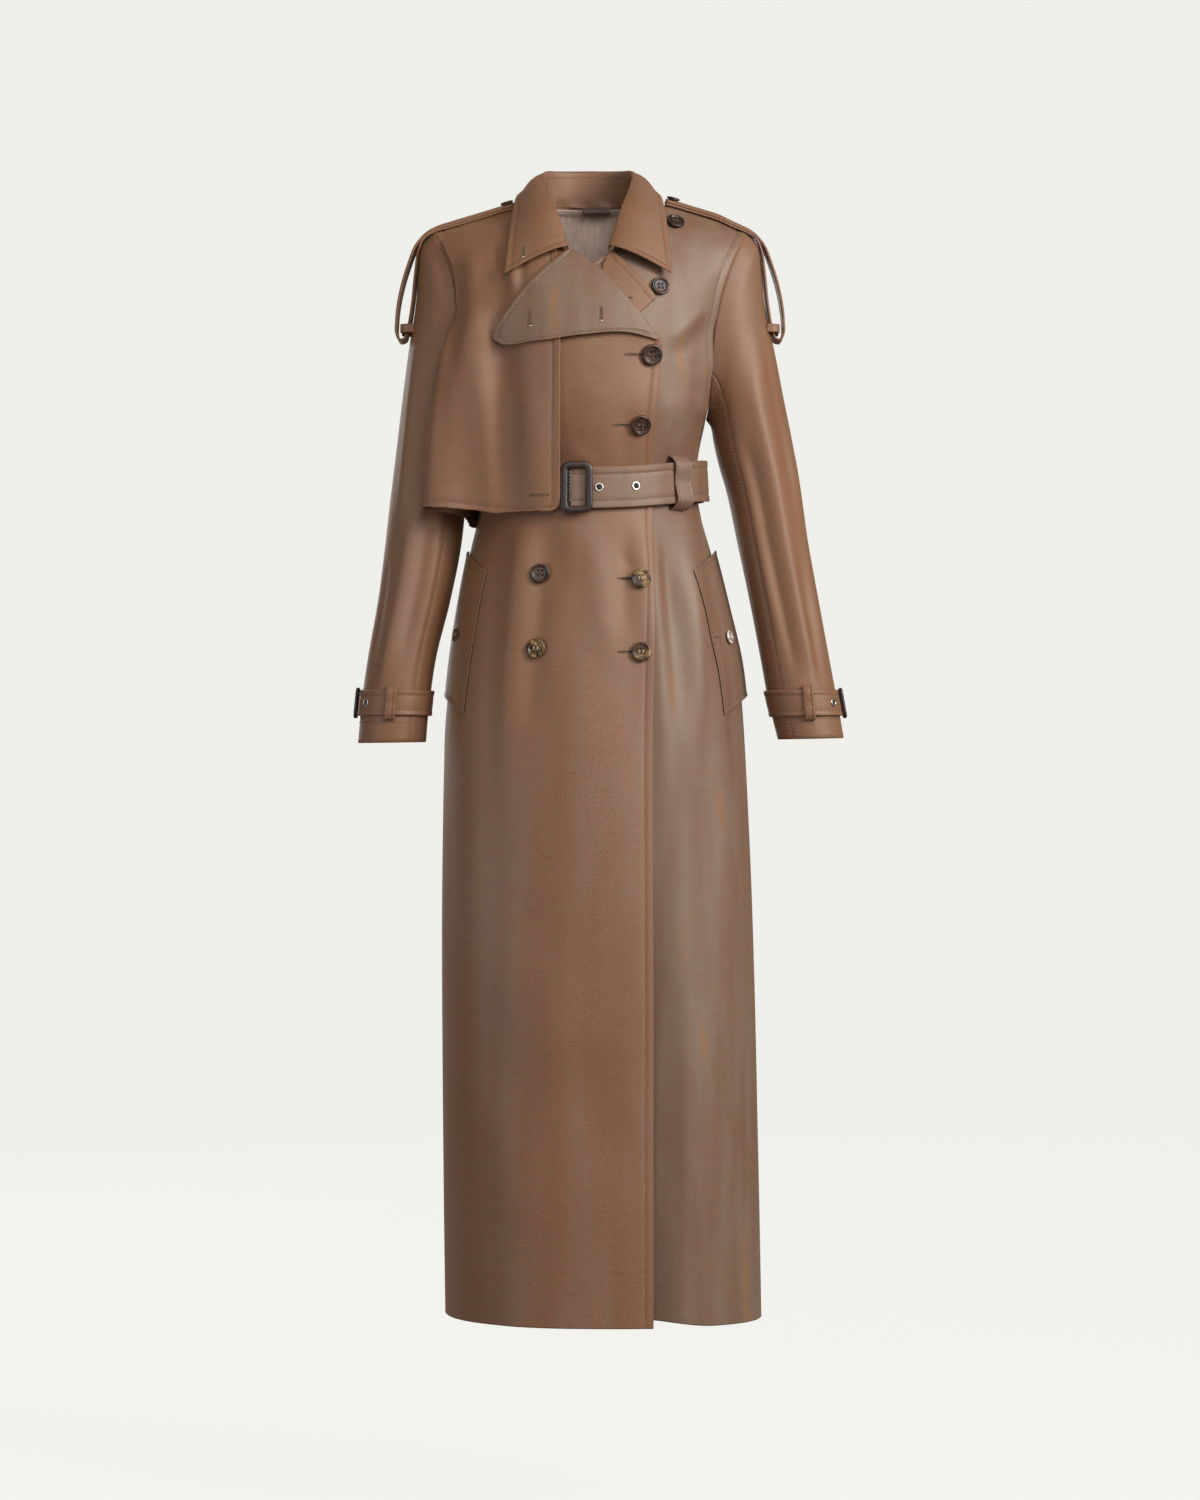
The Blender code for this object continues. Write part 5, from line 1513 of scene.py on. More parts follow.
@dataclass
class Fronts:
    """The two fronts: the right one laps over the left and rolls out at its lapel."""

    tailor: Tailor
    overlap: float = 2.8
    roll_lift: float = 6.0
    roll_reach: float = 34.0
    recess: float = 20.0
    edge_out: float = 4.0
    under_gap: float = 2.5
    under_rise: float = 7.0
    edge_seam: float = 9.0
    armhole_seam: float = 9.0
    lap_x: Pair = (-120.0, -80.0)
    lap_z: Pair = (0.0, -50.0)
    roll_foot: Pair = (-195.0, -150.0)
    roll_head: Pair = (-52.0, -85.0)
    edge_x: Pair = (-20.0, 75.0)
    edge_z: Pair = (-620.0, -1000.0)
    folds_x: Pair = (60.0, 90.0)
    recess_x: Pair = (122.0, 70.0)
    recess_z: Pair = (-560.0, -1100.0)
    under_x: Pair = (90.0, 66.0)
    under_z: Pair = (-335.0, -400.0)
    rise_x: Pair = (150.0, 70.0)
    armhole_z: Pair = (-250.0, -225.0)
    armhole_foot: float = -236.0
    cut_right: Cut = Cut(0.40, 1.36, 0.404)
    cut_left: Cut = Cut(0.40, 1.36, 0.408)

    def places(self, side: Side) -> tuple[Array, Array]:
        """Dense places across each row of a front, from its edge to the side seam and armhole.

        Args:
            side: Which front.

        Returns:
            Places across and heights.
        """
        figure = self.tailor.figure
        heights = figure.rows()
        start = figure.t_at(Face.FRONT, -side.value * EDGE_AT(heights), heights)
        return start + (side.value - start) * np.linspace(0.0, 1.0, 300)[None, :], heights

    def right(self) -> Array:
        """Grid of the right front's outer face.

        Returns:
            The grid, hem first.
        """
        figure = self.tailor.figure
        t, heights = self.places(Side.RIGHT)
        grid = figure.body(Face.FRONT, t, heights)
        x = grid[..., 0]
        lift = self.overlap * smooth(*self.lap_x, x) * smooth(*self.lap_z, heights)
        on_roll = smooth(*self.roll_foot, heights) * smooth(*self.roll_head, heights)
        lift = lift + self.roll_lift * np.exp(-(((x - EDGE_AT(heights)) / self.roll_reach) ** 2)) * on_roll
        lift = lift + self.edge_out * smooth(*self.edge_x, x) * smooth(*self.edge_z, heights)
        return lifted(grid, lift)

    def left(self) -> Array:
        """Grid of the left front's outer face.

        Returns:
            The grid, hem first.
        """
        figure = self.tailor.figure
        t, heights = self.places(Side.LEFT)
        x = figure.body(Face.FRONT, t, heights, 0.0)[..., 0]
        grid = figure.body(Face.FRONT, t, heights, smooth(*self.folds_x, x))
        back = self.recess * smooth(*self.recess_z, heights) * smooth(*self.recess_x, x)
        back = back + self.under_gap * smooth(*self.under_x, x) * smooth(*self.under_z, heights)
        grid = lifted(grid, -back)
        low = smooth(figure.hem_row, figure.hem, heights)
        grid[..., 2] += self.under_rise * low * smooth(*self.rise_x, x)
        return grid

    def build(self) -> None:
        """Cut and sew both fronts."""
        seam = self.edge_seam
        near = (*EDGE_STEPS, *beside(seam, 3.5, 1.5))
        far = (*EDGE_STEPS, *beside(self.armhole_seam, 1.5))
        lines = []
        for name, dense, cut, finish in (("right_front", self.right(), self.cut_right, SHELL_CLOTH),
                                         ("left_front", self.left(), self.cut_left, PAINTED_SHEEN_CLOTH)):
            grid = respaced(dense, near, far)
            inward, outward = run_across(grid)
            armhole = smooth(*self.armhole_z, grid[..., 2])
            dent = groove(inward, seam) + groove(outward, self.armhole_seam) * armhole
            dent = dent + slack(grid, 0.5) * smooth(0.0, 30.0, inward) * smooth(0.0, 30.0, outward)
            grid = lifted(grid, dent)
            out = normals(grid)
            self.tailor.cut(name, grid, grid - out * CLOTH, panel_nodes(name), cut, Held.DRAPED, finish)
            edge, armhole_column = len(near) - 2, -len(far)
            low = int(np.argmin(np.abs(grid[:, -1, 2] - self.armhole_foot)))
            top = len(grid) - 2
            lines.append((grid[3:top, edge], out[3:top, edge]))
            lines.append((grid[low:top, armhole_column], out[low:top, armhole_column]))
        self.tailor.sew("front_stitching", lines)


@dataclass
class Backs:
    """The two backs, joined by the middle back seam."""

    tailor: Tailor
    seam: float = 8.0
    cut_back: Cut = Cut(0.29, 1.38, 0.303)

    def build(self) -> None:
        """Cut and sew both backs."""
        figure = self.tailor.figure
        heights = figure.rows()
        near = (*EDGE_STEPS, *beside(self.seam, 1.8))
        lines = []
        for name, side in (("back_right", Side.RIGHT), ("back_left", Side.LEFT)):
            t = side.value * np.linspace(0.0, 1.0, 260)[None, :]
            grid = respaced(figure.body(Face.BACK, t, heights), near, EDGE_STEPS)
            inward, outward = run_across(grid)
            dent = groove(inward, self.seam, 2.0, 0.4)
            dent = dent + slack(grid, 0.5) * smooth(0.0, 30.0, inward) * smooth(0.0, 30.0, outward)
            grid = lifted(grid, dent)
            out = normals(grid)
            self.tailor.cut(name, grid, grid - out * CLOTH, panel_nodes(name), self.cut_back, Held.DRAPED)
            lines.append((grid[3:-3, 4], out[3:-3, 4]))
        self.tailor.sew("back_stitching", lines[1:])


@dataclass
class Sleeves:
    """Two-piece sleeves: a top sleeve over the outside and an under sleeve toward the body."""

    tailor: Tailor
    gap: float = 0.6
    fold_radius: float = 46.0
    fold_ends: Pair = (0.12, 0.14)
    columns: tuple[int, int] = (62, 30)
    lip: float = 0.02
    seam_soft: float = 10.0
    head_ease: Pair = (0.0, 0.08)
    hem_ease: Pair = (1.0, 0.94)
    seam_dent: tuple[float, float, float] = (0.0, 1.6, 0.5)
    spacing: float = 4.8
    front_seam: float = 125.0
    back_seam: float = 235.0
    cut_top: Cut = Cut(0.32, 0.64, 0.12)
    cut_under: Cut = Cut(0.16, 0.46, 0.0395)

    def loop(self, side: Side, turns: Array) -> Array:
        """The armhole loop, drawn at +X: turn 0 at the shoulder tip, a quarter turn at the front.

        Args:
            side: Which sleeve.
            turns: Turns round the loop.

        Returns:
            Points of the loop.
        """
        figure = self.tailor.figure
        v = (1.0 + np.cos(turns)) / 2.0
        height = figure.armpit + v * (figure.neck_z - figure.armpit)
        front_x, front_y = figure.panel_end(Face.FRONT, side.value, height)
        back_x, back_y = figure.panel_end(Face.BACK, side.value, height)
        ahead = np.sin(turns) >= 0
        x = np.where(ahead, front_x, back_x)
        y = np.where(ahead, front_y, back_y)
        z = figure.armpit + (figure.shoulder_z(side.value * x) - figure.armpit) * v
        return np.stack([x, y, z], axis=-1)

    @staticmethod
    def section(ring: Ring, turns: Array, grow: float = 0.0) -> Array:
        """An oval of the sleeve, drawn at +X.

        Args:
            ring: Its table row.
            turns: Turns round it.
            grow: Length to grow it by.

        Returns:
            Points of the oval.
        """
        centre = np.array([(ring.outer_x + ring.inner_x) / 2, (ring.front + ring.back) / 2,
                           (ring.outer_z + ring.inner_z) / 2])
        out = np.array([(ring.outer_x - ring.inner_x) / 2, 0.0, (ring.outer_z - ring.inner_z) / 2])
        out = out * (1.0 + grow / np.linalg.norm(out))
        ahead = np.array([0.0, -(ring.back - ring.front) / 2 - grow, 0.0])
        return centre + np.cos(turns)[:, None] * out + np.sin(turns)[:, None] * ahead

    def grid(self, side: Side, turns: Array) -> Array:
        """Fine rings of one sleeve from the armhole to the hem of its cuff.

        Args:
            side: Which sleeve.
            turns: Turns of its columns.

        Returns:
            The grid, drawn on its own side.
        """
        rings = RIGHT_RINGS if side is Side.RIGHT else LEFT_RINGS
        loop = self.loop(side, turns) - self.section(rings[0], turns)
        rows = [self.section(ring, turns) for ring in rings]
        for i, fade in enumerate(ARMHOLE_FADE):
            rows[i] = rows[i] + fade * loop
        rows[0][:, 0] += self.gap
        return fine_rows(np.array(rows), self.spacing) * np.array([side.value, 1.0, 1.0])

    def folds(self, side: Side, turns: Array, rows: int) -> Array:
        """How far the folds of a sleeve stand out.

        Args:
            side: Which sleeve.
            turns: Turns of the columns.
            rows: Number of rows.

        Returns:
            The stand-off over rows and columns.
        """
        table = RIGHT_SLEEVE_FOLDS if side is Side.RIGHT else LEFT_SLEEVE_FOLDS
        share = np.linspace(0.0, 1.0, rows)[:, None]
        angle = np.degrees(turns)[None, :]
        depth = np.zeros((rows, len(turns)))
        for fold in table:
            along = np.clip((share - fold.share0) / (fold.share1 - fold.share0), 0.0, 1.0)
            off = (angle - fold.turn0 - (fold.turn1 - fold.turn0) * along + 180.0) % 360.0 - 180.0
            near = np.exp(-((np.radians(off) * self.fold_radius / fold.width) ** 2))
            taper = smooth(fold.share0, fold.share0 + self.fold_ends[0], share)
            taper = taper * smooth(fold.share1, fold.share1 - self.fold_ends[1], share)
            depth = depth + fold.depth * near * taper
        return depth

    def build(self) -> None:
        """Cut both sleeves."""
        over = np.radians(np.linspace(self.back_seam - 360.0, self.front_seam, self.columns[0]))
        under = np.radians(np.linspace(self.front_seam, self.back_seam, self.columns[1]))
        lines = []
        for side in Side:
            for part, turns, cut in (("top", over, self.cut_top), ("under", under, self.cut_under)):
                start, end = turns[:1], turns[-1:]
                soft = np.concatenate([start, start + self.lip, turns[1:-1], end - self.lip, end])
                grid = self.grid(side, soft)
                name = f"{side.word}_sleeve_{part}"
                inward, outward = run_across(grid)
                edge = smooth(0.0, self.seam_soft, inward) * smooth(0.0, self.seam_soft, outward)
                down = np.linspace(0.0, 1.0, len(grid))[:, None]
                ends = smooth(*self.head_ease, down) * smooth(*self.hem_ease, down)
                puff = slack(grid, 0.7) * edge * ends
                out = normals(grid)
                centre = grid.mean(axis=1, keepdims=True)
                if np.sum(out * (grid - centre)) < 0:
                    out = -out
                lift = self.folds(side, soft, len(grid)) * edge + puff + groove(outward, *self.seam_dent)
                grid = grid + out * (lift + groove(inward, *self.seam_dent))[..., None]
                self.tailor.cut(name, grid, grid - out * SLEEVE_WALL, [name], cut, Held.HUNG)
                if part == "top":
                    lines.append((grid[-6, 2:-2], out[-6, 2:-2]))
        self.tailor.sew("sleeve_stitching", lines)


@dataclass
class HalfCape:
    """The half cape: its front flap, free below the chest, and its back shield."""

    tailor: Tailor
    lift: float = 7.0
    shoulder_lift: float = 3.0
    flap_hang: float = -215.0
    flap_drift: float = 9.0
    shield_hang: float = -240.0
    shield_drift: float = -10.0
    tip_lead: Pair = (16.0, -13.0)
    tip_trail: Pair = (11.0, 15.0)
    underarm: Pair = (-150.0, -30.0)
    behind_sleeve: Pair = (-138.0, 44.0)
    hem_from: float = -298.0
    hem_rise: float = 7.0
    hem_drop: float = 11.0
    spacing: float = 4.5
    join: Pair = (-144.2, 6.0)
    corner: float = 12.0
    seam: float = 9.0
    pucker: float = 0.8
    cut_flap: Cut = Cut(0.28, 0.42, 0.073)
    cut_shield: Cut = Cut(0.41, 0.41, 0.121)

    def hang(self, face: Face, x: Array, height: float) -> Array:
        """Depth of the cape: it lies on the body and hangs straight below it.

        Args:
            face: Front or back.
            x: Places across.
            height: Height of the level.

        Returns:
            Depths.
        """
        figure = self.tailor.figure
        front = face is Face.FRONT
        hang = self.flap_hang if front else self.shield_hang
        top = max(height, hang)
        depth = figure.body(face, figure.t_at(face, np.asarray(x, float), top), top, 0.0)[..., 1]
        drift = self.flap_drift if front else self.shield_drift
        low = FLAP[0].height if front else SHIELD[0].height
        return depth + face.value * self.lift + drift * smooth(top if height >= top else hang, low, height)

    def heights(self, plan: Array, height: float) -> Array:
        """Heights along a level of the cape, drawn to the shoulder line above the armpit.

        Args:
            plan: Points of the level seen from above.
            height: Height of the level.

        Returns:
            A height for each point.
        """
        figure = self.tailor.figure
        v = figure.share(height)
        if v <= 0:
            return np.full(len(plan), height)
        rise = (figure.shoulder_z(plan[:, 0]) - figure.armpit) * v
        return figure.armpit + rise + self.shoulder_lift * v ** 4

    @staticmethod
    def plan(points: Sequence[Array], end: float, turn: Array) -> Array:
        """Points of a level seen from above, with the turn at the sleeve on the same column in all levels.

        Args:
            points: Points to pass through.
            end: Share of the curve to cover.
            turn: Where the level turns at the sleeve.

        Returns:
            The points.
        """
        line = spline(points, 600, end)
        split = int(np.argmin(np.linalg.norm(line - turn, axis=1)))
        first = np.linspace(0.0, split, 90)
        second = np.linspace(split, len(line) - 1, 41)[1:]
        places = np.concatenate([first, second])
        return read_at(places, np.arange(len(line)), line)

    def flap(self) -> Array:
        """Grid of the flap's outer face.

        Returns:
            The grid, hem first.
        """
        rows = []
        for row in FLAP:
            tip = np.array([row.tip_x, row.tip_y])
            x = np.array([row.inner_x, row.inner_x * 0.55 - 52.0, row.inner_x * 0.3 - 96.0])
            points = [np.array(p) for p in zip(x, self.hang(Face.FRONT, x, row.height))]
            end = 1.0
            if row.wrap > 0:
                points += [tip + self.tip_lead, tip, tip + self.tip_trail, np.array(self.underarm),
                           np.array(self.join)]
                run = np.cumsum(np.linalg.norm(np.diff(np.array(points), axis=0), axis=1))
                end = (run[3] + row.wrap * (run[-1] - run[3])) / run[-1]
            else:
                between = (x[2] + tip[0]) / 2
                points += [np.array([between, self.hang(Face.FRONT, between, row.height)]), tip]
            plan = self.plan(points, end, tip)
            at_hem = smooth(self.hem_from, FLAP[0].height, row.height)
            z = self.heights(plan, row.height) + self.hem_rise * at_hem * smooth(-90.0, -197.0, plan[:, 0])
            z = z - self.hem_drop * at_hem * smooth(-66.0, 0.0, plan[:, 1])
            rows.append(np.column_stack([plan, z]))
        return fine_rows(np.array(rows), self.spacing)

    def shield(self) -> Array:
        """Grid of the shield's outer face.

        Returns:
            The grid, hem first.
        """
        rows = []
        for row in SHIELD:
            x = np.linspace(row.left_x, row.right_x, 9)
            points = [np.array(p) for p in zip(x, self.hang(Face.BACK, x, row.height))]
            end = 1.0
            if row.wrap > 0:
                points += [np.array(self.behind_sleeve), np.array(self.join)]
                run = np.cumsum(np.linalg.norm(np.diff(np.array(points), axis=0), axis=1))
                end = (run[7] + row.wrap * (run[-1] - run[7])) / run[-1]
            plan = self.plan(points, end, np.array(points[8]))
            rows.append(np.column_stack([plan, self.heights(plan, row.height)]))
        return fine_rows(np.array(rows), self.spacing)

    def hemmed(self, grid: Array, table: Sequence[Crease], near: Sequence[float],
               far: Sequence[float]) -> tuple[Array, Array, int]:
        """Space a cape panel anew, crease it and draw its hem in along the sewing.

        Args:
            grid: Dense grid, hem first.
            table: Its creases.
            near: Column distances from its free edge.
            far: Column distances from its other edge.

        Returns:
            The grid, its normals and the row of the hem's sewing.
        """
        seam = self.seam
        rows = (*EDGE_STEPS, *beside(seam, 3.0, 1.4))
        grid = turned(respaced(turned(respaced(grid, near, far)), rows, (1.0,), 4.6))
        from_hem, _ = run_across(turned(grid))
        from_hem = from_hem.T
        inward, _ = run_across(grid)
        ripple = np.sin(inward / 3.1 + 1.2 * np.sin(inward / 17.0)) * np.exp(-((from_hem / 7.0) ** 2))
        lift = crease_depth(table, grid[..., 0], grid[..., 2]) + groove(from_hem, seam, 2.2, 0.8)
        lift = lift + self.pucker * ripple + slack(grid, 0.7)
        grid = lifted(grid, lift)
        return grid, normals(grid), 5

    def rounded_corner(self, grid: Array) -> Array:
        """Round the hem's free corner by cutting the lowest rows short.

        Args:
            grid: Dense grid, hem first, free edge first.

        Returns:
            The grid with its corner rounded.
        """
        rows = []
        foot = grid[0, 0, 2]
        for row in grid:
            rise = min(max(row[0, 2] - foot, 0.0), self.corner)
            cut = self.corner - math.sqrt(self.corner ** 2 - (self.corner - rise) ** 2)
            run = run_of(row)
            wanted = cut + (run[-1] - cut) * np.linspace(0.0, 1.0, len(row))
            rows.append(read_at(wanted, run, row))
        return np.array(rows)

    def build(self) -> None:
        """Cut and sew the flap and the shield."""
        seam = self.seam
        near = (*EDGE_STEPS, *beside(seam, 3.0, 1.4))
        dense = self.flap()
        dense = np.concatenate([self.hem_rows(dense), dense[3:]])
        grid, out, row = self.hemmed(self.rounded_corner(dense), FLAP_CREASES, near, (1.0,))
        inward, _ = run_across(grid)
        grid = grid + out * groove(inward, seam)[..., None]
        self.tailor.cut("storm_flap", grid, grid - out * CLOTH, ["storm_flap"], self.cut_flap, Held.HUNG)
        lines = [(grid[row, 7:-2], out[row, 7:-2]), (grid[row + 1:-3, 5], out[row + 1:-3, 5])]
        grid, out, row = self.hemmed(self.shield(), SHIELD_CREASES, near, (1.0,))
        self.tailor.cut("back_shield", grid, grid - out * CLOTH, ["back_shield"], self.cut_shield, Held.HUNG)
        lines.append((grid[row, 7:-2], out[row, 7:-2]))
        self.tailor.sew("cape_stitching", lines)

    @staticmethod
    def hem_rows(grid: Array) -> Array:
        """Close rows near the hem, so that its corner can be round."""
        shares = np.linspace(0.0, 1.0, 9)[:-1]
        return np.array([grid[0] + (grid[3] - grid[0]) * share for share in shares])


@dataclass
class Collar:
    """The collar: a stand rising from the neck seam, folded over into the fall."""

    tailor: Tailor
    shift: float = -1.5
    fold_round: float = 2.6
    bulge: float = 6.0
    seam: float = 7.0
    cut_collar: Cut = Cut(0.56, 0.11, 0.0415)

    def line(self, prefix: str, count: int) -> Array:
        """A line of the collar from its right front end round the back to its left front end.

        Args:
            prefix: Which line: seam, fold or edge.
            count: Number of points.

        Returns:
            The points.
        """
        half = [[getattr(row, f"{prefix}_{axis}") for axis in "xyz"] for row in COLLAR]
        right = [[-x, y, z] for x, y, z in half]
        return spline(right + half[-2::-1], count) + np.array([self.shift, 0.0, 0.0])

    def build(self) -> None:
        """Cut and sew the collar as one folded piece."""
        count = 150
        seam, fold, edge = (self.line(prefix, count) for prefix in ("seam", "fold", "edge"))
        part = np.linspace(0.0, 1.0, 14)[:, None, None]
        stand = seam + (fold - seam) * part
        part = np.linspace(0.0, 1.0, 26)[:, None, None]
        fall = fold + (edge - fold) * part
        bow = self.fold_round + self.bulge * np.sin(np.pi * part[..., 0] ** 0.7)
        fall = lifted(fall, bow * np.ones(fall.shape[:2]))
        stand_out = normals(stand)
        inner_face = stand - stand_out * FACED
        # The crest turns from the stand's inner side over to the fall's outer side.
        inside, outside = inner_face[-1], fall[0]
        middle = (inside + outside) / 2
        half = (outside - inside) / 2
        rise = np.linalg.norm(half, axis=1, keepdims=True) * np.array([0.0, 0.0, 1.0])
        arc = [middle - half * math.cos(a) + rise * math.sin(a) for a in np.linspace(0.25, math.pi - 0.25, 8)]
        visible = np.concatenate([inner_face, np.array(arc), fall[1:]])
        sewn = (*FINE_STEPS, *beside(self.seam, 1.5))
        visible = turned(respaced(turned(visible), FINE_STEPS, sewn, 3.2))
        visible = respaced(visible, sewn, sewn, 4.0)
        out = np.cross(np.gradient(visible, axis=1), np.gradient(visible, axis=0))
        out = unit(out)
        if np.sum(out[-8:] * (visible[-8:] - visible[-8:].mean(axis=(0, 1)))) < 0:
            out = -out
        _, from_edge = run_across(turned(visible))
        from_edge = from_edge.T
        left, right = run_across(visible)
        from_side = np.minimum(left, right) + 4.0 * (from_edge > 90.0)
        dent = groove(np.minimum(from_edge, from_side), self.seam, 1.8, 0.5)
        inside = np.arange(len(visible))[:, None] < int(np.argmax(visible[:, visible.shape[1] // 2, 2]))
        dent = dent + crease_depth(NECK_CREASES, visible[..., 0], visible[..., 2]) * inside * smooth(
            12.0, 30.0, visible[..., 1])
        visible = visible + out * (dent + slack(visible, 0.5))[..., None]
        self.tailor.cut("collar", visible, visible - out * FACED, ["collar_stand", "collar_fall"],
                        self.cut_collar, Held.FOLDED)
        rows = len(visible)
        edge_row = rows - 5
        low = int(rows * 0.45)
        lines = [(visible[edge_row, 5:-5], out[edge_row, 5:-5]),
                 (visible[low:edge_row, 4], out[low:edge_row, 4]),
                 (visible[low:edge_row, -5], out[low:edge_row, -5])]
        crest = int(np.argmax(visible[:, visible.shape[1] // 2, 2])) - 3
        lines.append((visible[crest, 30:-30], out[crest, 30:-30]))
        self.tailor.sew("collar_stitching", lines)


@dataclass
class Lapels:
    """The right lapel turned out over the flap, and the left one under the right front."""

    tailor: Tailor
    roll_out: float = 11.6
    edge_out: float = 11.0
    under_out: float = 3.1
    seam: float = 8.0
    cut_right: Cut = Cut(0.20, 0.17, 0.0138)
    cut_left: Cut = Cut(0.10, 0.045, 0.0031)

    def build(self) -> None:
        """Cut and sew both lapels."""
        seam = self.seam
        ends = (*FINE_STEPS, *beside(seam, 1.6))
        lines = []
        for name, table, roll_out, edge_out, cut in (
                ("right_lapel", RIGHT_LAPEL, self.roll_out, self.edge_out, self.cut_right),
                ("left_lapel", LEFT_LAPEL, self.under_out, self.under_out, self.cut_left)):
            roll = spline([(row.roll_x, row.roll_z) for row in table], 120)
            edge = spline([(row.edge_x, row.edge_z) for row in table], 120)
            part = np.linspace(0.0, 1.0, 60)[:, None]
            x = roll[:, 0] + (edge[:, 0] - roll[:, 0]) * part
            z = roll[:, 1] + (edge[:, 1] - roll[:, 1]) * part
            out = roll_out + (edge_out - roll_out) * part
            grid = lifted(self.tailor.figure.chest(x, z), out * np.ones(x.shape))
            grid = turned(respaced(turned(grid), (0.8, 2.0), ends, 3.2))
            grid = respaced(grid, (0.8, 2.0), (0.8, 2.0), 3.2)
            from_roll, from_edge = (run.T for run in run_across(turned(grid)))
            curl = -1.6 * np.exp(-from_roll / 2.5) if name == "right_lapel" else 0.0
            grid = lifted(grid, groove(from_edge, seam, 1.8, 0.5) + curl + slack(grid, 0.6))
            normal = normals(grid)
            self.tailor.cut(name, grid, grid - normal * FACED, [name], cut, Held.FOLDED,
                            PAINTED_SHEEN_CLOTH if name == "right_lapel" else SHELL_CLOTH)
            row = len(grid) - 5
            lines.append((grid[row, 3:-3], normal[row, 3:-3]))
        self.tailor.sew("lapel_stitching", lines)


@dataclass
class Belt:
    """The belt with its free end, loop, buckle and eyelets."""

    tailor: Tailor
    front_z: float = -335.0
    side_z: float = -320.0
    width: float = 47.0
    stand: float = 7.0
    side_stand: float = 0.6
    tail_stand: float = 10.0
    tail_angles: Pair = (-17.0, 78.0)
    seam: float = 8.0
    loop_angle: float = 51.0
    loop_width: float = 23.0
    loop_turn: float = 40.0
    flare: float = 4.0
    buckle_angle: float = -6.2
    buckle: Pair = (38.0, 61.0)
    buckle_bar: float = 8.5
    buckle_depth: float = 5.0
    buckle_stand: float = 13.2
    eyelet_angles: Pair = (4.5, 23.0)
    cut_belt: Cut = Cut(0.77, 0.05, 0.037)
    cut_tail: Cut = Cut(0.226, 0.05, 0.0108)
    cut_loop: Cut = Cut(0.024, 0.08, 0.0019)

    def middle_z(self, angle: Array) -> Array:
        """Height of the belt's middle line: it dips at the middle front."""
        front = np.cos(np.radians(np.clip(angle, -90.0, 90.0))) ** 2
        return self.side_z + (self.front_z - self.side_z) * front

    def band(self, angles: Array, stand: float, ring: bool = False, flare: float = 0.0) -> Array:
        """Outer face of a band round the waist.

        Args:
            angles: Angles of its columns from the middle front, in degrees.
            stand: Stand-off from the body.
            ring: Whether it closes round.
            flare: How much further round the lower corner of its left end reaches, in degrees.

        Returns:
            The grid, lower edge first.
        """
        figure = self.tailor.figure
        free = smooth(self.loop_angle, self.tail_angles[1], angles)
        middle = self.middle_z(angles)
        rows = [figure.around(angles + flare * free * (0.5 - drop), middle + drop * self.width, 0.0)
                for drop in (-0.5, 0.5)]
        grid = np.array(rows)
        side = self.side_stand * np.sin(np.radians(angles)) ** 2 + flare * free
        return lifted(grid, (stand + side) * np.ones(grid.shape[:2]), ring)

    def point(self, angle: float, stand: float) -> tuple[Array, Array]:
        """A point standing off the belt's middle line, with the normal there."""
        near = self.band(angle + np.array([-2.0, 0.0, 2.0]), stand)
        return near[:, 1].mean(axis=0), normals(near)[0, 1]

    def sewn_band(self, name: str, angles: Array, stand: float, cut: Cut, ring: bool) -> None:
        """Cut one band with a row of sewing along both edges.

        Args:
            name: Name of the piece and its solid.
            angles: Angles of its columns.
            stand: Stand-off from the body.
            cut: Flat size.
            ring: Whether it closes round.
        """
        two = self.band(angles, stand, ring, 0.0 if ring else self.flare)
        near = (0.7, 1.8, *beside(self.seam, 2.4, 1.0))
        share = spread(self.width, 8, near, near)[:, None, None] / self.width
        grid = two[0] + (two[1] - two[0]) * share
        edge = np.minimum(share, 1.0 - share)[..., 0] * self.width
        dent = groove(edge, self.seam, 1.4, 0.5) + 0.3 * np.sin(np.radians(angles) * 23.0)
        grid = lifted(grid, dent * np.ones(grid.shape[:2]), ring)
        out = normals(grid, ring)
        self.tailor.cut(name, grid, grid - out * FACED, [name], cut, Held.STRETCHED, PAINTED_SHEEN_CLOTH, ring)
        rows = [5, len(grid) - 6]
        self.tailor.sew(f"{name}_stitching", [(grid[row], out[row]) for row in rows])

    def build(self) -> None:
        """Cut the belt and its end, and set their fittings."""
        around = np.linspace(-180.0, 180.0, 190, endpoint=False)
        self.sewn_band("belt", around, self.stand, self.cut_belt, True)
        first, last = self.tail_angles
        angles = first + spread(last - first, 50, (0.4, 1.0), (0.4, 1.0))
        self.sewn_band("belt_tail", angles, self.tail_stand, self.cut_tail, False)
        self.build_loop()
        self.build_buckle()
        for k, angle in enumerate(self.eyelet_angles):
            guess, normal = self.point(angle, self.tail_stand + 30.0)
            point, normal = self.tailor.level_seat("belt_tail", guess, -normal, Eyelet.radius)
            Eyelet(f"belt_eyelet_{k + 1}").build(point, normal)

    def build_loop(self) -> None:
        """Cut the loop sewn to the left front above and below the belt."""
        figure = self.tailor.figure
        angle = self.loop_angle
        near = np.array([-2.0, 0.0, 2.0])
        turn = self.side_stand * math.sin(math.radians(angle)) ** 2
        points = []
        for place in BELT_LOOP:
            level = self.middle_z(angle) + place.a
            patch = np.array([figure.around(angle + near, level + s, 0.0) for s in near])
            points.append(patch[1, 1] + normals(patch)[1, 1] * (place.b + turn))
        facing = math.radians(self.loop_turn)
        across = (math.cos(facing), math.sin(facing), 0.0)
        self.tailor.strap("belt_loop_left", spline(points, 60), across, self.loop_width, CLOTH, self.cut_loop,
                          Held.FOLDED, ["belt_loop_left"], (3.0,), PAINTED_SHEEN_CLOTH)

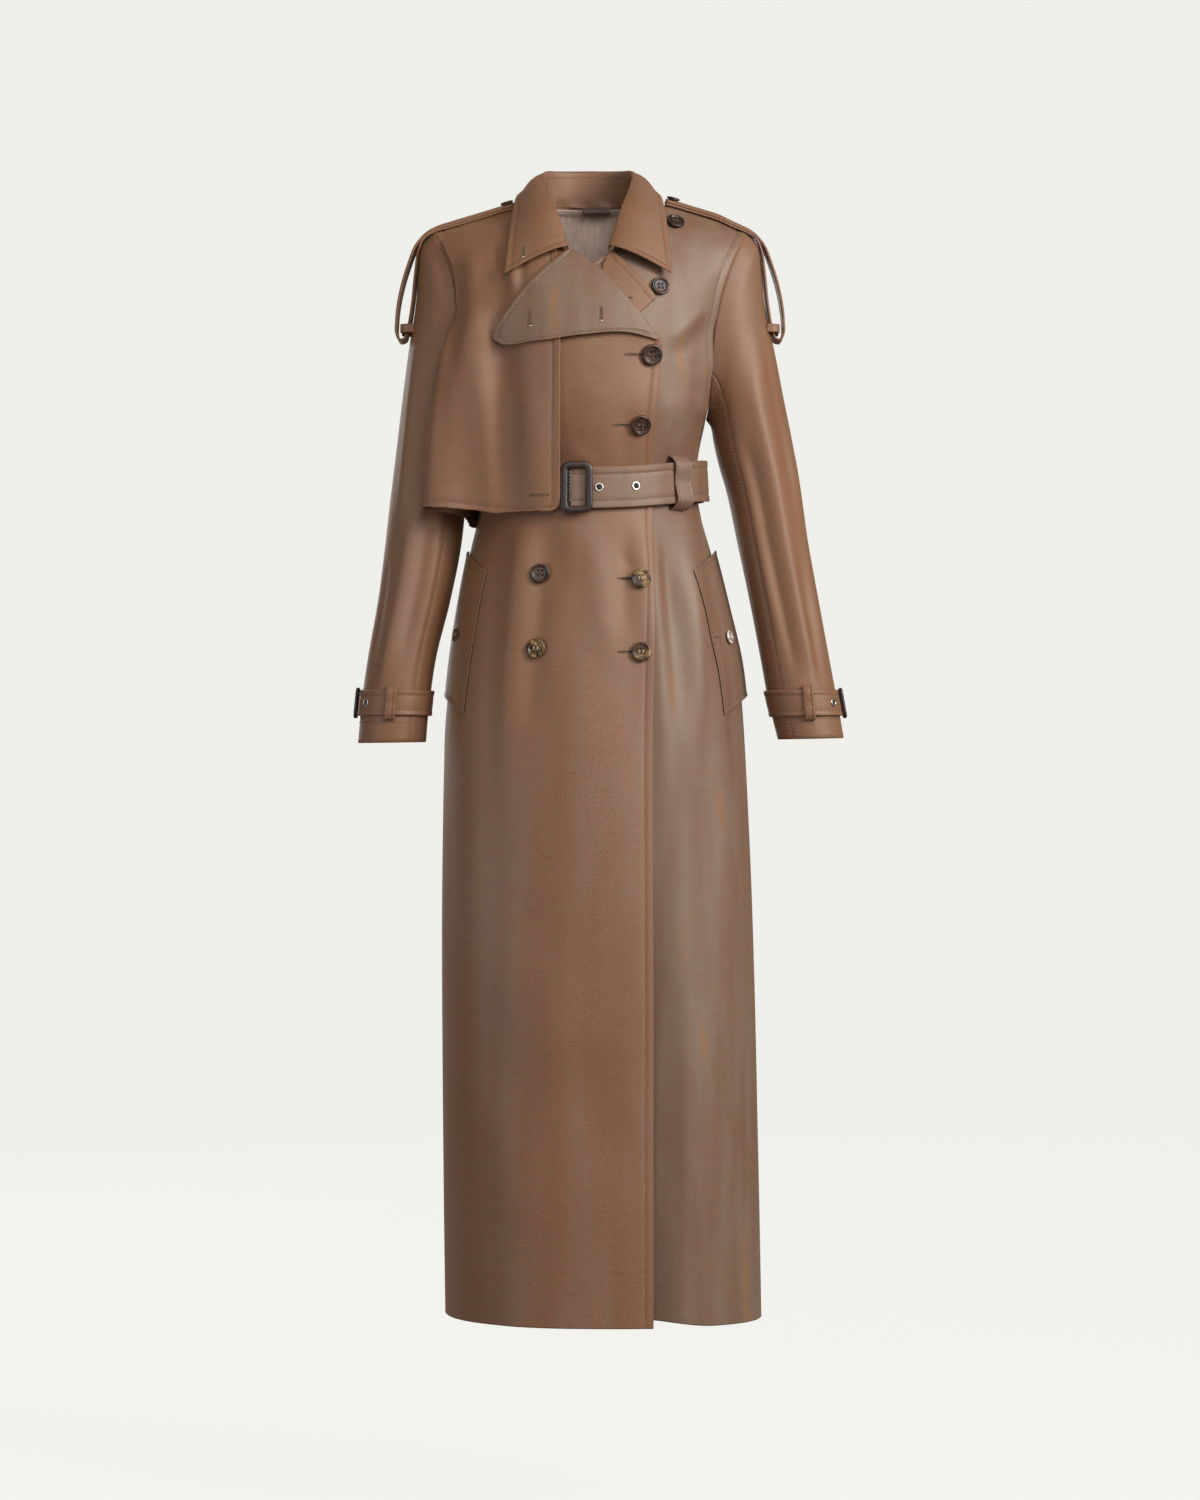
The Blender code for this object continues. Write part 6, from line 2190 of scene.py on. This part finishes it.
    def build_buckle(self) -> None:
        """Wrap the buckle's frame and set its bar."""
        point, normal = self.point(self.buckle_angle, self.buckle_stand)
        right, up = upright(normal)
        Buckle("belt_buckle", self.buckle, self.buckle_bar, self.buckle_depth).build(
            point, normal, right, up)
        tall = self.buckle[1] - 2.0 * self.buckle_bar - 1.0
        left = self.buckle[0] / 2 - self.buckle_bar - 2.2
        line = point - right * left + up * (np.linspace(-0.5, 0.5, 9) * tall)[:, None]
        bar = bar_mesh(line, np.tile(right, (9, 1)), np.tile(normal, (9, 1)), 1.3, 1.1, sides=10)
        turns = []
        for k in np.linspace(-0.38, 0.38, 9):
            spot = point - right * left + up * (k * tall)
            loop = circle(16)[:, None]
            ring = spot + 1.9 * (np.cos(loop) * right + np.sin(loop) * normal)
            out = np.cos(loop) * right + np.sin(loop) * normal
            turns.append(bar_mesh(ring, out, np.tile(up, (16, 1)), 0.4, 0.9, closed=True, sides=6))
        piece = make_piece("buckle_bar_wire", *joined([bar] + turns), BAR_METAL)
        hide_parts("buckle_bar")


@dataclass
class Buckle:
    """A rectangular frame wrapped in leather."""

    name: str
    size: Pair
    bar: float
    depth: float
    rounding: float = 0.8
    corners: tuple[tuple[int, int], ...] = ((1, 1), (-1, 1), (-1, -1), (1, -1))

    def build(self, centre: Array, normal: Array, right: Array, up: Array) -> None:
        """Wrap the frame in place of its solid.

        Args:
            centre: Its middle.
            normal: Direction it faces.
            right: Direction of its width.
            up: Direction of its height.
        """
        half = np.array(self.size) / 2.0 - self.bar / 2.0
        radius = self.bar * self.rounding

        def corner(k: int, turn: float) -> tuple[Array, Array]:
            """A point on the round of one corner and the way out of the frame there.

            Args:
                k: Which corner.
                turn: Turn round it.

            Returns:
                The point and the direction.
            """
            x = self.corners[k][0] * (half[0] - radius) + radius * math.cos(turn)
            y = self.corners[k][1] * (half[1] - radius) + radius * math.sin(turn)
            return centre + right * x + up * y, right * math.cos(turn) + up * math.sin(turn)

        path = []
        for k in range(4):
            path += [corner(k, turn) for turn in np.linspace(k * math.pi / 2, (k + 1) * math.pi / 2, 9)]
            start, following = path[-1][0], (k + 1) % 4
            goal, out = corner(following, following * math.pi / 2)
            path += [(start + (goal - start) * share, out) for share in np.linspace(0.0, 1.0, 10)[1:-1]]
        line, outward = (np.array(part) for part in zip(*path))
        vertices, faces = bar_mesh(line, outward, np.tile(normal, (len(line), 1)),
                                   self.bar / 2, self.depth / 2, closed=True, sides=16)
        piece = make_piece(f"{self.name}_leather", vertices, faces, BUCKLE_LEATHER)
        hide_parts(self.name)
        log.info("%s wrapped", self.name)


@dataclass
class Eyelet:
    """A stamped metal ring, with a dark disc of painted shade in its hole."""

    name: str
    radius: float = 4.2
    wire: float = 1.0
    sides: int = 40

    def build(self, point: Array, normal: Array) -> None:
        """Set the ring on a strap.

        Args:
            point: Its place on the cloth.
            normal: Direction it faces.
        """
        right, up = upright(normal)
        count = self.sides
        turns = circle(count)[:, None]
        out = np.cos(turns) * right + np.sin(turns) * up
        line = point + normal * 0.6 + self.radius * out
        ring = bar_mesh(line, out, np.tile(normal, (count, 1)), self.wire, 0.7, closed=True, sides=12)
        piece = make_piece(f"{self.name}_ring", *ring, EYELET_METAL)
        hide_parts(self.name)
        # A dark disc closes the hole: painted shade.
        rim = point + normal * 0.35 + (self.radius - 0.6) * out
        core = point + normal * 0.25
        faces = [(k, (k + 1) % count, count) for k in range(count)]
        back = point + normal * 0.05 + (self.radius - 0.6) * out
        vertices = np.concatenate([rim, core[None], back])
        faces += [(k, (k + 1) % count, count + 1 + (k + 1) % count, count + 1 + k) for k in range(count)]
        faces.append(tuple(range(2 * count, count, -1)))
        make_piece(f"{self.name}_hole", vertices, faces, PAINTED_SHADE_GAP)
        log.info("%s set", self.name)


@dataclass
class Epaulettes:
    """Shoulder straps: one strip along the shoulder, round the keeper on the sleeve and back."""

    tailor: Tailor
    width: float = 42.0
    y: float = 13.0
    keeper_z: float = -137.0
    keeper_half: float = 28.0
    keeper_width: float = 9.0
    droop: float = 5.0
    cut_strap: Cut = Cut(0.044, 0.50, 0.0218)
    cut_keeper: Cut = Cut(0.0105, 0.081, 0.00085)

    def build(self) -> None:
        """Cut both straps and their keepers."""
        figure = self.tailor.figure
        path = spline([(place.a, place.b) for place in EPAULETTE], 170)
        for side in Side:
            x = side.value * path[:, 0]
            z = path[:, 1] + figure.left_rise(x) * smooth(-60.0, -20.0, path[:, 1])
            line = np.column_stack([x, np.full(len(x), self.y), z])
            name = f"{side.word}_epaulette"
            self.tailor.strap(name, line, (0.0, 1.0, 0.0), self.width, FACED, self.cut_strap, Held.FOLDED,
                              [name], (6.0,), crown=self.droop * smooth(-45.0, -8.0, z))
            feet = []
            for y in (-self.keeper_half, self.keeper_half):
                start = (side.value * FAR, self.y + y, self.keeper_z)
                spot, _ = self.tailor.seat(f"{side.word}_sleeve_top", start, (-side.value, 0.0, 0.0))
                feet.append(spot + np.array([side.value * 0.9, 0.0, 0.0]))
            middle = np.array([(side.value * place.a, self.y + place.b, self.keeper_z) for place in KEEPER])
            line = spline(np.vstack([feet[:1], middle, feet[1:]]), 50)
            name = f"{side.word}_epaulette_keeper"
            self.tailor.strap(name, line, (0.0, 0.0, 1.0), self.keeper_width, CLOTH, self.cut_keeper,
                              Held.FOLDED, [name], ())


@dataclass
class Cuffs:
    """Cuff straps with their loops, eyelets and buckles."""

    tailor: Tailor
    sleeves: Sleeves
    top: float = -571.0
    foot: float = -600.0
    stand: float = 1.4
    seam: float = 5.0
    loop_turn: float = 85.0
    loop_width: float = 11.0
    slant: float = 0.09
    eyelet_turn: float = 40.0
    buckle: Pair = (27.0, 37.0)
    buckle_bar: float = 5.5
    buckle_depth: float = 4.0
    cut_strap: Cut = Cut(0.292, 0.031, 0.009)
    cut_loop: Cut = Cut(0.0135, 0.05, 0.00067)

    def ring_at(self, rings: Sequence[Ring], z: float) -> Ring:
        """The sleeve section at a height near the cuff.

        Args:
            rings: The sleeve's sections.
            z: Height of the outer edge.

        Returns:
            The section.
        """
        rows = sorted(rings[len(SHOULDER_RINGS):], key=lambda ring: ring.outer_z)
        heights = [ring.outer_z for ring in rows]
        return Ring(*[np.interp(z, heights, [getattr(r, name) for r in rows]) for name in Ring._fields])

    def build(self) -> None:
        """Cut both straps and set their fittings."""
        turns = circle(110)
        near = (*STRAP_STEPS, *beside(self.seam, 1.1))
        heights = self.foot + spread(self.top - self.foot, 4, near, near)
        edge = np.minimum(heights - self.foot, self.top - heights)
        dent = groove(edge, self.seam, 1.1, 0.35)
        for side, rings in ((Side.RIGHT, RIGHT_RINGS), (Side.LEFT, LEFT_RINGS)):
            flip = np.array([side.value, 1.0, 1.0])
            outer, inner = [], []
            for z, sink in zip(heights, dent):
                ring = self.ring_at(rings, z)
                outer.append(self.sleeves.section(ring, turns, self.stand + FACED + sink))
                inner.append(self.sleeves.section(ring, turns, self.stand))
            outer_grid, inner_grid = np.array(outer) * flip, np.array(inner) * flip
            name = f"{side.word}_cuff_strap"
            self.tailor.cut(name, outer_grid, inner_grid, [name], self.cut_strap, Held.STRETCHED, ring=True)
            out = outer_grid - inner_grid
            out = unit(out)
            rows = [4, len(heights) - 5]
            self.tailor.sew(f"{name}_stitching", [(outer_grid[row], out[row]) for row in rows])
            self.dress(side, rings, flip)

    def dress(self, side: Side, rings: Sequence[Ring], flip: Array) -> None:
        """Set the loop, eyelet and buckle of one cuff.

        Args:
            side: Which cuff.
            rings: Its sleeve's sections.
            flip: Signs that draw +X shapes on this side.
        """
        middle = self.ring_at(rings, (self.top + self.foot) / 2)
        turn = np.array([math.radians(self.loop_turn)])
        points = []
        for place in CUFF_LOOP:
            lean = place.a * self.slant
            level = middle._replace(outer_x=middle.outer_x - lean, inner_x=middle.inner_x - lean)
            spot = self.sleeves.section(level, turn, place.b)[0] * flip
            points.append(spot + np.array([0.0, 0.0, place.a]))
        name = f"{side.word}_cuff_loop"
        self.tailor.strap(name, spline(points, 40), (1.0, 0.0, 0.0), self.loop_width, CLOTH, self.cut_loop,
                          Held.FOLDED, [name], (2.4,))
        strap = f"{side.word}_cuff_strap"
        centre = self.sleeves.section(middle, np.array([0.0, math.pi])).mean(axis=0) * flip
        out = self.sleeves.section(middle, np.array([math.radians(self.eyelet_turn)]))[0] * flip - centre
        out = out / np.linalg.norm(out)
        point, normal = self.tailor.level_seat(strap, centre + out * 200.0, -out, Eyelet.radius)
        Eyelet(f"{side.word}_cuff_eyelet").build(point, normal)
        out = np.array([side.value, 0.0, 0.0])
        point, normal = self.tailor.seat(strap, centre + out * 200.0, -out)
        right, up = upright(normal)
        Buckle(f"{side.word}_cuff_buckle", self.buckle, self.buckle_bar, self.buckle_depth).build(
            point + normal * (self.buckle_depth / 2 + 0.35), normal, right, up)


@dataclass
class Pockets:
    """Slanted pocket welts that stand proud along their open edge."""

    tailor: Tailor
    front_top: Place = Place(52, -430)
    front_foot: Place = Place(57, -600)
    back_top: Place = Place(101, -404)
    back_foot: Place = Place(97, -577)
    stand: float = 3.0
    flat: float = 1.5
    flat_wall: float = 1.0
    proud_right: float = 2.5
    proud_left: float = 6.0
    seam: float = 5.0
    cut_welt: Cut = Cut(0.11, 0.18, 0.0188)

    def build(self) -> None:
        """Cut and sew both welts."""
        ends = (*FINE_STEPS, *beside(self.seam, 1.4))
        across = np.linspace(0.0, 1.0, 60)[None, :]
        down = np.linspace(0.0, 1.0, 60)[:, None]
        lines = []
        for side, proud in ((Side.RIGHT, self.proud_right), (Side.LEFT, self.proud_left)):
            front = self.front_top.a + (self.front_foot.a - self.front_top.a) * down
            back = self.back_top.a + (self.back_foot.a - self.back_top.a) * down
            front_z = self.front_top.b + (self.front_foot.b - self.front_top.b) * down
            back_z = self.back_top.b + (self.back_foot.b - self.back_top.b) * down
            angle = side.value * (front + (back - front) * across)
            # The edges level out towards the open side.
            z = front_z + (back_z - front_z) * np.sin(across * math.pi / 2)
            stand = self.flat + (self.stand - self.flat + proud) * across ** 2 * np.ones(z.shape)
            grid = lifted(self.tailor.figure.around(angle, z), stand)
            grid = respaced(turned(respaced(turned(grid), ends, ends, 4.0)), ends, (0.8, 2.0), 4.0)
            from_front, _ = run_across(grid)
            from_top, from_foot = (run.T for run in run_across(turned(grid)))
            edge = np.minimum(np.minimum(from_top, from_foot), from_front)
            grid = lifted(grid, groove(edge, self.seam, 1.5, 0.45) + slack(grid, 0.4))
            out = normals(grid)
            name = f"{side.word}_pocket_welt"
            wall = self.flat_wall + (FACED - self.flat_wall) * smooth(0.0, 60.0, from_front)
            self.tailor.cut(name, grid, grid - out * wall[..., None], [name], self.cut_welt, Held.LAID,
                            PAINTED_SHEEN_CLOTH if side is Side.LEFT else SHELL_CLOTH)
            lines += [(grid[4, 4:-2], out[4, 4:-2]), (grid[-5, 4:-2], out[-5, 4:-2]),
                      (grid[4:-4, 4], out[4:-4, 4])]
        self.tailor.sew("pocket_stitching", lines)


@dataclass
class Buttons:
    """Turned horn buttons with four holes, sewn on with thread, and the buttonholes beside them."""

    tailor: Tailor
    sides: int = 56
    thick: float = 0.17
    shank: float = 1.5
    low_shank: float = 0.2
    gap: float = 0.35
    strap_button: float = 16.0
    strap_spot: Pair = (99.5, 3.0)
    feel_share: float = 6.0
    hole_points: int = 48
    hole_half: float = 1.1
    eye_more: float = 1.6
    eye_pale: float = -0.8
    cord: Pair = (0.75, 0.5)
    mottled: tuple[str, ...] = ("front_button_3", "front_button_4", "front_button_6", "right_pocket_button")
    pale: tuple[str, ...] = ("left_pocket_button",)

    def turn(self, name: str, point: Array, normal: Array, diameter: float, shank: float) -> None:
        """Turn one button and sew it on.

        Args:
            name: Its solid's name.
            point: Place on the cloth.
            normal: Direction it faces.
            diameter: Its diameter.
            shank: Height of its thread shank.
        """
        right, up = upright(normal)
        radius = diameter / 2.0
        thick = self.thick * diameter
        base = self.gap + shank
        floor = [(0.62 * k / 13, 0.58) for k in range(1, 14)]
        profile = [*floor, (0.68, 0.66), (0.73, 0.86), (0.78, 0.98), (0.84, 1.0), (0.91, 0.97), (0.97, 0.82),
                   (1.0, 0.58), (0.98, 0.34), (0.91, 0.1), (0.8, 0.0), (0.24, 0.0)]
        turns = circle(self.sides)
        hole_at, hole_radius = 0.19 * radius, 0.105 * radius
        rings = []
        for reach, rise in profile:
            x, y = reach * radius * np.cos(turns), reach * radius * np.sin(turns)
            off = np.hypot(np.abs(x) - hole_at, np.abs(y) - hole_at)
            deep = 0.42 * thick * smooth(1.25 * hole_radius, 0.7 * hole_radius, off) * (reach <= 0.62)
            height = base + rise * thick - deep
            rings.append(point + np.outer(x, right) + np.outer(y, up) + np.outer(height, normal))
        rings += [point + 0.24 * radius * (np.outer(np.cos(turns), right) + np.outer(np.sin(turns), up))
                  + normal * self.gap * 0.4]
        count = self.sides
        vertices = np.concatenate([(point + normal * (base + 0.58 * thick))[None]] + rings)
        faces = [(0, 1 + k, 1 + (k + 1) % count) for k in range(count)]
        for i in range(len(rings) - 1):
            for k in range(count):
                a, b = 1 + i * count + k, 1 + i * count + (k + 1) % count
                faces.append((a, a + count, b + count, b))
        last = 1 + (len(rings) - 1) * count
        faces.append(tuple(range(last, last + count)))
        finish = MOTTLED_HORN if name in self.mottled else PALE_HORN if name in self.pale else DARK_HORN
        piece = make_piece(f"{name}_horn", vertices, faces, finish)
        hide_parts(name)
        parts = []
        for k in (-1, 1):
            shares = np.linspace(-1.0, 1.0, 9)
            rise = base + 0.58 * thick + 0.5 * (1.0 - shares ** 4) - 0.3
            line = point + right * (k * hole_at) + np.outer(shares * hole_at, up) + np.outer(rise, normal)
            parts.append(bar_mesh(line, np.tile(right, (9, 1)), np.tile(normal, (9, 1)), 0.5, 0.4, sides=6))
        thread = PALE_THREAD if finish is not DARK_HORN else TOPSTITCH
        make_piece(f"{name}_thread", *joined(parts), thread)

    def hole(self, name: str, cloth: str, x: float, z: float, length: float, upright_hole: bool = False,
             keyhole: bool = False) -> None:
        """Work one buttonhole: a ring of thread round a slit.

        Args:
            name: Name of the piece.
            cloth: Piece that carries it.
            x: Middle of the hole seen from the front.
            z: Its height.
            length: Its length.
            upright_hole: Whether it stands upright.
            keyhole: Whether it ends in a round eye.
        """
        point, normal = self.tailor.level_seat(cloth, (x, -FAR, z), (0.0, 1.0, 0.0), 3.0)
        right, up = upright(normal)
        along, aside = (up, right) if upright_hole else (right, up)
        count = self.hole_points
        turns = circle(count)
        ahead = np.cos(turns)
        wide = self.hole_half + (self.eye_more * smooth(-0.3, -0.75, ahead) if keyhole else 0.0)
        flat = np.outer(np.sign(ahead) * np.abs(ahead) ** 0.5 * length / 2, along)
        line = point + flat + np.outer(np.sin(turns) * wide, aside)
        # The worked edge follows the cloth under it.
        line = np.array([self.tailor.seat(cloth, spot + normal * 20.0, -normal)[0] for spot in line])
        side = unit(np.cross(normal, np.gradient(line, axis=0)))
        facing = np.tile(normal, (count, 1))
        ring = bar_mesh(line + normal * 0.3, side, facing, *self.cord, closed=True, sides=6)
        make_piece(f"{name}_thread", *ring, TOPSTITCH)
        if keyhole:
            low = np.flatnonzero(ahead < self.eye_pale)
            eye = bar_mesh(line[low] + normal * 0.5, side[low], facing[low], *self.cord, sides=6)
            make_piece(f"{name}_eye", *eye, PALE_THREAD)
        # The slit is a closed dark sheet: painted shade in the cut.
        face = [tuple(range(count)), tuple(range(2 * count - 1, count - 1, -1))]
        face += [(k, (k + 1) % count, count + (k + 1) % count, count + k) for k in range(count)]
        slit = np.concatenate([line + normal * 0.34, line + normal * 0.1])
        make_piece(f"{name}_slit", slit, face, PAINTED_SHADE_GAP)

    def build(self) -> None:
        """Sew on every button and work every buttonhole."""
        forward = (0.0, 1.0, 0.0)
        for spot in BUTTON_SPOTS:
            point, normal = self.tailor.level_seat(spot.cloth, (spot.x, -FAR, spot.z), forward,
                                                   spot.diameter / self.feel_share)
            self.turn(spot.name, point, normal, spot.diameter, self.shank)
        for side in Side:
            x, y = self.strap_spot
            point, normal = self.tailor.level_seat(f"{side.word}_epaulette", (side.value * x, y, FAR),
                                                   (0.0, 0.0, -1.0), self.strap_button / self.feel_share)
            self.turn(f"{side.word}_epaulette_button", point, normal, self.strap_button, self.low_shank)
        for hole in BUTTONHOLES:
            self.hole(*hole)
        log.info("buttons and buttonholes set")


@dataclass
class Lining:
    """The half lining of the back, seen through the neck, and the hanger loop on it."""

    tailor: Tailor
    reach: float = 0.8
    gap: float = 1.0
    thick: float = 1.0
    pleat_x: float = -2.0
    pleat: float = 2.4
    foot: float = -222.0
    hanger: Pair = (-9.0, 24.0)
    hanger_z: float = 13.0
    hanger_width: float = 6.0
    cut_lining: Cut = Cut(0.36, 0.27, 0.0748)
    cut_hanger: Cut = Cut(0.010, 0.034, 0.00022)

    def build(self) -> None:
        """Cut the lining with its ease pleat, and the hanger loop."""
        figure = self.tailor.figure
        heights = np.linspace(self.foot, figure.neck_z, 54)[:, None]
        t = np.linspace(-self.reach, self.reach, 120)[None, :]
        grid = figure.body(Face.BACK, t, heights, 0.0)
        x = grid[..., 0]
        out = normals(grid)
        lap = self.pleat * smooth(-14.0, -1.0, x - self.pleat_x) * smooth(3.0, 0.5, x - self.pleat_x)
        soft = 0.8 * np.sin((x - self.pleat_x) / 9.0) * np.exp(-((x / 45.0) ** 2))
        low = smooth(figure.neck_z, -20.0, heights)
        grid = grid - out * (CLOTH + self.gap + (lap + soft) * (0.25 + 0.75 * low))[..., None]
        self.tailor.cut("back_lining", grid, grid - out * self.thick, ["back_lining"], self.cut_lining,
                        Held.HUNG, LINING_CLOTH)
        points = []
        for part in np.linspace(0.0, 1.0, 9):
            place = self.hanger[0] + (self.hanger[1] - self.hanger[0]) * part
            spot, _ = self.tailor.seat("back_lining", (place, 0.0, self.hanger_z), (0.0, 1.0, 0.0))
            points.append(spot - np.array([0.0, 1.2 + 1.4 * math.sin(math.pi * part), 0.0]))
        self.tailor.strap("hanger_loop", spline(points, 30), (0.0, 0.25, 0.968), self.hanger_width,
                          self.thick, self.cut_hanger, Held.FOLDED, ["hanger_loop"], (), HANGER_TAPE)


@dataclass
class Studio:
    """Seamless paper, soft lights and the camera."""

    floor_z: float = -1.56
    radius: float = 7.5
    bend: float = 1.6
    wall_top: float = 9.0
    sides: int = 72
    camera_x: float = 0.012
    camera_z: float = -0.642
    distance: float = 4.6
    view_height: float = 1.8
    sensor: float = 36.0

    def build(self) -> None:
        """Set up the paper sweep, lights, world and camera."""
        scene = bpy.context.scene
        # A round sweep, so that the same paper is seen from every side.
        turns = circle(self.sides)
        flat = self.radius - self.bend
        profile = [(0.3 * flat, 0.0), (flat, 0.0)]
        profile += [(flat + self.bend * math.sin(a), self.bend * (1.0 - math.cos(a)))
                    for a in np.linspace(0.0, math.pi / 2, 13)[1:]]
        profile.append((self.radius, self.wall_top))
        vertices = [(reach * math.cos(a), reach * math.sin(a), self.floor_z + rise)
                    for reach, rise in profile for a in turns]
        count = self.sides
        faces = [tuple(range(count))]
        faces += [(i * count + k, (i + 1) * count + k, (i + 1) * count + (k + 1) % count,
                   i * count + (k + 1) % count)
                  for i in range(len(profile) - 1) for k in range(count)]
        mesh = bpy.data.meshes.new("floor")
        mesh.from_pydata(vertices, [], faces)
        mesh.shade_smooth()
        mesh.materials.append(PAPER.material())
        floor = bpy.data.objects.new("floor", mesh)
        scene.collection.objects.link(floor)
        floor.visible_glossy = False
        floor.visible_diffuse = False
        scene.view_settings.view_transform = "Standard"
        self.light("key", (2.9, -2.2, 1.0), (1.3, 2.0), 155.0)
        self.light("side", (-2.6, -1.7, -1.0), (0.7, 1.6), 20.0)
        self.light("fill", (0.1, -4.6, 1.4), (2.4, 1.6), 46.0)
        self.light("top", (0.7, -1.9, 1.2), (0.9, 0.6), 14.0)
        self.light("back", (-1.6, 3.6, 0.3), (2.4, 1.8), 34.0)
        world = bpy.data.worlds.new("studio")
        scene.world = world
        world.use_nodes = True
        back = world.node_tree.nodes["Background"]
        back.inputs["Color"].default_value = to_linear("f4f3ef")
        back.inputs["Strength"].default_value = 0.22
        camera = bpy.data.objects.new("camera", bpy.data.cameras.new("camera"))
        camera.data.sensor_width = self.sensor
        camera.data.lens = self.sensor * self.distance / self.view_height
        camera.location = (self.camera_x, -self.distance, self.camera_z)
        camera.rotation_euler = (math.pi / 2, 0.0, 0.0)
        scene.collection.objects.link(camera)
        scene.camera = camera

    def light(self, name: str, place: tuple[float, float, float], size: Pair,
              power: float) -> None:
        """Hang one soft box that looks at the middle of the coat.

        Args:
            name: Name of the light.
            place: Where it hangs, in metres.
            size: Width and height, in metres.
            power: Power in watts.
        """
        data = bpy.data.lights.new(name, "AREA")
        data.shape = "RECTANGLE"
        data.size, data.size_y = size
        data.energy = power
        lamp = bpy.data.objects.new(name, data)
        lamp.location = place
        lamp.visible_camera = False
        aim = Vector((0.0, 0.0, -0.55)) - Vector(place)
        lamp.rotation_euler = aim.to_track_quat("-Z", "Y").to_euler()
        bpy.context.scene.collection.objects.link(lamp)


def main() -> None:
    """Build the coat piece by piece, then its studio."""
    logging.basicConfig(level=logging.INFO, format="%(message)s")
    tailor = Tailor()
    sleeves = Sleeves(tailor)
    for group in (Fronts(tailor), Backs(tailor), sleeves, HalfCape(tailor), Collar(tailor), Lapels(tailor),
                  Belt(tailor), Epaulettes(tailor), Cuffs(tailor, sleeves), Pockets(tailor), Buttons(tailor),
                  Lining(tailor)):
        group.build()
        log.info("%s done", type(group).__name__)
    Studio().build()


if __name__ == "__main__":
    main()
